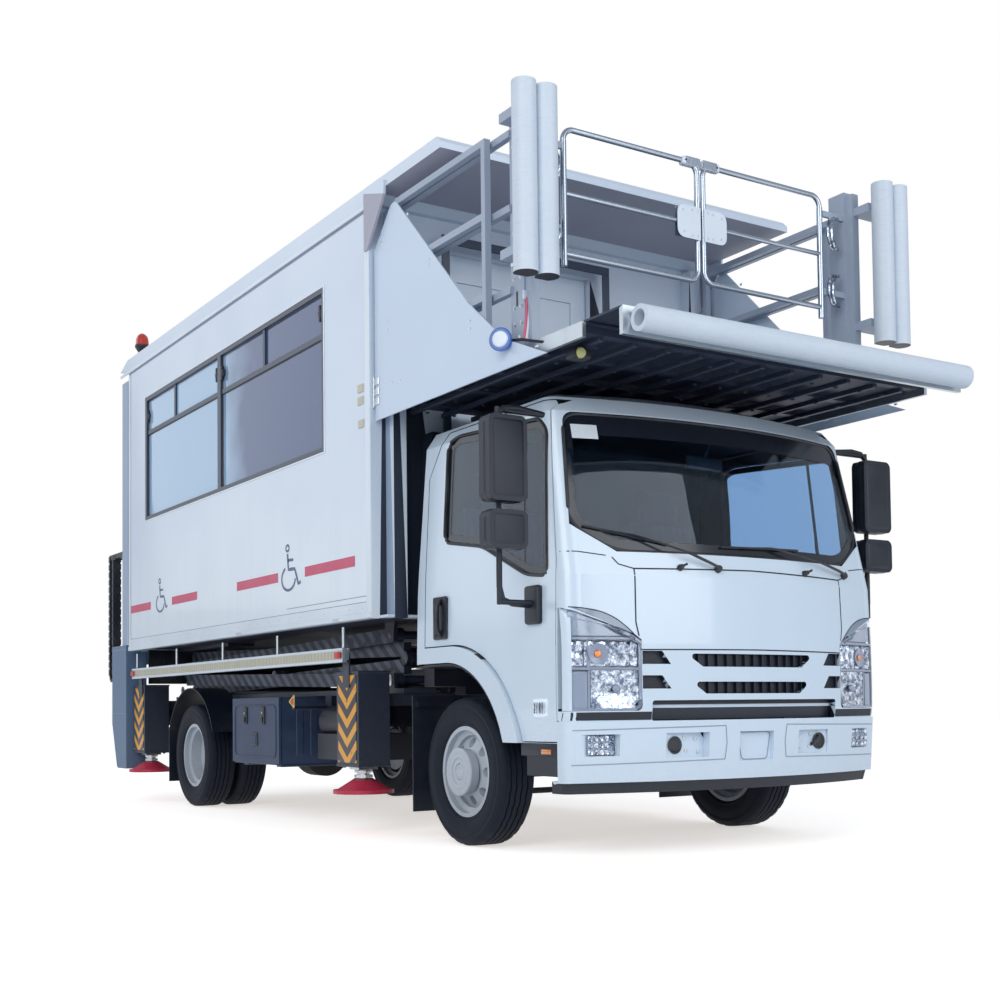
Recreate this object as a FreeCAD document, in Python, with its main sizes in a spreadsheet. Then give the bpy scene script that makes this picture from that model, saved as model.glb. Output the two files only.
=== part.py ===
"""Ambulift: a light lorry with a two-stage scissor lift under a passenger box, a sliding front
platform above the cab and a lift platform at the rear.

Stations run from the front axle: X forward, Y to the vehicle's left, Z up from the ground.
Every sub-part then moves along X by `axle_x`, which centres the whole machine on the origin.
"""
import FreeCAD, Part
import Sketcher
import math
import os
import re

DRIVING = {
    # whole machine
    "wheelbase": 3845, "gap": 5, "joint_gap": 10, "pin_play": 0.5,
    # wheels and tyres
    "tyre_radius": 382, "tyre_width": 214, "rim_radius": 235, "rim_seat": 222, "rim_well": 196,
    "rim_width": 168, "rim_metal": 8, "bead_step": 16, "front_rim_face": 976, "rear_rim_face": 1042,
    "twin_pitch": 246, "hub_radius": 92, "hub_reach": 38, "disc_metal": 12, "hand_hole": 26,
    "hand_circle": 148, "hand_count": 8, "drum_radius": 165, "drum_depth": 96, "rear_hub_radius": 70,
    "rear_hub_reach": 60,
    # steering and axles
    "kingpin_y": 730, "kingpin_radius": 18, "kingpin_height": 210, "yoke_radius": 34, "beam_depth": 80,
    "beam_width": 80, "spindle_radius": 34, "steer_arm": 150, "tie_rod_radius": 16, "tie_pin_radius": 10,
    "arm_metal": 24, "rear_tube_radius": 62, "banjo_radius": 190, "banjo_width": 210, "spring_y": 455,
    "spring_width": 68, "spring_depth": 54, "front_spring": 1180, "rear_spring": 1280, "spring_camber": 70,
    # chassis frame
    "rail_half_width": 425, "rail_width": 66, "rail_depth": 205, "rail_web": 8, "rail_top": 800,
    "frame_front": 880, "cross_width": 90, "cross_middle": -1750, "cross_spread": 420,
    "outrigger_front": -1960, "outrigger_rear": 745, "bracket_x": -2300, "bracket_width": 60,
    "cross_depth": 120, "engine_rear": -520, "engine_front": 380, "engine_half_width": 270,
    "engine_bottom": 450, "engine_top": 915, "shaft_radius": 45, "tank_front": -1350, "tank_inner": 520,
    "tank_outer": 1060, "tank_bottom": 330, "tank_top": 715, "tank_round": 70, "tool_front": -2180,
    "tool_inner": 620, "tool_outer": 1075, "tool_bottom": 361, "tool_top": 795, "tool_wall": 12,
    "hinge_radius": 8, "tool_lid": 16, "gear_rear": -1900, "gear_front": -1320, "gear_inner": 520,
    "gear_outer": 930, "gear_bottom": 400, "gear_top": 740, "air_tank_radius": 105,
    # lift base and jacks
    "track_inner": 620, "bracket_inner": 806, "bracket_outer": 830, "bracket_reach": 60, "base_front": -930,
    "jack_front_x": -1020, "jack_side": 200, "jack_length": 280, "jack_wall": 8, "jack_bottom": 385,
    "jack_top": 925, "jack_leg": 120, "jack_leg_top": 800, "pad_bottom": 228, "pad_radius": 175,
    "pad_depth": 22, "ball_radius": 38, "jack_travel": 225, "jack_beam_depth": 70, "jack_beam_width": 160,
    "guard_width": 26, "guard_bottom": 978, "guard_top": 1060, "guard_front": -950, "stanchion_radius": 9,
    "stanchion_top": 1180, "stanchion_count": 5, "underrun_bottom": 430, "underrun_top": 540,
    "underrun_half_width": 900, "underrun_metal": 60, "tow_reach": 80, "tow_half": 60, "tow_z": 485,
    "tow_depth": 100, "tow_gap": 50, "tow_bore_radius": 16,
    # scissor lift
    "lift_pitch": 135, "lift_pin_x": -1100, "lift_pin_z": 880, "arm_depth": 86, "arm_metal_y": 50,
    "outer_arm_y": 775, "inner_arm_y": 710, "arm_offset": 50, "lift_pin_radius": 22, "lift_tube_radius": 24,
    "eye_radius": 43, "roller_radius": 44, "roller_width": 50, "roller_inner": 630, "brace_reach": 300,
    "cylinder_reach": 1600, "cylinder_arm": 600, "cylinder_radius": 40, "cylinder_rod": 22,
    "cylinder_y": 300, "cylinder_z": 862, "cylinder_drop": 34, "bracket_metal": 12, "cylinder_pin": 14,
    "eye_clearance": 70,
    # lifted box
    "box_front": -600, "box_half_width": 1203, "wall": 48, "wall_bottom": 1208, "wall_top": 3500,
    "floor_bottom": 1225, "floor_top": 1300, "roof_top": 3612, "roof_front": 190, "roof_round": 34,
    "window_bottom": 2225, "window_top": 3205, "mullion": 60, "frame_metal": 30, "glass": 8,
    "door_left": 310, "door_right": -720, "door_top": 3330, "door_metal": 30, "door_window_bottom": 2250,
    "door_window_top": 3180, "door_stile": 110, "rear_door_half_width": 780, "rear_door_top": 3350,
    "shutter_metal": 26, "bench_depth": 420, "bench_height": 440, "bench_front": -2100, "bench_pad": 90,
    "bench_back": 900, "box_grab_radius": 16, "beacon_radius": 60, "beacon_height": 120,
    "lift_track_depth": 25, "transom_z": 2920, "door_lap": 24, "roof_point": 46, "canopy_lift": 45,
    "canopy_rear": -560, "roof_slope": 190, "gusset_metal": 14, "gusset_lap": 30, "beacon_post": 148,
    "gusset_bottom": 3250,
    # vertical guides and front platform
    "guide_reach": 92, "guide_top": 3480, "deck_bottom": 2330, "deck_top": 2400, "deck_front": 1270,
    "channel_metal": 20, "deck_rear_gap": 12, "deck_plate": 6, "rib_depth": 34, "rib_width": 50,
    "rib_count": 5, "wing_metal": 8, "wing_bottom": 2295, "wing_top": 3470, "wing_shoulder": 3240,
    "wing_neck": -360, "wing_toe": 730, "wing_toe_top": 2440, "wing_front": 1080, "wing_rear": -585,
    "rail_tube": 34, "rail_top_z": 3445, "rail_mid_z": 3085, "rail_low_z": 2690, "rail_front": 560,
    "rail_rear": -450, "shoe_front": -470, "shoe_top": 3230, "wing_bend": 400, "wing_bend_top": 2700,
    "bridge_plate": 10, "bridge_rear": 250, "bridge_front": 1490, "fascia_bottom": 2290, "fascia_metal": 20,
    "bumper_x": 1572, "bumper_z": 2351, "bumper_radius": 58, "bumper_bore": 36, "post_rear": 680,
    "post_front": 795, "post_top": 3556, "channel_front": 845, "fender_bottom": 2670, "fender_top": 3550,
    "fender_radius": 58, "fender_x": 1000, "gate_x": 780, "gate_tube": 14, "gate_top": 3500,
    "gate_mid": 3180, "gate_low": 2885, "gate_gap": 20, "gate_bend": 60, "gate_foot": 60, "gate_plate": 150,
    "latch_depth": 40, "gate_plate_reach": 95,
    # rear lift platform
    "tail_top": 3450, "cover_bottom": 250, "cover_top": 1262, "cover_taper": 620, "cover_foot": 250,
    "carriage_bottom": 1110, "carriage_top": 1230, "ramp_hinge_z": 1225, "ramp_length": 1480,
    "ramp_metal": 46, "ramp_knuckle": 22, "chain_top": 2060, "chain_bottom": 980, "chain_width": 60,
    "chain_link": 24, "chain_spread": 96, "link_gap": 12, "link_lip": 5,
    # cab
    "skirt_z": 540, "skirt_rear": -430, "skirt_side": 960, "skirt_centre": 1110, "skirt_half": 1010,
    "skirt_corner": 80, "sill_z": 700, "sill_rear": -430, "sill_side": 985, "sill_centre": 1130,
    "sill_half": 1018, "sill_corner": 80, "nose_z": 1000, "nose_rear": -430, "nose_side": 985,
    "nose_centre": 1130, "nose_half": 1018, "nose_corner": 80, "brow_z": 1320, "brow_rear": -425,
    "brow_side": 975, "brow_centre": 1120, "brow_half": 1012, "brow_corner": 80, "cowl_z": 1430,
    "cowl_rear": -420, "cowl_side": 950, "cowl_centre": 1090, "cowl_half": 1008, "cowl_corner": 80,
    "header_z": 2120, "header_rear": -390, "header_side": 800, "header_centre": 925, "header_half": 968,
    "header_corner": 75, "crown_z": 2200, "crown_rear": -350, "crown_side": 740, "crown_centre": 860,
    "crown_half": 930, "crown_corner": 70, "roof_z": 2262, "roof_rear_x": -250, "roof_side": 560,
    "roof_centre": 700, "roof_half": 780, "roof_corner": 60, "corner_blend": 0.3, "cab_wall": 42,
    "cab_half_width": 1018, "cab_rear": -430, "cab_floor": 990, "well_floor": 590, "well_rear": 600,
    "arch_x": -90, "arch_z": 375, "arch_radius": 572, "arch_top": 947, "flare_x": -50, "flare_z": 370,
    "flare_radius": 660, "flare_depth": 22, "flare_gap": 8, "skirt_bottom": 540, "door_rear": -340,
    "door_front": 885, "door_head": 2178, "door_bottom": 548, "door_shut": 6, "side_glass_rear": -150,
    "side_glass_front": 815, "side_glass_top": 2125, "side_glass_bottom": 1590, "side_glass_step": 1350,
    "side_glass_mid": 1530, "side_glass_step_x": 230, "side_glass_dip_x": 640, "front_split": 900,
    "fin_pitch": 56, "fin_metal": 6, "fin_inset": 14, "lamp_line_high": 1022, "lamp_line_low": 884,
    "lamp_groove": 6, "front_metal": 30, "backing_metal": 8, "glass_inset": 10, "screen_rear": 560,
    "tunnel_half": 530, "tunnel_top": 930, "tunnel_front": 1040, "door_bend_z": 1400, "door_lean_x": 760,
    "door_crest_x": -180, "door_shoulder_z": 1950, "door_inner_y": 900, "screen_half_width": 952,
    "screen_bottom": 1432, "screen_top_half": 905, "screen_corner": 1560, "lamp_inner": 650,
    "lamp_bottom": 688, "lamp_top_outer": 1172, "lamp_top_inner": 1020, "lamp_outer": 1030,
    "grille_top_z": 955, "grille_top_half": 417, "grille_mid_z": 893, "grille_mid_half": 322,
    "grille_low_z": 822, "grille_low_half": 388, "grille_base_z": 765, "grille_base_half": 306,
    "base_slot_half": 600, "slot_high_z": 905, "slot_low_z": 790, "slot_depth": 62, "slot_taper": 46,
    "side_slot_inner": 500, "side_slot_outer": 648, "front_bottom": 735, "front_recess": 26,
    "bumper_top": 640, "bumper_bottom": 357, "bumper_metal": 46, "bumper_side_x": 890, "fog_inner": 760,
    "fog_outer": 950, "fog_bottom": 480, "fog_top": 580, "tow_inner": 292, "tow_outer": 529,
    "tow_bottom": 466, "tow_top": 582, "plate_half": 111, "plate_bottom": 442, "plate_top": 582,
    "recess_depth": 26, "bumper_tuck": 22, "bumper_round": 55, "spoiler_rear": 800, "grille_back": 4,
    "bumper_corner_x": 973, "bumper_centre_x": 1138, "bumper_hollow_half": 930, "fog_face_x": 1000,
    "tow_face_x": 1095, "spoiler_bottom": 305, "spoiler_inset": 30, "spoiler_metal": 25, "spoiler_lap": 6,
    "seat_width": 520, "seat_depth": 480, "seat_base": 1230, "seat_pad": 130, "seat_back": 560,
    "seat_back_metal": 110, "seat_rear": -360, "seat_y": 560, "head_height": 190, "head_width": 260,
    "dash_rear": 640, "dash_top": 1390, "dash_bottom": 1120, "wheel_ring": 215, "wheel_tube": 16,
    "wheel_x": 470, "wheel_z": 1420, "wheel_y": 560, "wheel_tilt": 55, "column_length": 330,
    "mirror_y": 1225, "mirror_front": 820, "mirror_depth": 90, "mirror_width": 210, "mirror_top": 2060,
    "mirror_bottom": 1660, "wide_top": 1620, "wide_bottom": 1440, "mirror_tube": 13, "mirror_foot_z": 1200,
    "mirror_x": 735, "mirror_round": 36, "mirror_head_z": 2100, "mirror_head_y": 955, "handle_rear": -230,
    "handle_front": -100, "handle_bottom": 1080, "handle_top": 1290, "handle_depth": 12, "flap_rear": -492,
    "flap_metal": 8, "flap_inner": 700, "flap_bottom": 150, "flap_top": 780, "step_rear": 610,
    "step_front": 880, "step_bottom": 385, "step_top": 520, "step_inner": 760, "step_outer": 1000,
    "intake_rear": -560, "intake_front": -450, "intake_inner": 700, "intake_outer": 900,
    "intake_bottom": 830, "intake_top": 2240, "exhaust_radius": 110, "exhaust_x": -1500,
    "exhaust_length": 620, "guard_arch_radius": 505, "guard_arch_metal": 6, "guard_arch_inner": 836,
    "guard_arch_outer": 1078, "guard_flap_bottom": 170, "guard_cut_z": 560,
}

DERIVED = {
    "lift_length": "wheelbase - 245",
    "lift_angle": "asin(lift_pitch / lift_length)",
    "lift_run": "lift_length * cos(lift_angle)",
    "mid_pin_z": "lift_pin_z + lift_pitch",
    "top_pin_z": "lift_pin_z + lift_pitch * 2",
    "rear_pin_x": "lift_pin_x - lift_run",
    "centre_pin_x": "lift_pin_x - lift_run / 2",
    "base_rear": "rear_pin_x - 163",
    "jack_rear_x": "rear_pin_x - 133",
    "frame_rear": "rear_pin_x - 233",
    "box_rear": "rear_pin_x - 233",
    "lift_track_front": "rear_pin_x + 997",
    "guard_rear": "rear_pin_x - 103",
    "tank_rear": "-wheelbase + 1285",
    "tool_rear": "-wheelbase + 860",
    "roof_rear": "box_rear - 230",
    "beacon_x": "roof_rear + 100",
    "window_rear": "box_rear + 430",
    "window_front": "box_front - 595",
    "mullion_x": "window_rear + 1605",
    "divider_rear": "window_rear + 670",
    "divider_front": "window_rear + 2385",
    "door_sill": "floor_top + gap",
    "beacon_base": "roof_top + beacon_post",
    "jack_y": "box_half_width - 153",
    "bench_rear": "box_rear + 430",
    "gusset_rear": "box_front - 40",
    "gusset_front": "box_front + 200",
    "tail_rear": "box_rear - 220",
    "cover_rear": "box_rear - 470",
    "cover_front": "box_rear - 85",
    "carriage_rear": "box_rear - 310",
    "carriage_front": "box_rear - 235",
    "ramp_hinge_x": "box_rear - 345",
    "chain_x": "box_rear - 630",
    "guard_y": "box_half_width - 3",
    "guide_inner": "box_half_width - 173",
    "guide_outer": "box_half_width - 93",
    "deck_half_width": "box_half_width - 103",
    "wing_y": "box_half_width - 31",
    "outer_rail_y": "box_half_width - 48",
    "inner_rail_y": "box_half_width - 97",
    "post_inner": "box_half_width - 163",
    "post_outer": "box_half_width - 98",
    "bridge_half_width": "box_half_width - 118",
    "bumper_half_width": "box_half_width - 160",
    "fender_inner_y": "box_half_width - 86",
    "fender_outer_y": "box_half_width + 30",
    "gate_hinge_y": "box_half_width - 341",
    "tail_inner": "box_half_width - 113",
    "tail_outer": "box_half_width - 13",
    "cover_inner": "box_half_width - 173",
    "cover_outer": "box_half_width - 3",
    "ramp_half_width": "box_half_width - 213",
    "chain_y": "box_half_width - 73",
    "beacon_y": "box_half_width - 153",
    "front_reach": "bumper_x + bumper_radius",
    "rear_reach": "-(chain_x - chain_spread / 2 - chain_link / 2 - link_lip)",
    "axle_x": "(rear_reach - front_reach) / 2",
    "platform_drop": "deck_top - floor_top",
    "axle_z": "tyre_radius",
    "track_top": "lift_pin_z - roller_radius - gap",
    "cylinder_base_x": "lift_pin_x - cylinder_reach",
    "cylinder_eye_x": "lift_pin_x - cylinder_arm",
    "cylinder_eye_z": "lift_pin_z + (lift_pitch - arm_offset) * cylinder_arm / lift_length - cylinder_drop",
    "front_tyre_y": "front_rim_face - rim_width / 2",
    "rear_tyre_y": "rear_rim_face - rim_width / 2",
}

doc = FreeCAD.newDocument("Ambulift")
sheet = doc.addObject("Spreadsheet::Sheet", "Sizes")
for row, (alias, value) in enumerate({**DRIVING, **DERIVED}.items(), start=1):
    cell = f"B{row}"
    sheet.set(f"A{row}", alias)
    sheet.setAlias(cell, alias)
for row, (alias, value) in enumerate({**DRIVING, **DERIVED}.items(), start=1):
    sheet.set(f"B{row}", f"={value}" if isinstance(value, str) else str(value))
doc.recompute()

WORD = re.compile(r"[A-Za-z_]\w*")
FUNCTIONS = {"sin", "cos", "tan", "sqrt", "asin", "acos", "atan"}
sub_parts = []


def size(alias):
    """A size's value, for shapes that are worked out in code."""
    value = sheet.get(alias)
    return float(getattr(value, "Value", value))


def on_sheet(expression):
    """An expression on the sheet's aliases, as the document's objects need it."""
    def cell(match):
        word = match.group()
        return word if word in FUNCTIONS else f"Sizes.{word}"
    return WORD.sub(cell, str(expression))


def bind(thing, **sizes):
    for name, expression in sizes.items():
        thing.setExpression(name, on_sheet(expression))


def move(thing, x="0", y="0", z="0"):
    for axis, expression in (("x", x), ("y", y), ("z", z)):
        thing.setExpression(f"Placement.Base.{axis}", on_sheet(expression))
    return thing


def block(name, x, y, z):
    """A box between two stations on each axis."""
    thing = doc.addObject("Part::Box", name)
    bind(thing, Length=f"({x[1]}) - ({x[0]})", Width=f"({y[1]}) - ({y[0]})", Height=f"({z[1]}) - ({z[0]})")
    return move(thing, x[0], y[0], z[0])


TURNS = {"X": (FreeCAD.Vector(0, 1, 0), 90), "Y": (FreeCAD.Vector(1, 0, 0), -90),
         "Z": (FreeCAD.Vector(0, 0, 1), 0)}


def rod(name, axis, radius, span, at):
    """A round bar along an axis, between two stations, at two stations on the other axes."""
    thing = doc.addObject("Part::Cylinder", name)
    bind(thing, Radius=radius, Height=f"({span[1]}) - ({span[0]})")
    thing.Placement.Rotation = FreeCAD.Rotation(*TURNS[axis])
    corner = {"X": (span[0], *at), "Y": (at[0], span[0], at[1]), "Z": (*at, span[0])}[axis]
    return move(thing, *corner)


PLANES = {"side": "XZ_Plane", "plan": "XY_Plane", "front": "YZ_Plane"}


def plate(name, plane, outline, span, rounds=None):
    """A padded sketch: its corners are bound to the sheet, and `rounds` gives the radii of some corners.

    side: corners are (x, z) and the pad runs along Y; plan: (x, y), along Z; front: (y, z), along X.
    """
    body = doc.addObject("PartDesign::Body", name)
    sketch = body.newObject("Sketcher::SketchObject", f"{name}_sketch")
    origin = [f for f in body.Origin.OriginFeatures if f.Role == PLANES[plane]][0]
    sketch.AttachmentSupport = [(origin, "")]
    sketch.MapMode = "FlatFace"
    start = f"-({span[1]})" if plane == "side" else span[0]
    sketch.setExpression("AttachmentOffset.Base.z", on_sheet(start))
    corners = [[number(u), number(v)] for u, v in outline]
    for i, corner in enumerate(corners):
        following = corners[(i + 1) % len(corners)]
        sketch.addGeometry(Part.LineSegment(FreeCAD.Vector(*corner, 0), FreeCAD.Vector(*following, 0)), False)
    count = len(corners)
    for i in range(count):
        sketch.addConstraint(Sketcher.Constraint("Coincident", i, 2, (i + 1) % count, 1))
    for i, (u, v) in enumerate(outline):
        for kind, expression, value in (("DistanceX", u, corners[i][0]), ("DistanceY", v, corners[i][1])):
            index = sketch.addConstraint(Sketcher.Constraint(kind, -1, 1, i, 1, value))
            sketch.setExpression(f"Constraints[{index}]", on_sheet(expression))
    pad = body.newObject("PartDesign::Pad", f"{name}_pad")
    pad.Profile = sketch
    bind(pad, Length=f"({span[1]}) - ({span[0]})")
    body.Tip = pad
    if rounds:
        doc.recompute()
        for k, (radius, which) in enumerate(rounds.items()):
            tip = body.Tip
            edges = [e for i in which for e in corner_edges(tip.Shape, plane, corners[i])]
            fillet = body.newObject("PartDesign::Fillet", f"{name}_round{k}")
            fillet.Base = (tip, edges)
            bind(fillet, Radius=radius)
            body.Tip = fillet
            doc.recompute()
    return body


def corner_edges(shape, plane, corner):
    """The pad's edges that stand on one corner of its sketch."""
    axes = {"side": (0, 2), "plan": (0, 1), "front": (1, 2)}[plane]
    found = []
    for i, edge in enumerate(shape.Edges, start=1):
        ends = [[v.Point[a] for a in axes] for v in edge.Vertexes]
        if all(math.dist(end, corner) < 1e-3 for end in ends):
            found.append(f"Edge{i}")
    return found


def number(expression):
    """The value of an expression on the sheet."""
    value = sheet.evalExpression(on_sheet(expression))
    return float(getattr(value, "Value", value))


def turned(name, profile):
    """A revolved sketch about the body's own X axis; corners are (station along the axis, radius)."""
    body = doc.addObject("PartDesign::Body", name)
    sketch = body.newObject("Sketcher::SketchObject", f"{name}_sketch")
    sketch.AttachmentSupport = [([f for f in body.Origin.OriginFeatures if f.Role == "XY_Plane"][0], "")]
    sketch.MapMode = "FlatFace"
    corners = [[number(u), number(v)] for u, v in profile]
    count = len(corners)
    for i, corner in enumerate(corners):
        following = corners[(i + 1) % count]
        sketch.addGeometry(Part.LineSegment(FreeCAD.Vector(*corner, 0), FreeCAD.Vector(*following, 0)), False)
    for i in range(count):
        sketch.addConstraint(Sketcher.Constraint("Coincident", i, 2, (i + 1) % count, 1))
    for i, (u, v) in enumerate(profile):
        for kind, expression, value in (("DistanceX", u, corners[i][0]), ("DistanceY", v, corners[i][1])):
            index = sketch.addConstraint(Sketcher.Constraint(kind, -1, 1, i, 1, value))
            sketch.setExpression(f"Constraints[{index}]", on_sheet(expression))
    spin = body.newObject("PartDesign::Revolution", f"{name}_turn")
    spin.Profile = sketch
    spin.ReferenceAxis = ([f for f in body.Origin.OriginFeatures if f.Role == "X_Axis"][0], [""])
    spin.Angle = 360
    body.Tip = spin
    return body


def fuse(name, *pieces):
    thing = doc.addObject("Part::MultiFuse", name)
    thing.Shapes = list(pieces)
    return thing


def group(name, *pieces):
    """Several solids of one node that don't touch."""
    thing = doc.addObject("Part::Compound", name)
    thing.Links = list(pieces)
    return thing


def cut(name, base, *tools):
    thing = doc.addObject("Part::Cut", name)
    thing.Base = base
    thing.Tool = tools[0] if len(tools) == 1 else fuse(f"{name}_tools", *tools)
    return thing


def common(name, first, second):
    thing = doc.addObject("Part::Common", name)
    thing.Base = first
    thing.Tool = second
    return thing


def copied(name, thing):
    """The same piece again, for use in another boolean."""
    twin = doc.addObject("Part::Compound", name)
    twin.Links = [thing]
    return twin


def mirrored(name, thing):
    """The piece's twin on the other side of the vehicle."""
    twin = doc.addObject("Part::Mirroring", name)
    twin.Source = thing
    twin.Normal = FreeCAD.Vector(0, 1, 0)
    return twin


def both_sides(name, thing):
    return group(name, thing, mirrored(f"{name}_twin", thing))


def sub_part(label, thing):
    """Names a finished piece and sets it at its place in the whole machine."""
    holder = doc.addObject("Part::Compound", f"{label}_node")
    holder.Links = [thing]
    holder.Label = label
    move(holder, "axle_x")
    sub_parts.append(holder)
    return holder


# ---------------------------------------------------------------- wheels and tyres

def tyre(name):
    """A tyre about local X, its bead on the rim's seat; what air fills is left solid."""
    half = "tyre_width / 2"
    outer = [("rim_width / 2 - bead_step", "rim_seat"), (half, "rim_seat + 68"),
             (f"{half} - 14", "tyre_radius - 12"),
             (f"{half} - 36", "tyre_radius")]
    return turned(name, outer + [(f"-({u})", v) for u, v in reversed(outer)])


def rim_barrel(name):
    """The rim's well, seats and flanges about local X."""
    half, side = "rim_width / 2", []
    side += [("rim_width / 2 - 46", "rim_well"), ("rim_width / 2 - 36", "rim_seat"),
             (f"{half} - 8", "rim_seat"), (f"{half} - 8", "rim_radius"), (half, "rim_radius"),
             (half, "rim_seat - rim_metal"), (f"{half} - 32", "rim_seat - rim_metal"),
             (f"{half} - 42", "rim_well - rim_metal")]
    other = [(f"-({u})", v) for u, v in side]
    return turned(name, side + other[::-1])


def hand_holes(name, start, stop):
    """A ring of round holes through a wheel disc, along local X."""
    tools = []
    for i in range(int(size("hand_count"))):
        turn = f"360 / hand_count * {i}"
        tools.append(rod(f"{name}{i}", "X", "hand_hole", (start, stop),
                         (f"hand_circle * cos({turn})", f"hand_circle * sin({turn})")))
    return group(name, *tools)


def on_axle(name, thing, x, y):
    """Turns a wheel part's local X to the left of the vehicle and sets it on its axle."""
    holder = group(name, thing)
    holder.Placement.Rotation = FreeCAD.Rotation(FreeCAD.Vector(0, 0, 1), 90)
    return move(holder, x, y, "axle_z")


inner_rim = "rim_well - rim_metal + 3"
front_disc = turned("front_disc", [
    ("8", inner_rim), ("20", inner_rim), ("rim_width / 2 - 26", "hub_radius + 24"),
    ("rim_width / 2 - 16", "hub_radius"), ("rim_width / 2 + hub_reach - 6", "hub_radius"),
    ("rim_width / 2 + hub_reach", "hub_radius - 6"), ("rim_width / 2 + hub_reach", "hub_radius / 2"),
    ("rim_width / 2 + hub_reach - 8", "hub_radius / 2 - 4"), ("rim_width / 2 + hub_reach - 8", "0"),
    ("rim_width / 2 - 34", "0"), ("rim_width / 2 - 34", "hub_radius - 32"),
    ("8 - drum_depth", "hub_radius - 32"), ("8 - drum_depth", "drum_radius"), ("-4", "drum_radius")])
front_wheel = cut("front_wheel", fuse("front_wheel_blank", rim_barrel("front_barrel"), front_disc),
                  hand_holes("front_holes", "5", "rim_width"))
left_front_rim = on_axle("left_front_rim", front_wheel, "0", "front_tyre_y")
left_front_tyre = on_axle("left_front_tyre", tyre("front_tyre"), "0", "front_tyre_y")

twin = "twin_pitch / 2"
rear_disc = turned("rear_disc", [
    ("-32", inner_rim), ("-44", inner_rim), (f"disc_metal - {twin}", "rear_hub_radius + 36"),
    (f"disc_metal - {twin}", "rear_hub_radius"), ("-rear_hub_reach / 2", "rear_hub_radius"),
    ("-rear_hub_reach / 2 + 10", "rear_hub_radius - 14"), ("-rear_hub_reach / 2 + 10", "0"),
    ("-twin_pitch - 50", "0"), ("-twin_pitch - 50", "drum_radius"), ("-twin_pitch", "drum_radius"),
    (f"-disc_metal - {twin}", "rear_hub_radius + 36"), ("44 - twin_pitch", inner_rim),
    ("32 - twin_pitch", inner_rim), (f"-{twin}", "rear_hub_radius + 50")])
outer_barrel = rim_barrel("outer_barrel")
inner_barrel = move(rim_barrel("inner_barrel"), "-twin_pitch")
rear_wheel = fuse("rear_wheel", outer_barrel, inner_barrel, rear_disc)
rear_tyre_pair = group("rear_tyre_pair", tyre("outer_tyre"), move(tyre("inner_tyre"), "-twin_pitch"))
left_rear_rim = on_axle("left_rear_rim", rear_wheel, "-wheelbase", "rear_tyre_y")
left_rear_tyre = on_axle("left_rear_tyre", rear_tyre_pair, "-wheelbase", "rear_tyre_y")

for label, left in (("front_rim", left_front_rim), ("front_tyre", left_front_tyre),
                    ("rear_rims", left_rear_rim), ("rear_tyres", left_rear_tyre)):
    sub_part(f"{label}_left", left)
    sub_part(f"{label}_right", mirrored(f"{label}_mirror", left))

# ---------------------------------------------------------------- axles, steering and springs

beam = block("beam", ("-beam_width / 2", "beam_width / 2"), ("-kingpin_y", "kingpin_y"),
             ("axle_z - beam_depth / 2", "axle_z + beam_depth / 2"))
boss = rod("beam_boss", "Z", "beam_width / 2", ("axle_z - beam_depth / 2", "axle_z + beam_depth / 2"),
           ("0", "kingpin_y"))
boss_hole = rod("boss_hole", "Z", "kingpin_radius + pin_play", ("0", "tyre_radius * 2"), ("0", "kingpin_y"))
sub_part("front_axle_beam", cut("front_axle", fuse("front_axle_blank", beam, both_sides("bosses", boss)),
                                both_sides("boss_holes", boss_hole)))

low, high = "axle_z - kingpin_height / 2", "axle_z + kingpin_height / 2"
fork = "beam_depth / 2 + gap"
back = ("kingpin_y + beam_width / 2 + gap", "kingpin_y + beam_width / 2 + gap * 4")
yoke_width = ("-yoke_radius * 0.9", "yoke_radius * 0.9")
arm_z = (low, f"{low} + arm_metal")
knuckle = fuse(
    "knuckle",
    rod("kingpin", "Z", "kingpin_radius", (low, high), ("0", "kingpin_y")),
    rod("upper_yoke", "Z", "yoke_radius", (f"axle_z + {fork}", high), ("0", "kingpin_y")),
    rod("lower_yoke", "Z", "yoke_radius", (low, f"axle_z - ({fork})"), ("0", "kingpin_y")),
    block("upper_web", yoke_width, ("kingpin_y", back[1]), (f"axle_z + {fork}", high)),
    block("lower_web", yoke_width, ("kingpin_y", back[1]), (low, f"axle_z - ({fork})")),
    block("back_web", yoke_width, back, (low, high)),
    rod("spindle", "Y", "spindle_radius", (back[0], "front_tyre_y"), ("0", "axle_z")),
    cut("steering_arm",
        block("arm_bar", ("-steer_arm - arm_metal", "0"),
              ("kingpin_y - arm_metal", "kingpin_y + arm_metal"), arm_z),
        rod("arm_hole", "Z", "tie_pin_radius + pin_play", ("0", "tyre_radius"), ("-steer_arm", "kingpin_y"))))
sub_part("steering_knuckle_left", knuckle)
sub_part("steering_knuckle_right", mirrored("knuckle_mirror", knuckle))

tie_z = f"{low} - gap - tie_rod_radius"
tie_pin = rod("tie_pin", "Z", "tie_pin_radius", (tie_z, f"{low} + arm_metal"), ("-steer_arm", "kingpin_y"))
sub_part("tie_rod", fuse("tie_rod_bar", rod("tie_bar", "Y", "tie_rod_radius", ("-kingpin_y", "kingpin_y"),
                                            ("-steer_arm", tie_z)), both_sides("tie_pins", tie_pin)))

axle_end = "rear_tyre_y - twin_pitch - 50 - gap"
housing = rod("axle_tube", "Y", "rear_tube_radius", (f"-({axle_end})", axle_end), ("-wheelbase", "axle_z"))
banjo = rod("banjo", "X", "banjo_radius", ("-wheelbase - banjo_width / 2", "-wheelbase + banjo_width / 2"),
            ("0", "axle_z"))
nose = rod("axle_nose", "X", "shaft_radius * 1.6", ("-wheelbase", "-wheelbase + banjo_width"),
           ("0", "axle_z + 60"))
shaft = rod("shaft", "X", "shaft_radius", ("-wheelbase + banjo_width", "engine_rear"), ("0", "axle_z + 60"))
sub_part("rear_axle", fuse("rear_axle_and_shaft", housing, banjo, nose, shaft))


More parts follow.
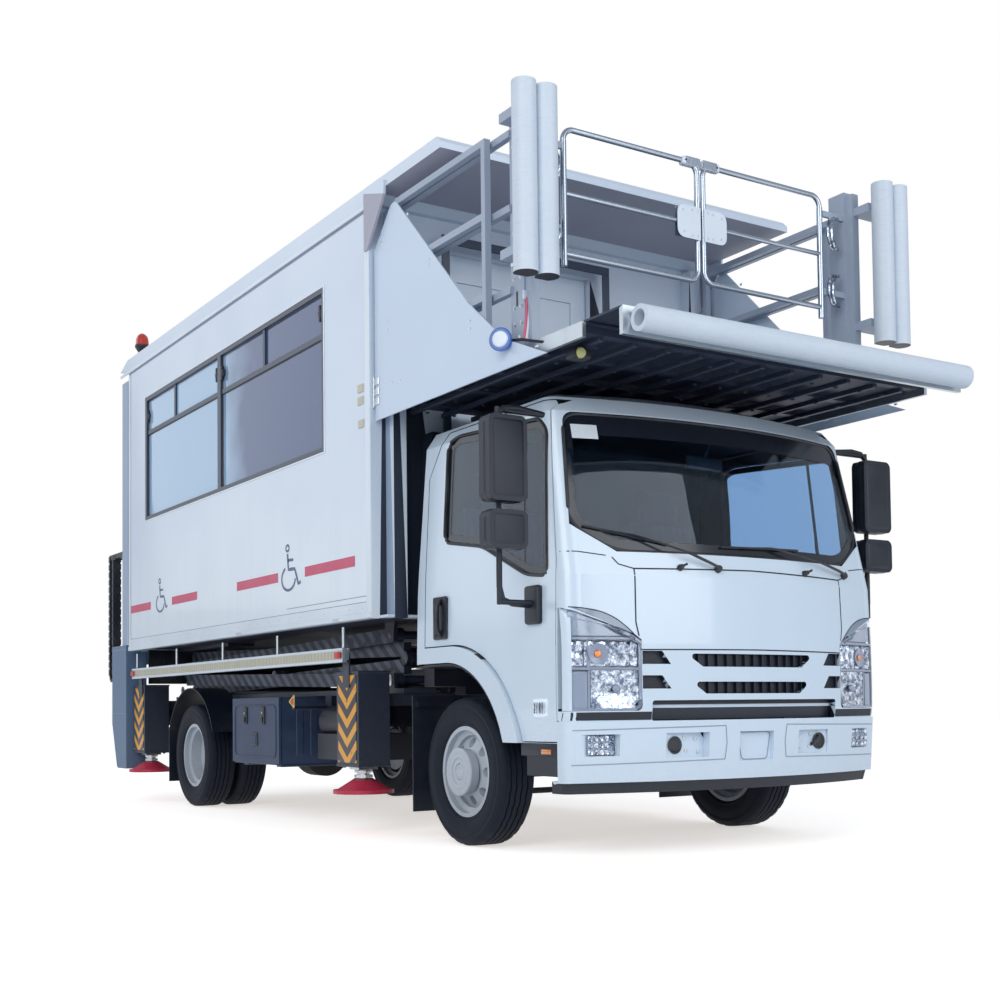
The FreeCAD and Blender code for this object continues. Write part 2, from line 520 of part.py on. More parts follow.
def leaf_spring(name, x, length, seat):
    """A leaf pack with its hangers, on the left side."""
    side = [(f"{x} - {length} / 2", f"{seat} + spring_camber"), (f"{x} - spring_width * 2", seat),
            (f"{x} + spring_width * 2", seat), (f"{x} + {length} / 2", f"{seat} + spring_camber"),
            (f"{x} + {length} / 2", f"{seat} + spring_camber + 16"),
            (f"{x} + spring_width * 2", f"{seat} + spring_depth"),
            (f"{x} - spring_width * 2", f"{seat} + spring_depth"),
            (f"{x} - {length} / 2", f"{seat} + spring_camber + 16")]
    span = ("spring_y - spring_width / 2", "spring_y + spring_width / 2")
    pack = plate(f"{name}_pack", "side", side, span)
    ends = [block(f"{name}_hanger{i}", (f"{x} + {sign} * {length} / 2 - 26",
                                        f"{x} + {sign} * {length} / 2 + 26"),
                  ("rail_half_width", span[1]), (f"{seat} + spring_camber", "rail_top - rail_depth / 2"))
            for i, sign in enumerate(("-1", "1"))]
    return fuse(name, pack, *ends)


springs = group("springs", leaf_spring("front_spring_pack", "0", "front_spring", "axle_z + beam_depth / 2"),
                leaf_spring("rear_spring_pack", "-wheelbase", "rear_spring", "axle_z + rear_tube_radius"))
sub_part("leaf_springs", both_sides("spring_pairs", springs))

# ---------------------------------------------------------------- chassis frame

rail = cut("rail", block("rail_blank", ("frame_rear", "frame_front"),
                         ("rail_half_width - rail_width", "rail_half_width"), ("rail_top - rail_depth",
                                                                               "rail_top")),
           block("rail_channel", ("frame_rear", "frame_front"), ("0", "rail_half_width - rail_web"),
                 ("rail_top - rail_depth + rail_web", "rail_top - rail_web")))
outriggers = [block(f"outrigger{i}", (f"{station} - cross_width / 2", f"{station} + cross_width / 2"),
                    ("rail_half_width - rail_web", "outer_arm_y + arm_metal_y"),
                    ("rail_top - jack_beam_depth", "rail_top"))
              for i, station in enumerate(("outrigger_front", "-wheelbase + outrigger_rear"))]
rail_foot = "rail_top - rail_depth"
left_rail = fuse("left_rail", rail, *outriggers,
                 block("tank_bracket", ("bracket_x", "bracket_x + bracket_width"),
                       ("rail_half_width - rail_web", "tank_inner"), (f"{rail_foot} + 20",
                                                                      f"{rail_foot} + 90")))
right_side = fuse("right_side", rail, *outriggers,
                  block("gear_bracket", ("gear_rear", "gear_rear + bracket_width"),
                        ("rail_half_width - rail_web", "gear_inner"), (f"{rail_foot} + 20",
                                                                       f"{rail_foot} + 120")),
                  block("tool_bracket", ("bracket_x", "bracket_x + bracket_width"),
                        ("rail_half_width - rail_web", "tool_inner"), (f"{rail_foot} + 20",
                                                                       f"{rail_foot} + 90")))
sub_part("chassis_frame", group("frame_rails", left_rail, mirrored("right_rail", right_side)))

crosses = []
for i, station in enumerate(("frame_front - cross_width", "engine_rear - cross_width * 2", "cross_middle",
                             "cylinder_base_x", "-wheelbase + cross_spread", "-wheelbase - cross_spread", "frame_rear")):
    crosses.append(block(f"cross{i}", (station, f"{station} + cross_width"),
                         ("-rail_half_width + rail_web", "rail_half_width - rail_web"),
                         ("rail_top - rail_web - cross_depth", "rail_top - rail_web")))
cylinder_bracket = plate("cylinder_bracket", "side", [
    ("cylinder_base_x - 50", "rail_top - rail_web - 2"), ("cylinder_base_x + 50", "rail_top - rail_web - 2"),
    ("cylinder_base_x + 30", "cylinder_z + 30"), ("cylinder_base_x - 30", "cylinder_z + 30")],
    ("cylinder_y + cylinder_radius + gap", "cylinder_y + cylinder_radius + gap + bracket_metal"))
cylinder_axle = rod("cylinder_axle", "Y", "cylinder_pin",
                    ("cylinder_y - cylinder_radius * 0.6 - gap", "cylinder_y + cylinder_radius + gap + 4"),
                    ("cylinder_base_x", "cylinder_z"))
underrun_x = ("frame_rear - underrun_metal", "frame_rear")
underrun = block("underrun", underrun_x, ("-underrun_half_width", "underrun_half_width"),
                 ("underrun_bottom", "underrun_top"))
underrun_leg = block("underrun_leg", underrun_x, ("rail_half_width - rail_width", "rail_half_width"),
                     ("underrun_bottom", "rail_top - 40"))
tow_jaw = cut("tow_jaw", block("tow_blank",
                               ("frame_rear - underrun_metal - tow_reach", "frame_rear - underrun_metal + 6"),
                              ("-tow_half", "tow_half"), ("tow_z - tow_depth / 2", "tow_z + tow_depth / 2")),
              block("tow_mouth", ("frame_rear - underrun_metal * 2 - tow_reach",
                                  "frame_rear - underrun_metal - 10"),
                    ("-tow_half * 2", "tow_half * 2"), ("tow_z - tow_gap / 2", "tow_z + tow_gap / 2")),
              rod("tow_bore", "Z", "tow_bore_radius", ("0", "rail_top"),
                  ("frame_rear - underrun_metal - tow_reach / 2", "0")))
sub_part("frame_crossmembers", fuse(
    "crossmembers", *crosses, tow_jaw, underrun, both_sides("underrun_legs", underrun_leg),
    both_sides("cylinder_brackets", cylinder_bracket), both_sides("cylinder_axles", cylinder_axle)))

sub_part("engine_block", block("engine", ("engine_rear", "engine_front"),
                               ("-engine_half_width", "engine_half_width"), ("engine_bottom", "engine_top")))
silencer = rod("silencer", "X", "exhaust_radius", ("exhaust_x", "exhaust_x + exhaust_length"),
               ("rail_half_width / 2", "rail_top - rail_depth - exhaust_radius / 2"))

tank_outline = [("tank_inner", "tank_bottom"), ("tank_outer", "tank_bottom"), ("tank_outer", "tank_top"),
                ("tank_inner", "tank_top")]
sub_part("fuel_tank", plate("tank", "front", tank_outline, ("tank_rear", "tank_front"),
                            {"tank_round": (0, 1, 2, 3)}))

lid_inner = "-tool_outer + tool_lid"
box_face = f"{lid_inner} + gap"
tool_shell = cut("tool_shell", block("tool_blank", ("tool_rear", "tool_front"), (box_face, "-tool_inner"),
                                     ("tool_bottom", "tool_top")),
                 block("tool_space", ("tool_rear + tool_wall", "tool_front - tool_wall"),
                       (box_face, "-tool_inner - tool_wall"),
                       ("tool_bottom + tool_wall", "tool_top - tool_wall")))
sub_part("tool_box", tool_shell)
sub_part("tool_box_lid", fuse("tool_lid", block("tool_lid_plate", ("tool_rear", "tool_front"),
                                                ("-tool_outer", lid_inner), ("tool_bottom", "tool_top")),
                              rod("tool_lid_hinge", "X", "hinge_radius",
                                  ("tool_rear + 40", "tool_front - 40"),
                                  ("-tool_outer + hinge_radius", "tool_bottom"))))
battery = block("battery", ("gear_rear", "gear_front"), ("-gear_outer", "-gear_inner"),
                ("gear_bottom", "gear_bottom + 160"))
air_tank = rod("air_tank", "X", "air_tank_radius", ("gear_rear + 20", "gear_front - 20"),
               ("-gear_outer + air_tank_radius", "gear_top - air_tank_radius"))
strap = block("air_strap", ("gear_rear + 80", "gear_rear + 140"),
              ("-gear_outer + air_tank_radius - 30", "-gear_outer + air_tank_radius + 30"),
              ("gear_bottom + 150", "gear_top - air_tank_radius"))
carrier = block("gear_carrier", ("gear_rear", "gear_rear + 60"), ("-gear_inner - 40", "-gear_inner"),
                ("gear_bottom", "rail_top - rail_depth + 110"))
intake = fuse("intake", block("intake_column", ("intake_rear", "intake_front"),
                              ("-intake_outer", "-intake_inner"),
                              ("intake_bottom", "intake_top")),
              block("intake_foot", ("intake_rear", "intake_front"), ("-intake_inner", "-rail_half_width"),
                    ("rail_top - 15", "intake_bottom + 60")),
              block("intake_base", ("intake_rear", "intake_front"),
                    ("-intake_outer", "-rail_half_width - 60"),
                    ("intake_bottom", "intake_bottom + 60")))
sub_part("chassis_gear", group("gear_set", fuse("gear", battery, air_tank, strap, carrier), silencer, intake))

# ---------------------------------------------------------------- lift base, jacks and side guards


def cone(name, radii, span, at):
    """An upright cone between two heights."""
    thing = doc.addObject("Part::Cone", name)
    bind(thing, Radius1=radii[0], Radius2=radii[1], Height=f"({span[1]}) - ({span[0]})")
    return move(thing, *at, span[0])


track = block("track", ("base_rear", "base_front"), ("track_inner", "bracket_outer"),
              ("rail_top", "track_top"))
lug_outline = [("lift_pin_x - bracket_reach", "rail_top"), ("lift_pin_x + bracket_reach", "rail_top"),
               ("lift_pin_x + eye_radius", "lift_pin_z + eye_radius"),
               ("lift_pin_x - eye_radius", "lift_pin_z + eye_radius")]
foot_lug = cut("foot_lug", plate("foot_lug_blank", "side", lug_outline, ("bracket_inner", "bracket_outer")),
               rod("foot_lug_hole", "Y", "lift_pin_radius + pin_play", ("0", "bracket_outer * 2"),
                   ("lift_pin_x", "lift_pin_z")))
base_pieces = [track, foot_lug]
leg_sets = []
for i, station in enumerate(("jack_front_x", "jack_rear_x")):
    jack_beam = block(f"jack_beam{i}", (f"{station} - jack_beam_width / 2",
                                        f"{station} + jack_beam_width / 2"),
                      ("rail_half_width", "jack_y"), ("rail_top - jack_beam_depth", "rail_top"))
    half_x, half_y = "jack_length / 2", "jack_side / 2"
    housing_blank = block(f"housing{i}", (f"{station} - {half_x}", f"{station} + {half_x}"),
                          (f"jack_y - {half_y}", f"jack_y + {half_y}"), ("jack_bottom", "jack_top"))
    housing_space = block(f"housing_space{i}",
                          (f"{station} - {half_x} + jack_wall", f"{station} + {half_x} - jack_wall"),
                          (f"jack_y - {half_y} + jack_wall", f"jack_y + {half_y} - jack_wall"),
                          ("jack_bottom", "jack_top - jack_wall"))
    base_pieces.append(cut(f"jack_frame{i}", fuse(f"jack_frame_blank{i}", jack_beam, housing_blank),
                           housing_space))
    leg = block(f"leg{i}", (f"{station} - jack_leg / 2", f"{station} + jack_leg / 2"),
                ("jack_y - jack_leg / 2", "jack_y + jack_leg / 2"),
                ("pad_bottom + pad_depth + ball_radius * 3", "jack_leg_top"))
    pad = rod(f"pad{i}", "Z", "pad_radius", ("pad_bottom", "pad_bottom + pad_depth"), (station, "jack_y"))
    pad_cone = cone(f"pad_cone{i}", ("pad_radius - 20", "ball_radius + 14"),
                    ("pad_bottom + pad_depth", "pad_bottom + pad_depth + ball_radius * 1.7"), (station,
                                                                                               "jack_y"))
    stud = rod(f"stud{i}", "Z", "ball_radius", ("pad_bottom", "jack_bottom"), (station, "jack_y"))
    leg_sets.append(fuse(f"leg_set{i}", leg, pad, pad_cone, stud))
sub_part("lift_base", both_sides("base_sides", fuse("base_side", *base_pieces)))
for label, legs in zip(("jack_legs_front", "jack_legs_rear"), leg_sets):
    sub_part(label, both_sides(f"{label}_pair", legs))

guard_inner = "guard_y - guard_width / 2"
guard = [block("guard_bar", ("guard_rear", "guard_front"), (guard_inner, "guard_y + guard_width / 2"),
               ("guard_bottom", "guard_top"))]
for i in range(int(size("stanchion_count"))):
    station = f"guard_rear + 40 + (guard_front - guard_rear - 80) * {i} / (stanchion_count - 1)"
    guard.append(rod(f"stanchion{i}", "Z", "stanchion_radius", ("guard_bottom", "stanchion_top"),
                     (station, guard_inner)))
for i, station in enumerate(("jack_front_x", "jack_rear_x + 60")):
    guard.append(block(f"guard_plate{i}", (f"{station} - 40", f"{station} + 40"),
                       ("jack_y + jack_side / 2", "jack_y + jack_side / 2 + 10"), ("jack_top - 90",
                                                                                   "guard_top")))
    guard.append(block(f"guard_strut{i}", (f"{station} - 40", f"{station} + 40"),
                       ("jack_y + jack_side / 2", guard_inner), ("guard_bottom + 16", "guard_top - 16")))
sub_part("side_guards", both_sides("guard_pair", fuse("guard", *guard)))

# ---------------------------------------------------------------- scissor lift

pins = {
    "foot": ("lift_pin_x", "lift_pin_z"), "rear_low": ("rear_pin_x", "lift_pin_z"),
    "front_mid": ("lift_pin_x", "mid_pin_z"), "rear_mid": ("rear_pin_x", "mid_pin_z"),
    "front_top": ("lift_pin_x", "top_pin_z"), "rear_top": ("rear_pin_x", "top_pin_z"),
    "low_centre": ("centre_pin_x", "lift_pin_z + lift_pitch / 2"),
    "high_centre": ("centre_pin_x", "mid_pin_z + lift_pitch / 2"),
}
planes = {
    "outer": ("outer_arm_y - arm_metal_y / 2", "outer_arm_y + arm_metal_y / 2"),
    "inner": ("inner_arm_y - arm_metal_y / 2", "inner_arm_y + arm_metal_y / 2"),
}
halves = {
    "near": lambda span: (span[0], f"({span[0]}) + arm_metal_y / 2 - gap / 2"),
    "far": lambda span: (f"({span[0]}) + arm_metal_y / 2 + gap / 2", span[1]),
}
beside = {
    "near": lambda span: (f"({span[0]}) + arm_metal_y / 2 - gap", f"({span[1]}) + gap"),
    "far": lambda span: (f"({span[0]}) - gap", f"({span[0]}) + arm_metal_y / 2 + gap"),
}


def arm(name, plane, front, rear, centre, offsets, mid_end, lug, *extras, centre_hole):
    """One arm of the scissor on the left side.

    Its beam runs past the middle pin by the given offsets, so that two arms stand one over the other there;
    at `mid_end` it keeps one half of its thickness as a lug and leaves the other half to its partner.
    """
    span = planes[plane]
    (fx, fz), (rx, rz) = pins[front], pins[rear]
    half = "arm_depth / 2"
    beam_outline = [(fx, f"{fz} + ({offsets[0]}) - {half}"), (fx, f"{fz} + ({offsets[0]}) + {half}"),
                    (rx, f"{rz} + ({offsets[1]}) + {half}"), (rx, f"{rz} + ({offsets[1]}) - {half}")]
    beam_body = plate(f"{name}_beam", "side", beam_outline, span)
    middle = pins[mid_end]
    other_end = pins[rear if mid_end == front else front]
    pocket = rod(f"{name}_pocket", "Y", "eye_radius + gap", beside[lug](span), middle)
    pieces = [cut(f"{name}_relieved", beam_body, pocket),
              rod(f"{name}_lug", "Y", "eye_radius", halves[lug](span), middle),
              rod(f"{name}_end", "Y", "eye_radius", span, other_end),
              rod(f"{name}_boss", "Y", "eye_radius", span, pins[centre])]
    holes = []
    if centre_hole:
        holes.append(rod(f"{name}_centre_hole", "Y", "lift_pin_radius + pin_play", ("0", span[1]),
                         pins[centre]))
    if name == "outer_upper":
        holes.append(rod(f"{name}_lug_hole", "Y", "lift_pin_radius + pin_play", ("0", "bracket_outer"),
                         middle))
    solid = fuse(f"{name}_solid", *pieces, *extras)
    return cut(f"{name}_arm", solid, *holes) if holes else solid


def pin(name, at, span):
    return rod(name, "Y", "lift_pin_radius", span, pins[at])


def tube(name, at, reach):
    """Half of a cross tube; its twin on the other side completes it."""
    return rod(name, "Y", "lift_tube_radius", ("0", reach), at)


inner_face, outer_face = planes["inner"][0], planes["outer"][1]
roller_span = ("roller_inner", "roller_inner + roller_width")
cylinder_pin = ("cylinder_eye_x", "cylinder_eye_z")
hang = block("cylinder_hanger", ("cylinder_eye_x - eye_radius", "cylinder_eye_x + eye_radius"),
             planes["outer"],
             ("cylinder_eye_z - lift_tube_radius", "cylinder_eye_z + eye_radius"))
arms = {
    "scissor_outer_lower": arm(
        "outer_lower", "outer", "foot", "rear_mid", "low_centre", ("0", "-arm_offset"), "rear_mid", "near",
        tube("foot_tube", pins["foot"], outer_face), pin("foot_pin", "foot",
                                                         ("outer_arm_y", "bracket_outer")),
        pin("low_centre_pin", "low_centre", (inner_face, outer_face)),
        pin("rear_mid_pin", "rear_mid", ("outer_arm_y - arm_metal_y / 2", outer_face)),
        tube("rear_mid_tube", pins["rear_mid"], "outer_arm_y - arm_metal_y / 2"), hang,
        tube("cylinder_tube", cylinder_pin, "outer_arm_y"), centre_hole=False),
    "scissor_inner_lower": arm(
        "inner_lower", "inner", "front_mid", "rear_low", "low_centre", ("-arm_offset",
                                                                        "0"), "front_mid", "near",
        tube("rear_low_tube", pins["rear_low"], "inner_arm_y"),
        rod("low_roller", "Y", "roller_radius", roller_span, pins["rear_low"]),
        tube("front_mid_tube", pins["front_mid"], inner_face), centre_hole=True),
    "scissor_outer_upper": arm(
        "outer_upper", "outer", "front_top", "rear_mid", "high_centre", ("0",
                                                                         "arm_offset"), "rear_mid", "far",
        tube("front_top_tube", pins["front_top"], outer_face),
        pin("front_top_pin", "front_top", ("outer_arm_y", "bracket_outer")),
        pin("high_centre_pin", "high_centre", (inner_face, outer_face)), centre_hole=False),
    "scissor_inner_upper": arm(
        "inner_upper", "inner", "front_mid", "rear_top", "high_centre", ("arm_offset",
                                                                         "0"), "front_mid", "far",
        tube("rear_top_tube", pins["rear_top"], "inner_arm_y"),
        rod("top_roller", "Y", "roller_radius", roller_span, pins["rear_top"]),
        tube("upper_brace_tube", ("lift_pin_x - brace_reach", "mid_pin_z + arm_offset"), "inner_arm_y"),
        centre_hole=True),
}
for label, side_arm in arms.items():
    sub_part(label, fuse(f"{label}_frame", side_arm, mirrored(f"{label}_twin", side_arm)))

# ---------------------------------------------------------------- lift cylinders

base_eye = ("cylinder_base_x", "cylinder_z")
barrel = fuse("barrel", rod("barrel_eye", "Y", "cylinder_radius * 0.85",
                            ("cylinder_y - cylinder_radius * 0.6",
                             "cylinder_y + cylinder_radius * 0.6"), base_eye),
              rod("barrel_tube", "X", "cylinder_radius", ("cylinder_base_x + 20", "cylinder_eye_x - 90"),
                  ("cylinder_y", "cylinder_z")))
bore = rod("barrel_bore", "X", "cylinder_rod + gap / 2", ("cylinder_base_x + 60", "cylinder_eye_x"),
           ("cylinder_y", "cylinder_z"))
eye_hole = rod("barrel_eye_hole", "Y", "cylinder_pin + pin_play", ("0", "cylinder_y * 2"), base_eye)
sub_part("cylinder_barrels", both_sides("barrel_pair", cut("bored_barrel", barrel, bore, eye_hole)))
piston_rod = rod("piston_rod", "X", "cylinder_rod",
                 ("cylinder_base_x + 70", "cylinder_eye_x - eye_clearance"),
                 ("cylinder_y", "cylinder_z"))
sub_part("cylinder_rods", both_sides("rod_pair", piston_rod))

# ---------------------------------------------------------------- lifted box

inner_half = "box_half_width - wall"
bracket_outline = [("lift_pin_x - bracket_reach", "floor_bottom"),
                   ("lift_pin_x + bracket_reach", "floor_bottom"),
                   ("lift_pin_x + eye_radius", "top_pin_z - eye_radius"),
                   ("lift_pin_x - eye_radius", "top_pin_z - eye_radius")]
box_bracket = cut("box_bracket", plate("box_bracket_blank", "side", bracket_outline,
                                       ("bracket_inner", "bracket_outer")),
                  rod("box_bracket_hole", "Y", "lift_pin_radius + pin_play", ("0", "bracket_outer * 2"),
                      pins["front_top"]))
lift_track = block("lift_track", ("base_rear", "lift_track_front"), ("track_inner", "bracket_outer"),
                   ("floor_bottom - lift_track_depth", "floor_bottom"))
floor_slab = block("floor_slab", ("box_rear + wall", "box_front - wall"), (f"-({inner_half})", inner_half),
                   ("floor_bottom", "floor_top"))
sub_part("box_floor", fuse("floor", floor_slab, both_sides("box_brackets", box_bracket),
                           both_sides("lift_tracks", lift_track)))

wall_y = (inner_half, "box_half_width")
opening = block("window_opening", ("window_rear", "window_front"), ("0", "box_half_width * 2"),
                ("window_bottom", "window_top"))
side_wall = cut("side_wall", block("side_wall_blank", ("box_rear", "box_front"), wall_y,
                                   ("wall_bottom", "wall_top")), opening)
sub_part("box_side_walls", both_sides("side_walls", side_wall))

ring = cut("window_ring", block("ring_blank", ("window_rear", "window_front"), wall_y,
                                ("window_bottom", "window_top")),
           block("ring_space", ("window_rear + frame_metal", "window_front - frame_metal"),
                 ("0", "box_half_width * 2"),
                 ("window_bottom + frame_metal", "window_top - frame_metal")))
mid_span = (f"{inner_half} + 8", "box_half_width - 8")
mullion = block("window_mullion", ("mullion_x - mullion / 2", "mullion_x + mullion / 2"), wall_y,
                ("window_bottom", "window_top"))
transom = block("window_transom", ("window_rear", "window_front"), mid_span,
                ("transom_z - 16", "transom_z + 16"))
dividers = [block(f"divider{i}", (f"{station} - 16", f"{station} + 16"), mid_span,
                  ("transom_z", "window_top"))
            for i, station in enumerate(("divider_rear", "divider_front"))]
window_frame = fuse("window_frame", ring, mullion, transom, *dividers)
sub_part("box_window_frames", both_sides("window_frames", window_frame))
pane = block("pane", ("window_rear + frame_metal", "window_front - frame_metal"),
             ("box_half_width - wall / 2 - glass / 2", "box_half_width - wall / 2 + glass / 2"),
             ("window_bottom + frame_metal", "window_top - frame_metal"))
sub_part("box_glazing", both_sides("glazing", cut("panes", pane, copied("frame_tool", window_frame))))

front_wall = cut("front_wall", block("front_wall_blank", ("box_front - wall", "box_front"),
                                     (f"-({inner_half})", inner_half), ("wall_bottom", "wall_top")),
                 block("doorway", ("box_front - wall * 2", "box_front + wall"), ("door_right", "door_left"),
                       ("floor_top", "door_top")))
guide = block("guide", ("box_front", "box_front + guide_reach"), ("guide_inner", "guide_outer"),
              ("wall_bottom", "guide_top"))
sub_part("box_front_wall", fuse("front_wall_and_guides", front_wall, both_sides("guides", guide)))

leaf_x = ("box_front - wall - gap - door_metal", "box_front - wall - gap")
leaf_y = ("door_right - door_lap", "door_left + door_lap")
leaf = cut("leaf", block("leaf_blank", leaf_x, leaf_y, ("door_sill", "door_top + door_lap")),
           block("leaf_window", ("box_front - wall * 3", "box_front"),
                 ("door_right + door_stile", "door_left - door_stile"), ("door_window_bottom",
                                                                         "door_window_top")))
leaf_glass = block("leaf_glass", (f"{leaf_x[0]} + 11", f"{leaf_x[0]} + 19"),
                   ("door_right + door_stile", "door_left - door_stile"), ("door_window_bottom",
                                                                           "door_window_top"))
sub_part("box_front_door", fuse("front_door", leaf, leaf_glass))

rear_wall = cut("rear_wall", block("rear_wall_blank", ("box_rear", "box_rear + wall"),
                                   (f"-({inner_half})", inner_half), ("wall_bottom", "wall_top")),
                block("rear_doorway", ("box_rear - wall", "box_rear + wall * 2"),
                      ("-rear_door_half_width", "rear_door_half_width"), ("floor_top", "rear_door_top")))
shutter = block("shutter", ("box_rear + (wall - shutter_metal) / 2", "box_rear + (wall + shutter_metal) / 2"),
                ("-rear_door_half_width", "rear_door_half_width"), ("floor_top", "rear_door_top"))
sub_part("box_rear_wall", fuse("rear_wall_and_shutter", rear_wall, shutter))

roof_outline = [("roof_rear", "wall_top + roof_point"), ("roof_rear + roof_slope", "wall_top"),
                ("canopy_rear", "wall_top"), ("canopy_rear + canopy_lift", "wall_top + canopy_lift"),
                ("roof_front", "wall_top + canopy_lift"), ("roof_front", "roof_top - roof_round"),
                ("roof_front - roof_round", "roof_top"), ("roof_rear + roof_slope", "roof_top")]
roof = plate("roof", "side", roof_outline, ("-box_half_width", "box_half_width"))
gusset_top = "wall_top + canopy_lift + gusset_lap"
gusset_outline = [("gusset_rear", gusset_top), ("gusset_rear", "gusset_bottom"),
                  ("gusset_rear + 40", "gusset_bottom"),
                  ("gusset_front", "wall_top"), ("gusset_front", gusset_top)]
gusset = plate("gusset", "side", gusset_outline, ("box_half_width", "box_half_width + gusset_metal"))
sub_part("box_roof", fuse("roof_and_gussets", roof, both_sides("gussets", gusset)))

bench_outline = [(inner_half, "floor_top"), (f"{inner_half} - bench_depth + 60", "floor_top"),
                 (f"{inner_half} - bench_depth", "floor_top + bench_height - bench_pad"),
                 (f"{inner_half} - bench_depth", "floor_top + bench_height"),
                 (f"{inner_half} - bench_pad", "floor_top + bench_height"),
                 (f"{inner_half} - bench_pad * 0.7", "floor_top + bench_back"), (inner_half,
                                                                                 "floor_top + bench_back")]
sub_part("box_benches", both_sides("benches", plate("bench", "front", bench_outline,
                                                    ("bench_rear", "bench_front"))))
beacon = fuse("beacon", rod("beacon_stem", "Z", "beacon_radius / 2", ("roof_top", "beacon_base"),
                            ("beacon_x", "beacon_y")),
              rod("beacon_foot", "Z", "beacon_radius", ("beacon_base", "beacon_base + 26"),
                  ("beacon_x", "beacon_y")),
              cone("beacon_dome", ("beacon_radius - 4", "beacon_radius - 20"),
                   ("beacon_base + 26", "beacon_base + beacon_height"), ("beacon_x", "beacon_y")))
sub_part("beacons", both_sides("beacon_pair", beacon))

# ---------------------------------------------------------------- front platform, bridge and gates

deck_rear = "box_front + deck_rear_gap"
channel_rear = "(box_front + guide_reach + joint_gap)"
deck_pieces = [
    block("deck_tongue", (deck_rear, channel_rear), ("-guide_inner + joint_gap", "guide_inner - joint_gap"),
          ("deck_top - deck_plate", "deck_top")),
    block("deck_plate_main", (channel_rear, "deck_front"), ("-deck_half_width", "deck_half_width"),
          ("deck_top - deck_plate", "deck_top"))]
for i in range(int(size("rib_count"))):
    station = f"{channel_rear} + 120 + (deck_front - {channel_rear} - 200) * {i} / (rib_count - 1)"
    deck_pieces.append(block(f"rib{i}", (station, f"{station} + rib_width"),
                             ("-deck_half_width", "deck_half_width"),
                             ("deck_top - deck_plate - rib_depth", "deck_top - deck_plate")))
channel = block("side_channel", (channel_rear, "deck_front"),
                ("deck_half_width", "deck_half_width + channel_metal"),
                ("deck_bottom", "deck_top"))
shoe = block("guide_shoe", (f"{deck_rear} + gap", "shoe_front"), ("guide_outer + gap", "wing_y"),
             ("deck_bottom", "shoe_top"))
rail_half = "rail_tube / 2"
end_post = block("end_post", ("rail_front - rail_tube", "rail_front"),
                 (f"outer_rail_y - {rail_half}", "wing_y"), ("deck_bottom", f"rail_top_z + {rail_half}"))
post_foot = block("post_foot", ("rail_front - rail_tube", "rail_front"), ("deck_half_width", "wing_y"),
                  ("deck_bottom", "deck_top"))
fixed_rails = [block(f"fixed_rail{i}", (start, "rail_front"), (f"outer_rail_y - {rail_half}", "wing_y"),
                     (f"{height} - {rail_half}", f"{height} + {rail_half}"))
               for i, (start, height) in enumerate((("wing_neck", "rail_top_z"), ("wing_neck", "rail_mid_z"),
                                                    ("wing_neck", "rail_low_z")))]
side_pieces = fuse("deck_side", channel, shoe, end_post, post_foot, *fixed_rails)
sub_part("platform_deck", fuse("deck", *deck_pieces, both_sides("deck_sides", side_pieces)))

wing_outline = [("wing_rear", "wing_bottom"), ("wing_front", "wing_bottom"), ("wing_toe", "wing_toe_top"),
                ("wing_bend", "wing_bend_top"), ("wing_neck", "wing_top"), ("wing_rear", "wing_shoulder")]
sub_part("wing_panels", both_sides("wings", plate("wing", "side", wing_outline,
                                                  ("wing_y", "wing_y + wing_metal"), {"60": (3, 4)})))

plate_z = ("deck_top + gap", "deck_top + gap + bridge_plate")
bridge_mid = block("bridge_plate_main", ("bridge_rear", "bridge_front"),
                   ("-bridge_half_width", "bridge_half_width"), plate_z)
fascia = block("fascia", ("bridge_front", "bumper_x - bumper_radius"),
               ("-bridge_half_width", "bridge_half_width"),
               ("fascia_bottom", plate_z[1]))
post = block("post", ("post_rear", "post_front"), ("post_inner", "post_outer"), (plate_z[0], "post_top"))
channel_post = block("channel_post", ("post_front", "channel_front"), ("post_inner + 12", "post_outer - 6"),
                     (plate_z[0], "post_top - 20"))
slide_rails = [block(f"slide_rail{i}", ("rail_rear", "post_rear + 20"),
                     (f"inner_rail_y - {rail_half}", f"inner_rail_y + {rail_half}"),
                     (f"{height} - {rail_half}", f"{height} + {rail_half}"))
               for i, height in enumerate(("rail_top_z", "rail_mid_z", "rail_low_z"))]
rail_end = block("rail_end", ("rail_rear", "rail_rear + rail_tube"),
                 (f"inner_rail_y - {rail_half}", f"inner_rail_y + {rail_half}"), ("rail_low_z", "rail_top_z"))
hinge_arms = [block(f"hinge_arm{i}", ("gate_x - 9", "gate_x + 9"),
                    ("gate_hinge_y + gate_tube + 3", "post_inner + 4"),
                    (f"{height} - 16", f"{height} + 16")) for i, height in enumerate(("gate_low + 90",
                                                                                      "gate_top - 90"))]
fender_arms = [block(f"fender_arm{i}", ("channel_front - 12", "fender_x - fender_radius * 0.8"),
                     ("post_inner + 20", "fender_outer_y + fender_radius / 2"), (f"{height} - 22",
                                                                                 f"{height} + 22"))
               for i, height in enumerate(("fender_bottom + 120", "fender_top - 120"))]
bridge_side = fuse("bridge_side", post, channel_post, *slide_rails, rail_end, *hinge_arms)
fender_hooks = group("fender_hooks", *fender_arms)
fender_shapes = [cut(f"fender{i}", rod(f"fender_round{i}", "Z", "fender_radius",
                                       ("fender_bottom", "fender_top"),
                                       ("fender_x", station)),
                     block(f"fender_flat{i}",
                           ("fender_x - fender_radius * 2", "fender_x - fender_radius * 0.8"),
                           ("0", "fender_outer_y * 2"), ("fender_bottom - 10", "fender_top + 10")))
                 for i, station in enumerate(("fender_inner_y", "fender_outer_y"))]
fenders = group("fender_set", *fender_shapes)
sub_part("bridge", fuse("bridge_frame", bridge_mid, fascia, both_sides("bridge_sides", bridge_side),
                        both_sides("fender_carriers", fender_hooks)))
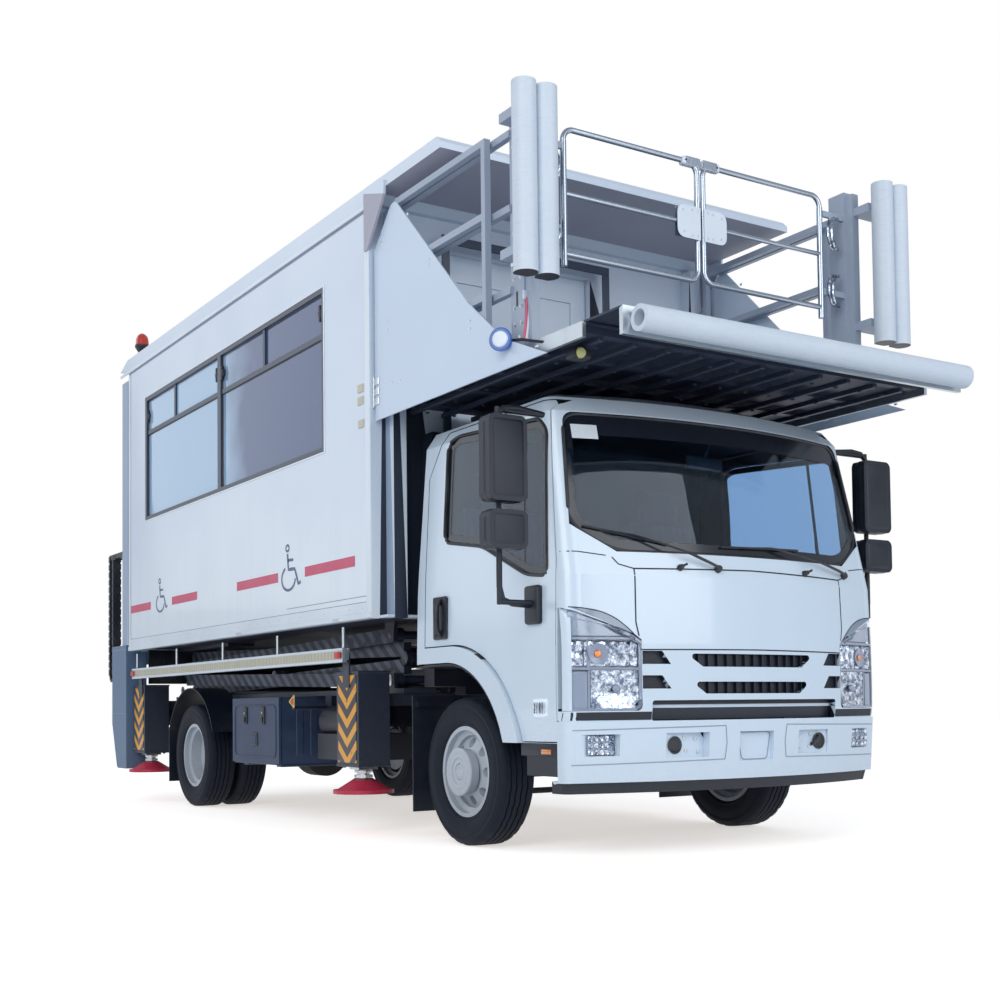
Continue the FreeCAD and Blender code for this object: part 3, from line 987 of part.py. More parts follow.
bumper_tube = cut("bumper_tube", rod("tube_outer", "Y", "bumper_radius",
                                     ("-bumper_half_width", "bumper_half_width"), ("bumper_x", "bumper_z")),
                  rod("tube_bore", "Y", "bumper_bore", ("-bumper_half_width - 1", "bumper_half_width + 1"),
                      ("bumper_x", "bumper_z")))
sub_part("bridge_fenders", group("rubber_set", bumper_tube, both_sides("fender_pairs", fenders)))

BENDS = {  # a bend's first and second direction in the gate's plane, and its axis
    "low": ((0, -1, 0), (0, 0, -1), (1, 0, 0)),
    "high_hinge": ((0, 1, 0), (0, 0, 1), (1, 0, 0)),
    "high_free": ((0, 0, 1), (0, -1, 0), (1, 0, 0)),
}


def bend(name, way, at):
    """A quarter turn of the gate's tube."""
    thing = doc.addObject("Part::Torus", name)
    bind(thing, Radius1="gate_bend", Radius2="gate_tube")
    thing.Angle3 = 90
    first, second, axis = (FreeCAD.Vector(*v) for v in BENDS[way])
    thing.Placement.Rotation = FreeCAD.Rotation(first, second, axis, "XYZ")
    return move(thing, "gate_x", *at)


free_y = ("gate_gap", "gate_gap + gate_bend")
hinge_y = ("gate_hinge_y - gate_bend", "gate_hinge_y")
gate = fuse(
    "gate",
    rod("gate_hinge_tube", "Z", "gate_tube + 2", ("gate_low - gate_foot", "gate_top - gate_bend"),
        ("gate_x", "gate_hinge_y")),
    bend("gate_hinge_bend", "high_hinge", (hinge_y[0], "gate_top - gate_bend")),
    rod("gate_high_bar", "Y", "gate_tube", (free_y[1], hinge_y[0]), ("gate_x", "gate_top")),
    bend("gate_high_bend", "high_free", (free_y[1], "gate_top - gate_bend")),
    rod("gate_free_tube", "Z", "gate_tube", ("gate_low + gate_bend", "gate_top - gate_bend"),
        ("gate_x", "gate_gap")),
    bend("gate_low_bend", "low", (free_y[1], "gate_low + gate_bend")),
    rod("gate_low_bar", "Y", "gate_tube", (free_y[1], "gate_hinge_y"), ("gate_x", "gate_low")),
    rod("gate_mid_bar", "Y", "gate_tube - 2", ("gate_gap", "gate_hinge_y"), ("gate_x", "gate_mid")),
    block("gate_plate", ("gate_x - gate_tube", "gate_x - gate_tube + 6"),
          ("gate_gap / 2", "gate_gap / 2 + gate_plate"),
          ("gate_mid - gate_plate / 2", "gate_mid + gate_plate / 2")),
    block("gate_latch", ("gate_x - latch_depth / 2", "gate_x + latch_depth / 2"),
          ("gate_gap / 2", "gate_gap / 2 + gate_plate_reach"),
          ("gate_top - latch_depth / 2", "gate_top + latch_depth / 2")))
sub_part("gate_left", gate)
sub_part("gate_right", mirrored("gate_mirror", gate))

# ---------------------------------------------------------------- rear lift platform

column = block("column", ("tail_rear", "box_rear"), ("tail_inner", "tail_outer"), ("cover_top", "tail_top"))
cover_outline = [("cover_front", "cover_top"), ("cover_front", "cover_bottom"),
                 ("cover_front - cover_foot", "cover_bottom"), ("cover_rear", "cover_taper"),
                 ("cover_rear", "cover_top")]
cover = plate("cover", "side", cover_outline, ("cover_inner", "cover_outer"), {"40": (2, 3)})
cover_stay = block("cover_stay", ("cover_front", "box_rear + 20"), ("cover_inner", "cover_outer"),
                   ("cover_top - 40", "wall_bottom + wall"))
columns = both_sides("columns", fuse("tail_column", column, cover))
link_half, run = "chain_link / 2", "chain_spread / 2"
chain_y_span = ("-chain_y - chain_width / 2", "-chain_y + chain_width / 2")
runs = [block(f"chain_run{i}", (f"chain_x + {sign} * {run} - {link_half}",
                                f"chain_x + {sign} * {run} + {link_half}"),
              chain_y_span, ("chain_bottom + chain_spread / 2",
                             "chain_top")) for i, sign in enumerate(("-1", "1"))]
bend = cut("chain_bend", rod("bend_outer", "Y", f"{run} + {link_half}", chain_y_span,
                             ("chain_x", "chain_bottom + chain_spread / 2")),
           rod("bend_inner", "Y", f"{run} - {link_half}", chain_y_span,
               ("chain_x", "chain_bottom + chain_spread / 2")),
           block("bend_top", ("chain_x - chain_spread", "chain_x + chain_spread"), chain_y_span,
                 ("chain_bottom + chain_spread / 2", "chain_top")))
chain_arm = block("chain_arm", (f"chain_x - {run}", "tail_rear"), chain_y_span,
                  ("chain_top - 40", "chain_top"))
sub_part("tail_columns", group("tail_set", columns))
LINKS = 16
link_pitch = f"(chain_top - chain_bottom - chain_spread / 2) / {LINKS}"
link_foot = "chain_bottom + chain_spread / 2"
links = [block(f"link{i}_{j}", (f"chain_x + {sign} * {run} - {link_half} - link_lip",
                                f"chain_x + {sign} * {run} + {link_half} + link_lip"),
               (f"{chain_y_span[0]} - link_lip", f"{chain_y_span[1]} + link_lip"),
               (f"{link_foot} + {link_pitch} * {i}", f"{link_foot} + {link_pitch} * {i + 1} - link_gap"))
         for i in range(LINKS) for j, sign in enumerate(("-1", "1"))]
sub_part("energy_chain", fuse("chain", *runs, bend, chain_arm, *links))

carriage_bar = block("carriage_bar", ("carriage_rear", "carriage_front"),
                     ("-cover_inner + gap", "cover_inner - gap"),
                     ("carriage_bottom", "carriage_top"))
hinge_lug = block("hinge_lug", ("ramp_hinge_x - ramp_knuckle", "carriage_rear + 4"),
                  ("ramp_half_width - 120", "ramp_half_width - 60"),
                  ("ramp_hinge_z - ramp_knuckle", "carriage_top"))
sub_part("tail_carriage", fuse("carriage", carriage_bar, both_sides("hinge_lugs", hinge_lug)))
ramp_panel = block("ramp_panel", ("ramp_hinge_x - ramp_metal / 2", "ramp_hinge_x + ramp_metal / 2"),
                   ("-ramp_half_width", "ramp_half_width"), ("ramp_hinge_z + 36",
                                                             "ramp_hinge_z + ramp_length"))
ramp_lug = fuse("ramp_lug", rod("ramp_eye", "Y", "ramp_knuckle",
                                ("ramp_half_width - 240", "ramp_half_width - 126"),
                                ("ramp_hinge_x", "ramp_hinge_z")),
                block("ramp_web", ("ramp_hinge_x - ramp_knuckle * 0.8", "ramp_hinge_x + ramp_knuckle * 0.8"),
                      ("ramp_half_width - 240", "ramp_half_width - 126"), ("ramp_hinge_z",
                                                                           "ramp_hinge_z + 40")))
sub_part("tail_ramp", fuse("ramp", ramp_panel, both_sides("ramp_lugs", ramp_lug)))

# ---------------------------------------------------------------- cab


def feature(name, shape):
    """A code-made shape in the document."""
    thing = doc.addObject("Part::Feature", name)
    thing.Shape = shape
    return thing


def cab_outline(height, rear, side, centre, half, corner, inset):
    """The cab's plan outline at one height, drawn in by an inset."""
    rear, side, centre, half = rear + inset, side - inset, centre - inset, half - inset
    blend = corner * size("corner_blend")
    at = [FreeCAD.Vector(x, y, height) for x, y in (
        (rear, half), (side - corner, half), (side - blend, half - blend), (side, half - corner), (centre, 0),
        (side, corner - half), (side - blend, blend - half), (side - corner, -half), (rear, -half))]
    return Part.Wire([
        Part.LineSegment(at[0], at[1]).toShape(), Part.Arc(at[1], at[2], at[3]).toShape(),
        Part.Arc(at[3], at[4], at[5]).toShape(), Part.Arc(at[5], at[6], at[7]).toShape(),
        Part.LineSegment(at[7], at[8]).toShape(), Part.LineSegment(at[8], at[0]).toShape()])


def lofted(sections, inset):
    return Part.makeLoft([cab_outline(*section, inset) for section in sections], True, True)


LEVELS = ("skirt", "sill", "nose", "brow", "cowl", "header", "crown", "roof")


def cab_sections(inset):
    """The cab's levels; the roof's own level comes down by the inset."""
    found = []
    for level in LEVELS:
        height = size(f"{level}_z") - (inset if level == "roof" else 0)
        rear = size("roof_rear_x" if level == "roof" else f"{level}_rear")
        found.append([height, rear, *[size(f"{level}_{part}") for part in ("side", "centre", "half",
                                                                           "corner")]])
    return found


def cab_skin(name, inset):
    return feature(name, lofted(cab_sections(inset), inset))


wide = ("-cab_half_width * 2", "cab_half_width * 2")
one_side = ("0", "cab_half_width * 2")
outer_skin = cab_skin("outer_skin", 0)
well = block("well_space", ("well_rear", "cab_half_width * 2"), ("tunnel_half", "cab_half_width"),
             ("well_floor", "cab_floor + 1"))
cabin_space = common("cabin_space", cab_skin("inner_skin", size("cab_wall")),
                     fuse("cabin_zone", block("cabin_above", ("-cab_half_width", "cab_half_width * 2"), wide,
                                              ("cab_floor", "roof_z")), both_sides("wells", well)))
arch_tool = fuse("arch_tool", rod("arch_round", "Y", "arch_radius", wide, ("arch_x", "arch_z")),
                 block("arch_rear", ("cab_rear - 100", "arch_x"), wide, ("0", "arch_top")),
                 block("tunnel", ("cab_rear - 100", "tunnel_front"),
                       ("-tunnel_half + 30", "tunnel_half - 30"),
                       ("0", "tunnel_top")))
bumper_zone = block("bumper_zone", ("bumper_side_x", "cab_half_width * 2"), wide, ("0", "bumper_top + gap"))
cab_blank = cut("cab_blank", outer_skin, cabin_space, arch_tool, bumper_zone)

flare_tool = fuse("flare_tool", rod("flare_round", "Y", "flare_radius", wide, ("flare_x", "flare_z")),
                  block("flare_rear", ("cab_rear - 60", "flare_x"), wide,
                        ("skirt_bottom", "flare_z + flare_radius")))
flare_band = common("flare_band", cut("flare_ring", flare_tool, copied("flare_arch", arch_tool)),
                    block("flare_span", ("cab_rear + 50", "flare_x + flare_radius"),
                          ("cab_half_width - cab_wall", "cab_half_width + flare_depth"),
                          ("skirt_bottom", "flare_z + flare_radius")))


def door_outline(margin):
    return [(f"door_rear - {margin}", f"door_bottom - {margin}"),
            (f"door_front + {margin}", f"door_bottom - {margin}"),
            (f"door_front + {margin}", "door_bend_z"), (f"door_lean_x + {margin}", f"door_head + {margin}"),
            (f"door_crest_x - {margin}", f"door_head + {margin}"), (f"door_rear - {margin}",
                                                                    "door_shoulder_z")]


door_gap = plate("door_gap", "side", door_outline("door_shut"),
                 ("cab_half_width - 330", "cab_half_width * 2"))
door_opening = cut("door_opening", door_gap, copied("flare_keep", flare_tool))
screen_outline = [("screen_half_width * 0.78", "screen_bottom"), ("screen_half_width", "screen_corner"),
                  ("screen_top_half", "header_z - 5"), ("-screen_top_half", "header_z - 5"),
                  ("-screen_half_width", "screen_corner"), ("-screen_half_width * 0.78", "screen_bottom")]
screen_tool = plate("screen_tool", "front", screen_outline, ("screen_rear", "cab_half_width * 2"),
                    {"60": (2, 3)})
front_zone = block("front_zone", ("front_split", "cab_half_width * 2"), wide, ("bumper_top", "cowl_z - 10"))
front_split = cut("front_split", common("front_blank", copied("outer_for_front", outer_skin), front_zone),
                  cab_skin("front_inner", size("front_metal")))
cab_shell = cut("cab_shell_solid", cab_blank, both_sides("door_openings", door_opening), screen_tool,
                cut("front_removed", copied("front_zone_again", front_zone),
                    cab_skin("front_keep", size("front_metal") + size("grille_back") + 1)))
step = fuse("step", block("step_body", ("step_rear", "step_front"), ("step_inner", "step_outer"),
                          ("step_bottom", "step_top")),
            block("step_hanger", ("step_rear + 40", "step_front - 40"), ("step_inner", "step_inner + 30"),
                  ("step_bottom", "door_bottom")))
sub_part("cab_shell", group("cab_set", fuse("cab_with_flares", cab_shell, both_sides("flares", flare_band)),
                            both_sides("steps", step)))

lamp_outline = [("lamp_inner", "lamp_bottom"), ("lamp_outer", "lamp_bottom"),
                ("lamp_outer", "lamp_top_outer"),
                ("lamp_inner + 40", "lamp_top_inner + 30"), ("lamp_inner", "lamp_top_inner")]
lamp_tool = both_sides("lamp_tools", plate("lamp_tool", "front", lamp_outline,
                                           ("front_split - 30", "cab_half_width * 2"), {"24": (0, 3)}))
lamp_blank = cut("lamp_blank", copied("outer_for_lamps", outer_skin),
                 cab_skin("lamp_inner_skin", size("front_metal")))
lamp_lines = cut("lamp_lines", fuse("lamp_line_bars", *[
    block(f"lamp_line_bar{i}", ("front_split - 60", "cab_half_width * 2"), wide,
          (f"{line} - lamp_groove / 2", f"{line} + lamp_groove / 2"))
    for i, line in enumerate(("lamp_line_low", "lamp_line_high"))]), cab_skin("groove_floor",
                                                                              size("lamp_groove")))
sub_part("headlamps", cut("grooved_headlamps", common(
    "headlamps_solid", common("lamp_shell", lamp_blank, copied("lamp_zone", front_zone)),
    copied("lamp_tool_again", lamp_tool)), lamp_lines))


def slot(name, top_z, top_half, low_z, low_half):
    return plate(name, "front", [(f"-{low_half}", low_z), (low_half, low_z), (top_half, top_z),
                                 (f"-{top_half}", top_z)], ("front_split",
                                                            "cab_half_width * 2"), {"14": (0, 1, 2, 3)})


slots = [slot("upper_slot", "grille_top_z", "grille_top_half", "grille_mid_z", "grille_mid_half"),
         slot("lower_slot", "grille_low_z", "grille_low_half", "grille_base_z", "grille_base_half"),
         slot("base_slot", "front_bottom", "base_slot_half", "bumper_top - 1", "base_slot_half")]
corner_slots = both_sides("corner_slots", group("corner_slot_pair", *[
    plate(f"corner_slot{i}", "front", [("side_slot_inner", low), ("side_slot_outer", low),
                                       ("side_slot_outer", f"{low} + slot_depth"),
                                       ("side_slot_inner + slot_taper", f"{low} + slot_depth")],
          ("front_split", "cab_half_width * 2")) for i, low in enumerate(("slot_high_z", "slot_low_z"))]))
backing = cut("grille_backing", common("backing_zone", cab_skin("backing_outer", size("front_metal")), block(
    "backing_block", ("front_split + 40", "cab_half_width * 2"), ("-side_slot_outer - 10",
                                                                  "side_slot_outer + 10"),
    ("front_bottom - 20", "grille_top_z + 40"))), cab_skin("backing_inner",
                                                           size("front_metal") + size("grille_back")))
FINS = 7
fin_blocks = [block(f"fin{i}", ("front_split", "cab_half_width * 2"),
                    (f"fin_pitch * {i} - fin_metal / 2", f"fin_pitch * {i} + fin_metal / 2"),
                    ("grille_base_z", "grille_top_z")) for i in range(-FINS, FINS + 1)]
fins = common("fins", cut("fin_shell", cab_skin("fin_front", size("fin_inset")),
                          cab_skin("fin_back", size("front_metal") + 1)), fuse("fin_set", *fin_blocks))
sub_part("front_panel", fuse("front_panel_set", cut("front_panel_solid", front_split, lamp_tool, *slots,
                                                    corner_slots), backing, fins))

sub_part("windscreen", common("windscreen_solid",
                              cut("screen_shell", cab_skin("screen_outer", size("glass_inset")),
                                                      cab_skin("screen_inner",
                                                               size("glass_inset") + size("glass"))),
                              copied("screen_zone", screen_tool)))

glass_outline = [("side_glass_rear", "side_glass_bottom"), ("side_glass_step_x", "side_glass_mid"),
                 ("side_glass_dip_x", "side_glass_step"), ("side_glass_front", "side_glass_step - 20"),
                 ("side_glass_front - 50", "side_glass_top - 100"), ("side_glass_front - 110",
                                                                     "side_glass_top - 40"),
                 ("side_glass_rear + 90", "side_glass_top + 10"), ("side_glass_rear", "side_glass_top - 20")]
glass_tool = plate("glass_tool", "side", glass_outline, ("cab_half_width - 330", "cab_half_width * 2"))
door_skin = cut("door_skin", copied("outer_for_door", outer_skin), copied("cabin_for_door", cabin_space))
door_zone = cut("door_zone", plate("door_prism", "side", door_outline("0"),
                                   ("door_inner_y", "cab_half_width * 2")),
                rod("flare_clear_round", "Y", "flare_radius + flare_gap", wide, ("flare_x", "flare_z")),
                block("flare_clear_rear", ("cab_rear - 60", "flare_x"), wide,
                      ("skirt_bottom - flare_gap", "flare_z + flare_radius + flare_gap")))
door_low_space = block("door_low_space", ("cab_rear", "cab_half_width * 2"),
                       ("0", "cab_half_width - cab_wall"),
                       ("0", "cab_floor"))
door_panel = cut("door_panel", common("door_blank", door_skin, door_zone), glass_tool,
                 copied("door_arch", arch_tool), door_low_space)
glass_shell = cut("glass_shell", cab_skin("glass_outer", size("glass_inset")),
                  cab_skin("glass_inner", size("glass_inset") + size("glass")))
door_glass = common("door_glass", glass_shell, copied("glass_tool_again", glass_tool))
mirror_arms = [
    rod("mirror_mast", "Z", "mirror_tube", ("mirror_foot_z - mirror_tube", "mirror_head_z + mirror_tube"),
        ("mirror_x", "mirror_y")),
    rod("mirror_foot", "Y", "mirror_tube", ("cab_half_width - 20", "mirror_y"),
        ("mirror_x", "mirror_foot_z")),
    rod("mirror_head", "Y", "mirror_tube", ("mirror_head_y", "mirror_y"), ("mirror_x", "mirror_head_z"))]
mirror_y_span = ("mirror_y - mirror_width / 2", "mirror_y + mirror_width / 2")
mirrors = [plate(f"mirror{i}", "front", [(mirror_y_span[0], low), (mirror_y_span[1], low),
                                         (mirror_y_span[1], high),
                                         (mirror_y_span[0], high)], ("mirror_x", "mirror_x + mirror_depth"),
                 {"mirror_round": (0, 1, 2, 3)})
           for i, (low, high) in enumerate((("mirror_bottom", "mirror_top"), ("wide_bottom", "wide_top")))]
handle = block("door_handle", ("handle_rear", "handle_front"),
               ("cab_half_width - 10", "cab_half_width + handle_depth"),
               ("handle_bottom", "handle_top"))
left_door = fuse("left_door", door_panel, door_glass, *mirror_arms, *mirrors, handle)
sub_part("cab_door_left", left_door)
sub_part("cab_door_right", mirrored("right_door", left_door))


def bumper_loft(name, rear, inset, low, high):
    """The bumper's outline between two heights, tucked in at its foot."""
    tuck = size("bumper_tuck")
    sections = [[low, size(rear) - inset, size("bumper_corner_x") - tuck, size("bumper_centre_x") - tuck,
                 size("sill_half"), size("bumper_round")],
                [high, size(rear) - inset, size("bumper_corner_x"), size("bumper_centre_x"),
                 size("sill_half"), size("bumper_round")]]
    return feature(name, lofted(sections, inset))


bumper_levels = (size("bumper_bottom"), size("bumper_top"))
bumper_blank = cut("bumper_blank", bumper_loft("bumper_outer", "bumper_side_x", 0, *bumper_levels),
                   block("bumper_hollow", ("0", "front_split + 20"),
                         ("-bumper_hollow_half", "bumper_hollow_half"),
                         ("0", "bumper_top * 2")))
bumper_inner = bumper_loft("bumper_inner", "spoiler_rear", size("bumper_metal"), *bumper_levels)
recess_tools = []
for i, (low_y, high_y, low_z, high_z, face) in enumerate((
        ("fog_inner", "fog_outer", "fog_bottom", "fog_top", "fog_face_x"),
        ("tow_inner", "tow_outer", "tow_bottom", "tow_top", "tow_face_x"))):
    recess_tools.append(both_sides(f"recess_pair{i}", block(
        f"recess{i}", (f"{face} - recess_depth", "cab_half_width * 2"), (low_y, high_y), (low_z, high_z))))
recess_tools.append(block("plate_recess", ("bumper_centre_x - recess_depth - 8", "cab_half_width * 2"),
                          ("-plate_half", "plate_half"), ("plate_bottom", "plate_top")))
spoiler_top = size("bumper_bottom") + size("spoiler_lap")
spoiler_levels = (size("spoiler_bottom"), spoiler_top)
spoiler = cut("spoiler", bumper_loft("spoiler_outer", "spoiler_rear", size("spoiler_inset"), *spoiler_levels),
              bumper_loft("spoiler_inner", "spoiler_rear", size("spoiler_inset") + size("spoiler_metal"),
                          *spoiler_levels),
              block("spoiler_hollow", ("0", "bumper_corner_x - 160"),
                    ("-bumper_hollow_half", "bumper_hollow_half"),
                    ("0", "bumper_top * 2")))
bumper_shell = cut("bumper_shell", bumper_blank, bumper_inner, *recess_tools)
bumper_mount = block("bumper_mount", ("frame_front", "bumper_centre_x - bumper_metal - 24"),
                     ("rail_half_width - rail_width", "rail_half_width"), ("bumper_top - 120",
                                                                           "bumper_top - 20"))
sub_part("front_bumper", fuse("bumper_set", bumper_shell, spoiler, both_sides("bumper_mounts", bumper_mount)))

seat_side = [("seat_rear + 60", "cab_floor"), ("seat_rear + seat_depth", "cab_floor"),
             ("seat_rear + seat_depth + 30", "seat_base + seat_pad - 20"),
             ("seat_rear + seat_back_metal + 30", "seat_base + seat_pad"),
             ("seat_rear + seat_back_metal", "seat_base + seat_back"), ("seat_rear + 10",
                                                                        "seat_base + seat_back"),
             ("seat_rear + 30", "seat_base")]
seat = fuse("seat", plate("seat_body", "side", seat_side,
                          ("seat_y - seat_width / 2", "seat_y + seat_width / 2")),
            block("head_rest", ("seat_rear + 20", "seat_rear + 90"),
                  ("seat_y - head_width / 2", "seat_y + head_width / 2"),
                  ("seat_base + seat_back - 10", "seat_base + seat_back + head_height")))
dash = common("dashboard", cab_skin("dash_skin", size("cab_wall")), block(
    "dash_zone", ("dash_rear", "cab_half_width * 2"), ("-door_inner_y + 20", "door_inner_y - 20"),
    ("dash_bottom", "dash_top")))
ring = doc.addObject("Part::Torus", "steering_ring")
bind(ring, Radius1="wheel_ring", Radius2="wheel_tube")
hub = rod("steering_hub", "Z", "wheel_tube * 2.5", ("-wheel_tube * 2", "wheel_tube"), ("0", "0"))
spokes = [block("spoke_across", ("-wheel_tube", "wheel_tube"), ("-wheel_ring", "wheel_ring"),
                ("-wheel_tube / 2", "wheel_tube / 2"))]
column_rod = rod("steering_column", "Z", "wheel_tube * 1.6", ("-column_length", "0"), ("0", "0"))
steering = group("steering", fuse("steering_solid", ring, hub, *spokes, column_rod))
steering.Placement.Rotation = FreeCAD.Rotation(FreeCAD.Vector(0, 1, 0), -(90 - size("wheel_tilt")))
move(steering, "wheel_x", "wheel_y", "wheel_z")
sub_part("cab_interior", group("interior_set", both_sides("seats", seat),
                               fuse("dash_and_wheel", dash, steering)))

# ---------------------------------------------------------------- mudguards

guard_centre = ("-wheelbase", "axle_z")
guard_y_span = ("guard_arch_inner", "guard_arch_outer")
arch_sheet = cut("arch_sheet", rod("arch_outer", "Y", "guard_arch_radius", guard_y_span, guard_centre),
                 rod("arch_inner", "Y", "guard_arch_radius - guard_arch_metal", ("0", "guard_arch_outer * 2"),
                     guard_centre),
                 block("arch_below", ("-wheelbase - tyre_radius * 2", "-wheelbase + tyre_radius * 2"),
                       ("0", "guard_arch_outer * 2"), ("-tyre_radius", "guard_cut_z")))
flap_x = "-wheelbase - sqrt(guard_arch_radius ^ 2 - (guard_cut_z - axle_z) ^ 2)"
guard_flap = block("guard_flap", (flap_x, f"{flap_x} + flap_metal"),
                   guard_y_span, ("guard_flap_bottom", "guard_cut_z + 30"))
guard_stay = block("guard_stay", ("-wheelbase - 20", "-wheelbase + 20"),
                   ("bracket_outer", "guard_arch_inner + 20"),
                   ("rail_top + 4", "axle_z + guard_arch_radius - 2"))
front_flap = block("front_flap", ("flap_rear", "flap_rear + flap_metal"),
                   ("flap_inner", "guard_arch_outer - 60"),
                   ("flap_bottom", "flap_top"))
flap_stay = block("flap_stay", ("flap_rear", "flap_rear + 30"), ("rail_half_width", "guard_arch_outer - 80"),
                  ("flap_top - 60", "flap_top - 30"))
sub_part("mudguards", both_sides("mudguard_sides", group(
    "mudguard_side", fuse("rear_guard", arch_sheet, guard_flap, guard_stay), fuse("front_flap_set",
                                                                                  front_flap, flap_stay))))

# ---------------------------------------------------------------- check and write

doc.recompute()
for thing in doc.Objects:
    if "Invalid" in thing.State or "Error" in thing.State:
        raise SystemExit(f"{thing.Name} failed: {thing.State}")
os.makedirs("parts", exist_ok=True)
for part in sub_parts:
    if part.Shape.isNull() or not part.Shape.isValid():
        raise SystemExit(f"{part.Label} has no valid shape")
    part.Shape.exportStep(f"parts/{part.Label}.step")
print(f"{len(sub_parts)} sub-parts written")
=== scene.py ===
"""An ambulift: a white light lorry, a passenger box on a scissor lift, a boarding platform over the cab.

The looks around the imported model. Everything is in metres, +X forward, +Y left, +Z up, and the
ground is at z 0.
"""
import math

import bmesh
import bpy
from mathutils import Matrix, Vector
from mathutils.bvhtree import BVHTree


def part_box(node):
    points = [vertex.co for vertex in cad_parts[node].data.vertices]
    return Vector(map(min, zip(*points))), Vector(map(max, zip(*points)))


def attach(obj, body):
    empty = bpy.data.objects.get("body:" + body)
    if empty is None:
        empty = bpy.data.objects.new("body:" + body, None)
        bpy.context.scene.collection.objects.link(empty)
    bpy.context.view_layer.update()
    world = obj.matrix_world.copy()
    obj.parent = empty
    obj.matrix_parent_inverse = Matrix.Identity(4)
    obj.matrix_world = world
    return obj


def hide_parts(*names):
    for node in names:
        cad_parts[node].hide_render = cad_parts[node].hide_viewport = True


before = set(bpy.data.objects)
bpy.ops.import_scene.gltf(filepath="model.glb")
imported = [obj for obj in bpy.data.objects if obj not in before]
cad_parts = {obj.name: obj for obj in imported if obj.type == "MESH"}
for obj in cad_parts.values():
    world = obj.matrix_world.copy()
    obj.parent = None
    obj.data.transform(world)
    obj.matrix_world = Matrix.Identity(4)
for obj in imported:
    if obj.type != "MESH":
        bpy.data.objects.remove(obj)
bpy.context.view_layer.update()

# ---------------------------------------- ground, daylight and camera
# The machine stands on a pale, very slightly mottled floor under an overcast sky.
# Everything behind it is the same pale tone, which metal and glass also show.


class Signal:
    """A shader socket that Python's operators can work on."""

    def __init__(self, paint, socket):
        self.paint, self.socket = paint, socket

    def maths(self, operation, first, second=None):
        values = {0: first} if second is None else {0: first, 1: second}
        return self.paint.node("ShaderNodeMath", {"operation": operation}, values)

    def __add__(self, other):
        return self.maths("ADD", self, other)

    def __sub__(self, other):
        return self.maths("SUBTRACT", self, other)

    def __rsub__(self, other):
        return self.maths("SUBTRACT", other, self)

    def __mul__(self, other):
        return self.maths("MULTIPLY", self, other)

    def __truediv__(self, other):
        return self.maths("DIVIDE", self, other)

    def __gt__(self, other):
        return self.maths("GREATER_THAN", self, other)

    def __lt__(self, other):
        return self.maths("LESS_THAN", self, other)

    def __mod__(self, other):
        return self.maths("FLOORED_MODULO", self, other)

    def __abs__(self):
        return self.maths("ABSOLUTE", self)

    __radd__, __rmul__ = __add__, __mul__

    def most(self, other):
        return self.maths("MAXIMUM", self, other)

    def least(self, other):
        return self.maths("MINIMUM", self, other)

    def clamped(self):
        return self.paint.node("ShaderNodeClamp", {}, {0: self})


class Paint:
    """One material while it is mixed; `node` adds any node to it."""

    def __init__(self, name, **surface):
        self.material = bpy.data.materials.new(name)
        self.material.use_nodes = True
        self.tree = self.material.node_tree
        self.shader = self.tree.nodes["Principled BSDF"]
        self.put(self.shader, {word.replace("_", " "): value for word, value in surface.items()})

    def put(self, target, values):
        for key, value in values.items():
            socket = target.inputs[key]
            if isinstance(value, Signal):
                self.tree.links.new(value.socket, socket)
            elif isinstance(value, (tuple, list)) and len(value) == 3 and socket.type == "RGBA":
                socket.default_value = (*value, 1)
            else:
                socket.default_value = value

    def node(self, kind, settings, values, output=0):
        made = self.tree.nodes.new(kind)
        for key, value in settings.items():
            setattr(made, key, value)
        self.put(made, values)
        return Signal(self, made.outputs[output])

    def place(self):
        """The piece's own coordinates, which are the whole machine's at rest."""
        return self.node("ShaderNodeTexCoord", {}, {}, "Object")

    def axes(self):
        source = self.place()
        return [self.node("ShaderNodeSeparateXYZ", {}, {0: source}, i) for i in range(3)]

    def noise(self, scale, detail=3.0, rough=0.55, vector=None):
        return self.node("ShaderNodeTexNoise", {}, {"Vector": vector or self.place(), "Scale": scale,
                                                    "Detail": detail, "Roughness": rough})

    def blend(self, mask, dark, light):
        """A colour that runs from the first to the second with a mask."""
        return self.node("ShaderNodeMix", {"data_type": "RGBA"}, {0: mask, 6: dark, 7: light}, 2)

    def stretched(self, factors):
        return self.node("ShaderNodeVectorMath", {"operation": "MULTIPLY"}, {0: self.place(), 1: factors})

    def bumped(self, height, strength, distance):
        self.put(self.shader, {"Normal": self.node("ShaderNodeBump", {}, {
            "Strength": strength, "Distance": distance, "Height": height})})

    def finish(self, **surface):
        self.put(self.shader, {word.replace("_", " "): value for word, value in surface.items()})
        return self.material


FLOOR_TONE = (0.93, 0.935, 0.94)
FLOOR_REACH = 60.0
floor_mesh = bpy.data.meshes.new("floor")
floor_mesh.from_pydata([(-FLOOR_REACH, -FLOOR_REACH, 0), (FLOOR_REACH, -FLOOR_REACH, 0),
                        (FLOOR_REACH, FLOOR_REACH, 0), (-FLOOR_REACH, FLOOR_REACH, 0)], [], [(0, 1, 2, 3)])
floor = bpy.data.objects.new("floor", floor_mesh)
bpy.context.collection.objects.link(floor)
paint = Paint("pale_floor", Roughness=0.9, Specular_IOR_Level=0.1)
FLOOR_DEPTH = (0.80, 0.82, 0.85)
FLOOR_GLOW = (0.60, 0.57, 0.54)
seen = paint.node("ShaderNodeLightPath", {}, {}, "Is Camera Ray")
mirrored = paint.node("ShaderNodeLightPath", {}, {}, "Is Glossy Ray")
floor_mesh.materials.append(paint.finish(
    Base_Color=paint.blend(seen, FLOOR_DEPTH, FLOOR_TONE), Emission_Strength=1.0,
    Emission_Color=paint.blend(seen.most(mirrored), (0.0, 0.0, 0.0), FLOOR_GLOW)))

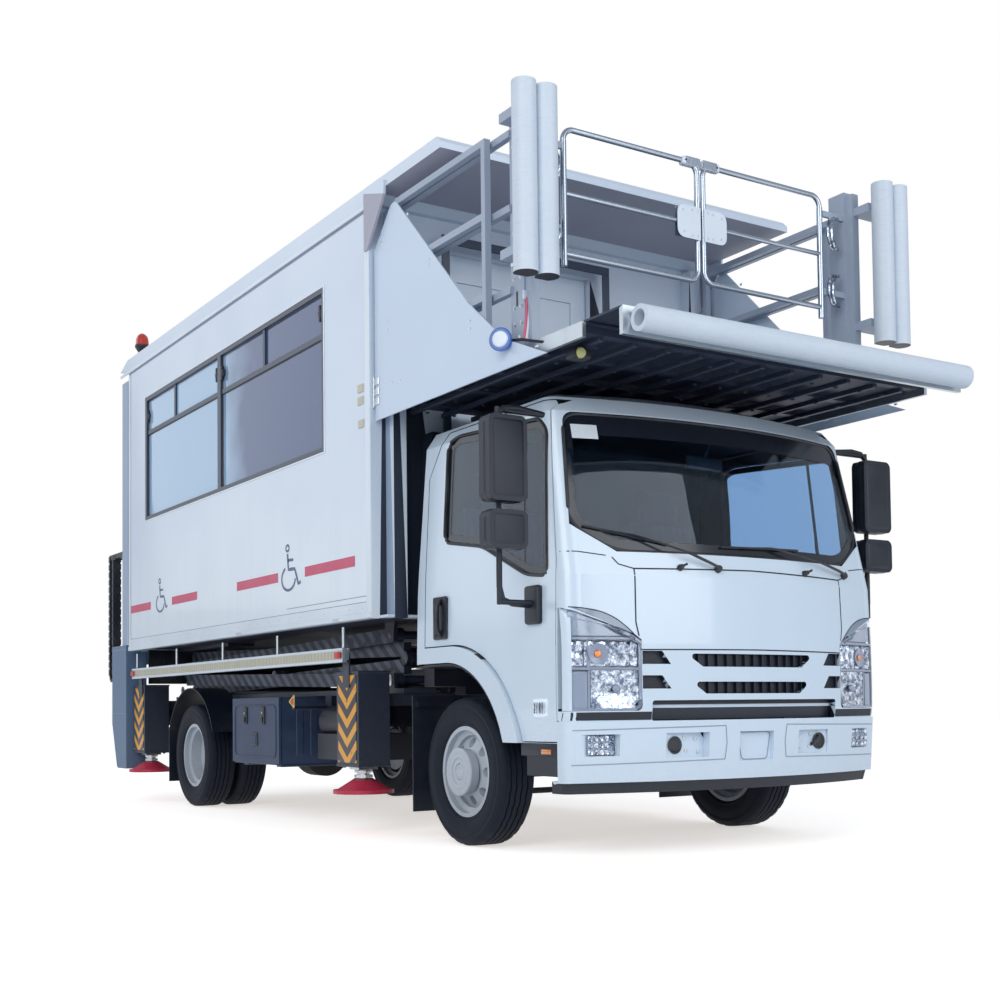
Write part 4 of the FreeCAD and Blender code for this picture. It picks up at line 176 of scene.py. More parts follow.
world = bpy.data.worlds.new("overcast")
bpy.context.scene.world = world
world.use_nodes = True
sky = world.node_tree
SKY_TONE = (0.84, 0.91, 1.0)
BACKDROP_TONE = (1.0, 1.0, 1.0)
SKY_STRENGTH = 0.52
BACKDROP_STRENGTH = 1.0
ray = sky.nodes.new("ShaderNodeLightPath")
either = sky.nodes.new("ShaderNodeMath")
either.operation = "MAXIMUM"
sky.links.new(ray.outputs["Is Camera Ray"], either.inputs[0])
sky.links.new(ray.outputs["Is Transmission Ray"], either.inputs[1])
plain = sky.nodes.new("ShaderNodeBackground")
plain.inputs["Color"].default_value = (*BACKDROP_TONE, 1)
plain.inputs["Strength"].default_value = BACKDROP_STRENGTH
dome = sky.nodes["Background"]
dome.inputs["Color"].default_value = (*SKY_TONE, 1)
dome.inputs["Strength"].default_value = SKY_STRENGTH
mixed = sky.nodes.new("ShaderNodeMixShader")
sky.links.new(either.outputs[0], mixed.inputs[0])
sky.links.new(dome.outputs[0], mixed.inputs[1])
sky.links.new(plain.outputs[0], mixed.inputs[2])
sky.links.new(mixed.outputs[0], sky.nodes["World Output"].inputs["Surface"])

LAMPS = (  # place, aim, size, watts, colour
    ((9.0, -11.0, 6.5), (0, 0, 1.2), 8.0, 620.0, (1.0, 0.99, 0.97)),
    ((14.0, 3.0, 5.5), (2.0, 0, 1.2), 7.0, 430.0, (0.93, 0.96, 1.0)),
    ((-9.0, -7.0, 6.0), (0, 0, 1.2), 8.0, 190.0, (0.93, 0.96, 1.0)),
)
for place, aim, breadth, watts, tone in LAMPS:
    lamp = bpy.data.lights.new("soft_lamp", "AREA")
    lamp.energy, lamp.size, lamp.color = watts, breadth, tone
    holder = bpy.data.objects.new("soft_lamp", lamp)
    holder.location = place
    holder.rotation_euler = (Vector(aim) - Vector(place)).to_track_quat("-Z", "Y").to_euler()
    bpy.context.collection.objects.link(holder)

EYE = Vector((8.0295, -4.603, 0.704))
HEADING, TILT, LEAN = math.radians(147.385), math.radians(2.358), math.radians(-0.661)
lens = bpy.data.cameras.new("camera")
lens.lens, lens.sensor_width = 48.88, 36.0
lens.shift_x, lens.shift_y = -0.00225, 0.15285
ahead = Vector((math.cos(HEADING) * math.cos(TILT), math.sin(HEADING) * math.cos(TILT), math.sin(TILT)))
across = ahead.cross(Vector((0, 0, 1))).normalized()
upward = across.cross(ahead)
right = across * math.cos(LEAN) + upward * math.sin(LEAN)
over = upward * math.cos(LEAN) - across * math.sin(LEAN)
camera = bpy.data.objects.new("camera", lens)
camera.matrix_world = Matrix.Translation(EYE) @ Matrix((right, over, -ahead)).transposed().to_4x4()
bpy.context.collection.objects.link(camera)
bpy.context.scene.camera = camera
bpy.context.scene.view_settings.view_transform = "Standard"


# ---------------------------------------- chassis, springs, axles and steering
# Two black ladder rails with crossmembers, leaf springs, axles, tank and engine of a light lorry.
# The steel is painted in thin blue-black chassis enamel, gone chalky where road dust sits on it.


def painted(name, tone, soil, gloss=0.35, soiling=0.35, soil_top=0.9, peel=0.05, drift=0.06, coat=0.0):
    """Paint with a slight drift of tone, spray texture, and dust that thins out with height."""
    paint = Paint(name, Coat_Weight=coat, Coat_Roughness=0.08)
    broad = paint.noise(1.7, 4.0)
    fine = paint.noise(38.0, 5.0, 0.65)
    height = paint.axes()[2]
    low = ((soil_top - height) / soil_top).clamped()
    dust = ((broad * 0.6 + fine * 0.8 - 0.55) * 2.2 + low * 0.9 - 0.2).clamped() * soiling * low
    darker, lighter = [tuple(min(channel * (1 + sign * drift), 1.0) for channel in tone)
                       for sign in (-1, 1)]
    body = paint.blend(((broad - 0.3) * 2.4).clamped(), darker, lighter)
    grain = paint.noise(420.0, 2.0)
    paint.bumped(grain, peel, 0.001)
    return paint.finish(Base_Color=paint.blend(dust, body, soil),
                        Roughness=(gloss + (fine - 0.5) * 0.05 + dust * 0.4).clamped())


def metal(name, tone, gloss, along=(1.0, 40.0, 40.0), shade=0.12, stains=0.15, metallic=1.0):
    """Drawn or rolled metal: long fine lines, cloudy roughness and a few dull stains."""
    paint = Paint(name)
    lines = paint.noise(14.0, 4.0, 0.7, paint.stretched(along))
    cloud = paint.noise(6.0, 4.0, 0.6)
    stain = ((cloud - 0.55) * 5.0).clamped() * stains
    dull = tuple(channel * 0.6 for channel in tone)
    soft = tuple(channel * (1 - shade) for channel in tone)
    paint.bumped(lines, 0.08, 0.001)
    worn = paint.blend(stain, paint.blend(lines, soft, tone), dull)
    return paint.finish(Base_Color=worn, Metallic=metallic,
                        Roughness=(gloss + (lines - 0.5) * 0.16 + stain * 0.5).clamped())


def moulded(name, tone, gloss=0.5, grain=220.0, depth=0.25, soil=(0.16, 0.17, 0.18), soiling=0.3):
    """Grained moulded plastic or rubber, with dust caught in the grain."""
    paint = Paint(name)
    pebble = paint.node("ShaderNodeTexVoronoi", {}, {"Vector": paint.place(), "Scale": grain}, "Distance")
    cloud = paint.noise(5.0, 5.0, 0.6)
    dust = ((cloud - 0.42) * 3.0).clamped() * soiling
    paint.bumped(pebble + paint.noise(900.0, 1.0) * 0.3, depth, 0.0008)
    return paint.finish(Base_Color=paint.blend(dust, tone, soil), Roughness=(gloss + dust * 0.5).clamped())


def dress(finish, *nodes):
    for node in nodes:
        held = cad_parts[node]
        if not held.material_slots:
            held.data.materials.append(finish)
        for place in held.material_slots:
            place.material = finish
        held.data.shade_smooth()
        held.data.set_sharp_from_angle(angle=math.radians(32))


def ordered(one, other):
    """The low and the high corner of the box between two opposite corners."""
    return [Vector([pick(pair) for pair in zip(one, other)]) for pick in (min, max)]


class Form:
    """A mesh while it is built, in the machine's own coordinates."""

    def __init__(self):
        self.points, self.faces, self.finishes, self.finish = [], [], [], 0

    def add(self, points, faces):
        start = len(self.points)
        self.points += [Vector(point) for point in points]
        self.faces += [[start + corner for corner in face] for face in faces]
        self.finishes += [self.finish] * len(faces)

    def block(self, one, other, edge=0.0, rows=2, turn=None):
        """A box between two corners, its edges rounded, then turned about its middle."""
        solid = bmesh.new()
        bmesh.ops.create_cube(solid, size=1.0)
        low, high = ordered(one, other)
        for vertex in solid.verts:
            vertex.co = Vector([co * (h - l) for co, l, h in zip(vertex.co, low, high)])
        if edge:
            bmesh.ops.bevel(solid, geom=solid.edges[:], offset=edge, segments=rows,
                            affect="EDGES", profile=0.5)
        place = Matrix.Translation((low + high) / 2) @ (turn.to_4x4() if turn else Matrix.Identity(4))
        solid.verts.index_update()
        self.add([place @ vertex.co for vertex in solid.verts],
                 [[vertex.index for vertex in face.verts] for face in solid.faces])
        solid.free()

    def turned(self, profile, centre, axis, sides=24):
        """A lathe form: (distance along the axis, radius) pairs turned about the axis."""
        axis = Vector(axis).normalized()
        aside = axis.orthogonal().normalized()
        upright = axis.cross(aside)
        points, rings = [], []
        for along, radius in profile:
            middle = Vector(centre) + axis * along
            if radius < 1e-6:
                rings.append([len(points)] * sides)
                points.append(middle)
                continue
            rings.append(list(range(len(points), len(points) + sides)))
            for step in range(sides):
                turn = 2 * math.pi * step / sides
                points.append(middle + aside * (radius * math.cos(turn))
                              + upright * (radius * math.sin(turn)))
        faces = []
        for near, far in zip(rings, rings[1:]):
            for step in range(sides):
                after = (step + 1) % sides
                corners = [near[step], near[after], far[after], far[step]]
                face = [corner for i, corner in enumerate(corners) if corner != corners[i - 1]]
                if len(face) > 2:
                    faces.append(face)
        self.add(points, faces)

    def rod(self, start, end, radius, sides=16, edge=0.0):
        length = (Vector(end) - Vector(start)).length
        side = [(0, radius), (length, radius)]
        if edge:
            side = [(0, radius - edge), (edge, radius), (length - edge, radius), (length, radius - edge)]
        self.turned([(0, 0), *side, (length, 0)], start, Vector(end) - Vector(start), sides)

    def bolt(self, centre, axis, size=0.012, lift=0.007):
        """A hexagon head on a thin washer."""
        axis = Vector(axis).normalized()
        self.turned([(0, size * 1.25), (lift * 0.25, size * 1.25), (lift * 0.25, 0)], centre, axis, 14)
        self.turned([(lift * 0.2, size), (lift * 0.9, size), (lift, size * 0.85), (lift, 0)],
                    centre, axis, 6)

    def tube(self, path, radius, sides=10, closed=False):
        """A round bar or hose along a path, square to it all the way."""
        path = [Vector(point) for point in path]
        last = len(path) - 1
        points, aside = [], None
        for i, point in enumerate(path):
            before = path[i - 1] if i or closed else path[0]
            after = path[(i + 1) % len(path)] if i < last or closed else path[last]
            ahead = (after - before).normalized()
            aside = ahead.orthogonal() if aside is None else aside - ahead * aside.dot(ahead)
            aside.normalize()
            across = ahead.cross(aside)
            for step in range(sides):
                turn = 2 * math.pi * step / sides
                points.append(point + (aside * math.cos(turn) + across * math.sin(turn)) * radius)
        faces = []
        for ring in range(len(path) if closed else last):
            here, there = ring * sides, ((ring + 1) % len(path)) * sides
            for step in range(sides):
                after = (step + 1) % sides
                faces.append([here + step, here + after, there + after, there + step])
        if not closed:
            faces += [list(range(sides))[::-1], [last * sides + step for step in range(sides)]]
        self.add(points, faces)

    def plate(self, outline, normal, thick):
        """A flat cut plate: its outline's corners, and how far it is thick along its normal."""
        back = Vector(normal).normalized() * thick
        count = len(outline)
        points = [Vector(point) for point in outline]
        faces = [list(range(count)), list(range(count, 2 * count))[::-1]]
        faces += [[i, (i + 1) % count, count + (i + 1) % count, count + i] for i in range(count)]
        self.add(points + [point + back for point in points], faces)

    def made(self, name, body, *finishes, slot=None, sharp=32, closed=True):
        mesh = bpy.data.meshes.new(name)
        mesh.from_pydata(self.points, [], self.faces)
        for finish in finishes:
            mesh.materials.append(finish)
        mesh.polygons.foreach_set("material_index", self.finishes)
        if closed:
            work = bmesh.new()
            work.from_mesh(mesh)
            bmesh.ops.recalc_face_normals(work, faces=work.faces[:])
            if work.calc_volume(signed=True) < 0:
                bmesh.ops.reverse_faces(work, faces=work.faces[:])
            work.to_mesh(mesh)
            work.free()
        mesh.shade_smooth()
        mesh.set_sharp_from_angle(angle=math.radians(sharp))
        piece = bpy.data.objects.new(name, mesh)
        bpy.context.collection.objects.link(piece)
        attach(piece, body)
        return piece


ROAD_DUST = (0.20, 0.20, 0.19)
chassis_black = painted("chassis_black", (0.007, 0.014, 0.034), (0.13, 0.14, 0.16), gloss=0.45, soiling=0.3,
                        peel=0.12)
cast_iron = painted("cast_iron", (0.03, 0.032, 0.036), (0.16, 0.13, 0.11), gloss=0.65,
                    soiling=0.6, peel=0.5)
black_moulding = moulded("black_moulding", (0.005, 0.009, 0.020), 0.42, soil=(0.07, 0.08, 0.10),
                         soiling=0.2)
bare_steel = metal("bare_steel", (0.62, 0.64, 0.66), 0.28)
dress(chassis_black, "chassis_frame", "frame_crossmembers", "fuel_tank", "cylinder_barrels")
dress(cast_iron, "front_axle_beam", "rear_axle", "leaf_springs", "engine_block", "steering_knuckle_left",
      "steering_knuckle_right", "tie_rod")
dress(black_moulding, "chassis_gear", "mudguards")
dress(bare_steel, "cylinder_rods")


# ---------------------------------------- tyres and wheels
# Tubeless light-lorry tyres, five ribs of zig-zag tread with sipes in the shoulders, on pressed
# silver steel wheels with round hand holes: a broad hub cover in front, and cone nuts round the
# hub of the twin wheels behind.

rubber = Paint("tyre_rubber", Specular_IOR_Level=0.3)
dusty = rubber.noise(9.0, 5.0, 0.65)
rubber.bumped(rubber.noise(260.0, 3.0), 0.18, 0.001)
tyre_rubber = rubber.finish(
    Base_Color=rubber.blend(((dusty - 0.5) * 2.6).clamped(), (0.004, 0.008, 0.018), (0.013, 0.018, 0.032)),
    Roughness=(dusty * 0.3 + 0.56).clamped())
wheel_silver = painted("wheel_silver", (0.50, 0.55, 0.61), (0.20, 0.18, 0.16), gloss=0.30, soiling=0.4,
                       soil_top=0.6)
hub_black = painted("hub_black", (0.02, 0.025, 0.035), ROAD_DUST, gloss=0.4, soiling=0.3)
dress(wheel_silver, "front_rim_left", "front_rim_right", "rear_rims_left", "rear_rims_right")

TYRE_STEPS = 120
GROOVES = (-0.049, -0.0165, 0.0165, 0.049)
GROOVE_DEEP, GROOVE_HALF, SWAY = 0.009, 0.0042, 0.0015
ZIGZAG = 4  # steps round the tyre from one zig to the next; a sipe is cut at each
SIPE_DEEP, SHOULDER_WIDE, SHOULDER_DEEP = 0.0045, 0.031, 0.012


def tyre_rings(radius, half, seat):
    """(across, radius, sway) of each ring of one tyre, from one bead over the tread to the other."""
    side = [(inward - half, reach, 0) for inward, reach in (
        (0.034, seat), (0.022, seat + 0.014), (0.012, seat + 0.022), (0.009, seat + 0.030),
        (0.011, seat + 0.033), (0.001, seat + 0.062), (0, seat + 0.078), (0.0015, seat + 0.100),
        (0.0035, seat + 0.103), (0.0035, seat + 0.121), (0.002, seat + 0.124),
        (0.010, radius - 0.017), (0.019, radius - 0.006), (0.030, radius - 0.0012))]
    groove_form = ((-1, 0), (-0.6, GROOVE_DEEP), (0.6, GROOVE_DEEP), (1, 0))
    tread = [(groove + share * GROOVE_HALF, radius - deep, 1)
             for groove in GROOVES for share, deep in groove_form]
    return side + tread + [(-x, r, 0) for x, r, _ in reversed(side)]


def tyre_form(form, centre, half, radius, seat):
    rings = tyre_rings(radius, half, seat)
    points = []
    for across, reach, sway in rings:
        for step in range(TYRE_STEPS):
            turn = 2 * math.pi * step / TYRE_STEPS
            wave = SWAY * (1 if step % ZIGZAG < ZIGZAG / 2 else -1) * sway
            shoulder = abs(across) > half - SHOULDER_WIDE and reach > radius - SHOULDER_DEEP
            sunk = SIPE_DEEP if shoulder and step % ZIGZAG == 0 else 0.0
            points.append((centre.x + (reach - sunk) * math.cos(turn), centre.y + across + wave,
                           centre.z + (reach - sunk) * math.sin(turn)))
    faces = []
    for ring in range(len(rings) - 1):
        here, there = ring * TYRE_STEPS, (ring + 1) * TYRE_STEPS
        for step in range(TYRE_STEPS):
            after = (step + 1) % TYRE_STEPS
            faces.append([here + step, here + after, there + after, there + step])
    form.add(points, faces)


class Skin:
    """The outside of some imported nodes, on which trim is laid, without faces further aside than reach."""

    def __init__(self, *nodes, reach=math.inf):
        points, faces = [], []
        for node in nodes:
            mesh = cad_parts[node].data
            start = len(points)
            points += [vertex.co.copy() for vertex in mesh.vertices]
            faces += [[start + corner for corner in face.vertices] for face in mesh.polygons
                      if abs(face.center.y) < reach]
        self.tree = BVHTree.FromPolygons(points, faces)

    def meet(self, point, towards, rise=0.0):
        """Where a line from the point meets the skin, lifted off it, and which way is out."""
        towards = Vector(towards)
        hit, normal = self.tree.ray_cast(Vector(point) - towards * 3.0, towards)[:2]
        if hit is None:
            hit, normal = self.tree.find_nearest(Vector(point))[:2]
        if normal.dot(towards) > 0:
            normal = -normal
        return hit + normal * rise, normal


SEAT = 0.224  # radius at which a tyre meets its rim
SLACK = 0.0002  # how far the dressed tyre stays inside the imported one
NUTS, NUT_REACH, HUB_BOLT_REACH = 6, 0.085, 0.032
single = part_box("front_tyre_left")
tyre_half = (single[1].y - single[0].y) / 2
for node, rim, body, hand, twin in (
        ("front_tyre_left", "front_rim_left", "front_wheel_left", 1, False),
        ("front_tyre_right", "front_rim_right", "front_wheel_right", -1, False),
        ("rear_tyres_left", "rear_rims_left", "rear_wheels_left", 1, True),
        ("rear_tyres_right", "rear_rims_right", "rear_wheels_right", -1, True)):
    low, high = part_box(node)
    middle, radius = (low + high) / 2, (high.z - low.z) / 2
    tyre = Form()
    for across in ((low.y + tyre_half, high.y - tyre_half) if twin else (middle.y,)):
        tyre_form(tyre, Vector((middle.x, across, middle.z)), tyre_half - SLACK, radius - SLACK, SEAT)
    piece = tyre.made(f"{node}_tread", body, tyre_rubber, slot="tyre", sharp=28, closed=False)
    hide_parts(node)
    wheel_skin = Skin(rim)
    fittings = Form()
    out = Vector((0, hand, 0))
    hub = wheel_skin.meet(middle, -out)[0]
    if twin:
        for i in range(NUTS):
            turn = 2 * math.pi * (i + 0.5) / NUTS
            at = middle + Vector((math.cos(turn), 0, math.sin(turn))) * NUT_REACH
            seat_at = wheel_skin.meet(at, -out)[0]
            fittings.turned([(-0.002, 0.019), (0.004, 0.0145), (0.004, 0.0125), (0.013, 0.0125),
                             (0.016, 0.0075), (0.016, 0)], seat_at, out, 6)
            fittings.rod(seat_at, seat_at + out * 0.022, 0.005, 10, 0.001)
    fittings.finish = 1
    if not twin:
        face = Vector((middle.x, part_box(rim)[1 if hand > 0 else 0].y, middle.z))
        fittings.turned([(-0.050, 0.108), (-0.046, 0.120), (0.000, 0.125), (0.006, 0.122), (0.008, 0.116),
                         (0.008, 0.097), (0.0062, 0.095), (0.0062, 0.091), (0.008, 0.089), (0.008, 0.077),
                         (0.004, 0.070), (-0.002, 0.069)], face, out, 48)
    fittings.turned([(-0.004, 0.040), (0.002, 0.040), (0.004, 0.037), (0.004, 0.026), (0.002, 0.024),
                     (0.002, 0)], hub, out, 32)
    fittings.finish = 0
    for i in range(NUTS):
        turn = 2 * math.pi * i / NUTS
        spoke = Vector((math.cos(turn), 0, math.sin(turn))) * HUB_BOLT_REACH
        fittings.bolt(hub + spoke + out * 0.004, out, 0.0045, 0.004)
    fittings.finish = 2
    valve = Vector((middle.x + 0.178, middle.y, middle.z + 0.05))
    seat_at = wheel_skin.meet(valve, -out)[0]
    fittings.rod(seat_at, seat_at + out * 0.032, 0.0045, 10, 0.001)
    fittings.made(f"{rim}_fittings", body, bare_steel, wheel_silver, hub_black, slot="rim_silver")


# ---------------------------------------- cab shell, front panel, bumper and doors
# A forward-control cab of pressed steel, white enamel under clear coat. The front panel is a flap
# below the screen, and the bumper is one white moulding with a dark lip under it.

CAB_TONE = (0.66, 0.77, 0.88)
CAB_SOIL = (0.42, 0.43, 0.43)
axle_x = sum(corner.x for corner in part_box("front_tyre_left")) / 2
cab_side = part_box("front_panel")[1].y
cab_enamel = painted("cab_enamel", CAB_TONE, CAB_SOIL, gloss=0.26, soiling=0.22, soil_top=0.8, peel=0.008,
                     drift=0.015, coat=0.5)
cab_moulding = painted("cab_moulding", CAB_TONE, CAB_SOIL, gloss=0.36, soiling=0.3, soil_top=0.7, peel=0.02,
                       drift=0.015, coat=0.2)


def spaced(path, step, closed=False):
    """The path's points with more between them, none further apart than the step."""
    path = [Vector(point) for point in path]
    found = []
    for here, there in zip(path, path[1:] + path[:1] if closed else path[1:]):
        count = max(1, math.ceil((there - here).length / step))
        found += [here.lerp(there, i / count) for i in range(count)]
    return found if closed else found + path[-1:]


def rounded(path, radius, steps=5):
    """A closed outline with each of its corners drawn as an arc."""
    path = [Vector(point) for point in path]
    found = []
    for i, corner in enumerate(path):
        before, after = path[i - 1] - corner, path[(i + 1) % len(path)] - corner
        reach = min(radius, before.length * 0.45, after.length * 0.45)
        first, last = corner + before.normalized() * reach, corner + after.normalized() * reach
        for step in range(steps + 1):
            t = step / steps
            found.append(first.lerp(corner, t).lerp(corner.lerp(last, t), t))
    return found


def inset_by(path, distance):
    """A closed flat outline drawn in towards its middle."""
    middle = sum((Vector(point) for point in path), Vector()) / len(path)
    found = []
    for i, point in enumerate(path):
        along = (Vector(path[(i + 1) % len(path)]) - Vector(path[i - 1])).normalized()
        inward = middle - Vector(point)
        inward -= along * inward.dot(along)
        found.append(Vector(point) + inward.normalized() * distance)
    return found


def lay_line(form, skin, path, towards, width, rise=0.001, step=0.025, closed=False):
    """A flat strip of tape, rubber or shadow gap laid along a path on the skin."""
    spots = [skin.meet(point, towards, rise) for point in spaced(path, step, closed)]
    count, points = len(spots), []
    for i, (spot, normal) in enumerate(spots):
        before = spots[i - 1][0] if i or closed else spot
        after = spots[(i + 1) % count][0] if i < count - 1 or closed else spot
        across = normal.cross(after - before).normalized() * (width / 2)
        points += [spot - across, spot + across]
    rows = count if closed else count - 1
    form.add(points,
             [[2 * i, 2 * i + 1, 2 * ((i + 1) % count) + 1, 2 * ((i + 1) % count)] for i in range(rows)])


def lay_sheet(form, skin, spots, towards, rise=0.001, thick=0.0, relief=None):
    """A sheet on the skin, from rows of places; relief(row, column) sinks or lifts a point of it."""
    rows, columns = len(spots), len(spots[0])
    top, under = [], []
    for row in range(rows):
        for column in range(columns):
            spot, normal = skin.meet(spots[row][column], towards, rise)
            top.append(spot + normal * (relief(row, column) if relief else 0.0))
            under.append(spot - normal * thick)
    faces = [[row * columns + column, row * columns + column + 1, (row + 1) * columns + column + 1,
              (row + 1) * columns + column] for row in range(rows - 1) for column in range(columns - 1)]
    if thick:
        start = len(top)
        rim = list(range(columns)) + [row * columns + columns - 1 for row in range(1, rows)]
        rim += [(rows - 1) * columns + column for column in range(columns - 2, -1, -1)]
        rim += [row * columns for row in range(rows - 2, 0, -1)]
        faces += [[start + corner for corner in reversed(face)] for face in faces]
        faces += [[rim[i], rim[(i + 1) % len(rim)], start + rim[(i + 1) % len(rim)], start + rim[i]]
                  for i in range(len(rim))]
        top += under
    form.add(top, faces)


def spread(corners, rows, columns):
    """Rows of places over a four-cornered field: lower left, lower right, upper right, upper left."""
    a, b, c, d = [Vector(corner) for corner in corners]
    return [[a.lerp(b, j / columns).lerp(d.lerp(c, j / columns), i / rows) for j in range(columns + 1)]
            for i in range(rows + 1)]


def both(points):
    """The same points on the other side of the machine."""
    return [(x, -y, z) for x, y, z in points]


def mottled(name, scale, dark, light, gloss, detail=3.0, **surface):
    """A plain finish with soft clouds of a second tone in it."""
    paint = Paint(name, **surface)
    return paint.finish(Roughness=gloss, Base_Color=paint.blend(paint.noise(scale, detail), dark, light))


RIGHTWARD, LEFTWARD, REARWARD = (0, -1, 0), (0, 1, 0), (-1, 0, 0)
DOORS = ((-1, "right_cab_door"), (1, "left_cab_door"))
cab_skin = Skin("cab_shell", "front_panel", "cab_door_left", "cab_door_right", "windscreen", "headlamps")
nose_skin = Skin("cab_shell", "front_panel")
seam_black = painted("seam_black", (0.012, 0.016, 0.026), ROAD_DUST, gloss=0.6, soiling=0.1)
rubber_black = moulded("rubber_black", (0.010, 0.012, 0.018), 0.42, grain=300.0, depth=0.06)

# The pressed seams of the front: the flap's edges and the line where the screen's cowl meets it.
seams = Form()
flap_top, flap_foot, flap_half = 1.352, 0.972, 0.672
for side in (-1, 1):
    lay_line(seams, nose_skin, [(3, side * flap_half, flap_top), (3, side * (flap_half + 0.004), 1.10),
                                (3, side * (flap_half - 0.022), flap_foot)], REARWARD, 0.007)
    lay_line(seams, nose_skin, [(3, side * 0.772, 1.405), (3, side * 0.745, 1.372),
                                (3, side * flap_half, flap_top)], REARWARD, 0.006)
    lay_line(seams, nose_skin, [(3, side * 1.0, 1.428), (3, side * 0.93, 1.428), (3, side * 0.80, 1.412)],
             REARWARD, 0.005)
lay_line(seams, nose_skin, [(3, -flap_half, flap_top), (3, 0, flap_top + 0.012), (3, flap_half, flap_top)],
         REARWARD, 0.007)
lay_line(seams, nose_skin, [(3, -0.65, flap_foot), (3, 0, flap_foot + 0.004), (3, 0.65, flap_foot)],
         REARWARD, 0.006)
seams.made("front_seams", "chassis", seam_black, closed=False)

# Black screen rubber and the baked black band inside it; the broad dark sheet over the header is partly
# frit and partly painted shade from the roof above.
SCREEN = [(3, 0.745, 1.438), (3, 0.948, 1.566), (3, 0.902, 2.106), (3, -0.902, 2.106), (3, -0.948, 1.566),
          (3, -0.745, 1.438)]
screen_skin = Skin("windscreen")
screen_edge = rounded(SCREEN, 0.09)
band = Form()
lay_line(band, screen_skin, inset_by(screen_edge, 0.024), REARWARD, 0.048, rise=0.0012, step=0.04,
         closed=True)
header = [(3, -0.885, 2.005), (3, 0.885, 2.005), (3, 0.875, 2.095), (3, -0.875, 2.095)]
lay_sheet(band, screen_skin, spread(header, 3, 40), REARWARD, rise=0.0012)
baked_black = mottled("baked_black", 8.0, (0.006, 0.009, 0.016), (0.011, 0.015, 0.026), 0.2,
                      Coat_Weight=0.1, Coat_Roughness=0.02)
band.made("screen_band", "chassis", baked_black, closed=False)
rubber = Form()
rubber_path = spaced(inset_by(screen_edge, -0.004), 0.04, True)
rubber.tube([cab_skin.meet(point, REARWARD)[0] for point in rubber_path], 0.009, 8, closed=True)
rubber.made("screen_rubber", "chassis", rubber_black)

tinted_glass = Paint("tinted_glass", Transmission_Weight=1.0, IOR=1.33, Roughness=0.0,
                     Base_Color=(0.42, 0.58, 0.78)).material
dress(tinted_glass, "windscreen")

# Wipers: a black arm from a capped spindle below the glass, and a blade lying on the glass.
wiper = Form()
for spindle, elbow, tip, root in (
        ((3, -0.212, 1.362), (3, -0.648, 1.512), (3, -0.885, 1.552), (3, -0.47, 1.474)),
        ((3, 0.728, 1.376), (3, 0.16, 1.482), (3, -0.165, 1.474), (3, 0.37, 1.488))):
    base, outward = cab_skin.meet(spindle, REARWARD)
    wiper.turned([(0, 0.019), (0.012, 0.019), (0.024, 0.014), (0.027, 0.0)], base, outward, 18)
    arm = []
    for t in (0.0, 0.15, 0.4, 0.7, 1.0):
        rise = 0.022 + 0.02 * math.sin(math.pi * t)
        arm.append(cab_skin.meet(Vector(spindle).lerp(Vector(elbow), t), REARWARD, rise)[0])
    wiper.tube(arm[:3], 0.0075, 8)
    wiper.tube(arm[2:], 0.005, 8)
    blade = [cab_skin.meet(Vector(tip).lerp(Vector(root), t / 8), REARWARD, 0.006)[0] for t in range(9)]
    wiper.tube([point + Vector((0.004, 0, 0)) for point in blade], 0.006, 6)
    wiper.tube([blade[2] + Vector((0.012, 0, 0)), arm[-1], blade[6] + Vector((0.012, 0, 0))], 0.004, 6)
for place in ((3, -0.427, 1.362), (3, 0.384, 1.368)):
    base, outward = cab_skin.meet(place, REARWARD)
    wiper.turned([(0, 0.016), (0.010, 0.016), (0.020, 0.010), (0.026, 0.011), (0.030, 0.0)], base,
                 outward, 16)
    wiper.rod(base + outward * 0.02, base + outward * 0.026 + Vector((0, 0.028, 0.012)), 0.006, 10)
wiper.made("wipers", "chassis", rubber_black)

# A blank white permit sheet inside the top corner of the screen.
permit = Form()
sheet = [(3, -0.865, 1.985), (3, -0.735, 1.985), (3, -0.735, 2.055), (3, -0.865, 2.055)]
lay_sheet(permit, screen_skin, spread(sheet, 2, 4), REARWARD, rise=0.0018)
permit_paper = mottled("permit_paper", 60.0, (0.62, 0.68, 0.74), (0.74, 0.79, 0.84), 0.6)
permit.made("permit_sheet", "chassis", permit_paper, closed=False)


# ---------------------------------------- cab faces: doors, sill, grille and trim
# The same pressings, with each face in its own finish: enamel outside, dark vinyl inside, glass in
# the door windows, black moulding on the mirrors, handles and steps, and black behind the grille.


def refinished(node, body, finishes, choose, sharp=32):
    """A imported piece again, its faces finished by where they lie; choose gives the finish's number."""
    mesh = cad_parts[node].data.copy()
    mesh.materials.clear()
    for finish in finishes:
        mesh.materials.append(finish)
    mesh.polygons.foreach_set("material_index",
                              [choose(face.center, face.normal) for face in mesh.polygons])
    mesh.shade_smooth()
    mesh.set_sharp_from_angle(angle=math.radians(sharp))
    piece = bpy.data.objects.new(f"{node}_finished", mesh)
    bpy.context.collection.objects.link(piece)
    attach(piece, body)
    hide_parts(node)
    return piece


def within(outline, across, up):
    """Whether a place lies inside a flat outline."""
    inside = False
    for (a, b), (c, d) in zip(outline, outline[1:] + outline[:1]):
        if (b > up) != (d > up) and across < (c - a) * (up - b) / (d - b) + a:
            inside = not inside
    return inside


vinyl_dark = moulded("vinyl_dark", (0.016, 0.020, 0.030), 0.55, grain=120.0, depth=0.2)
CABIN_MIDDLE = Vector((axle_x + 0.25, 0, 1.5))
door_window = [(axle_x + x, z) for x, z in (
    (-0.15, 1.59), (0.23, 1.53), (0.64, 1.35), (0.815, 1.33),
    (0.765, 2.025), (0.705, 2.085), (-0.06, 2.135), (-0.15, 2.105))]
MIRROR_REACH, HANDLE_REACH, STEP_TOP, LINING_FOOT = cab_side + 0.009, cab_side + 0.0005, 0.5215, 0.95


def inward(centre, normal):
    faces_in = normal.dot(centre - CABIN_MIDDLE) < 0
    return centre.z > LINING_FOOT and faces_in and abs(centre.y) < cab_side - 0.004


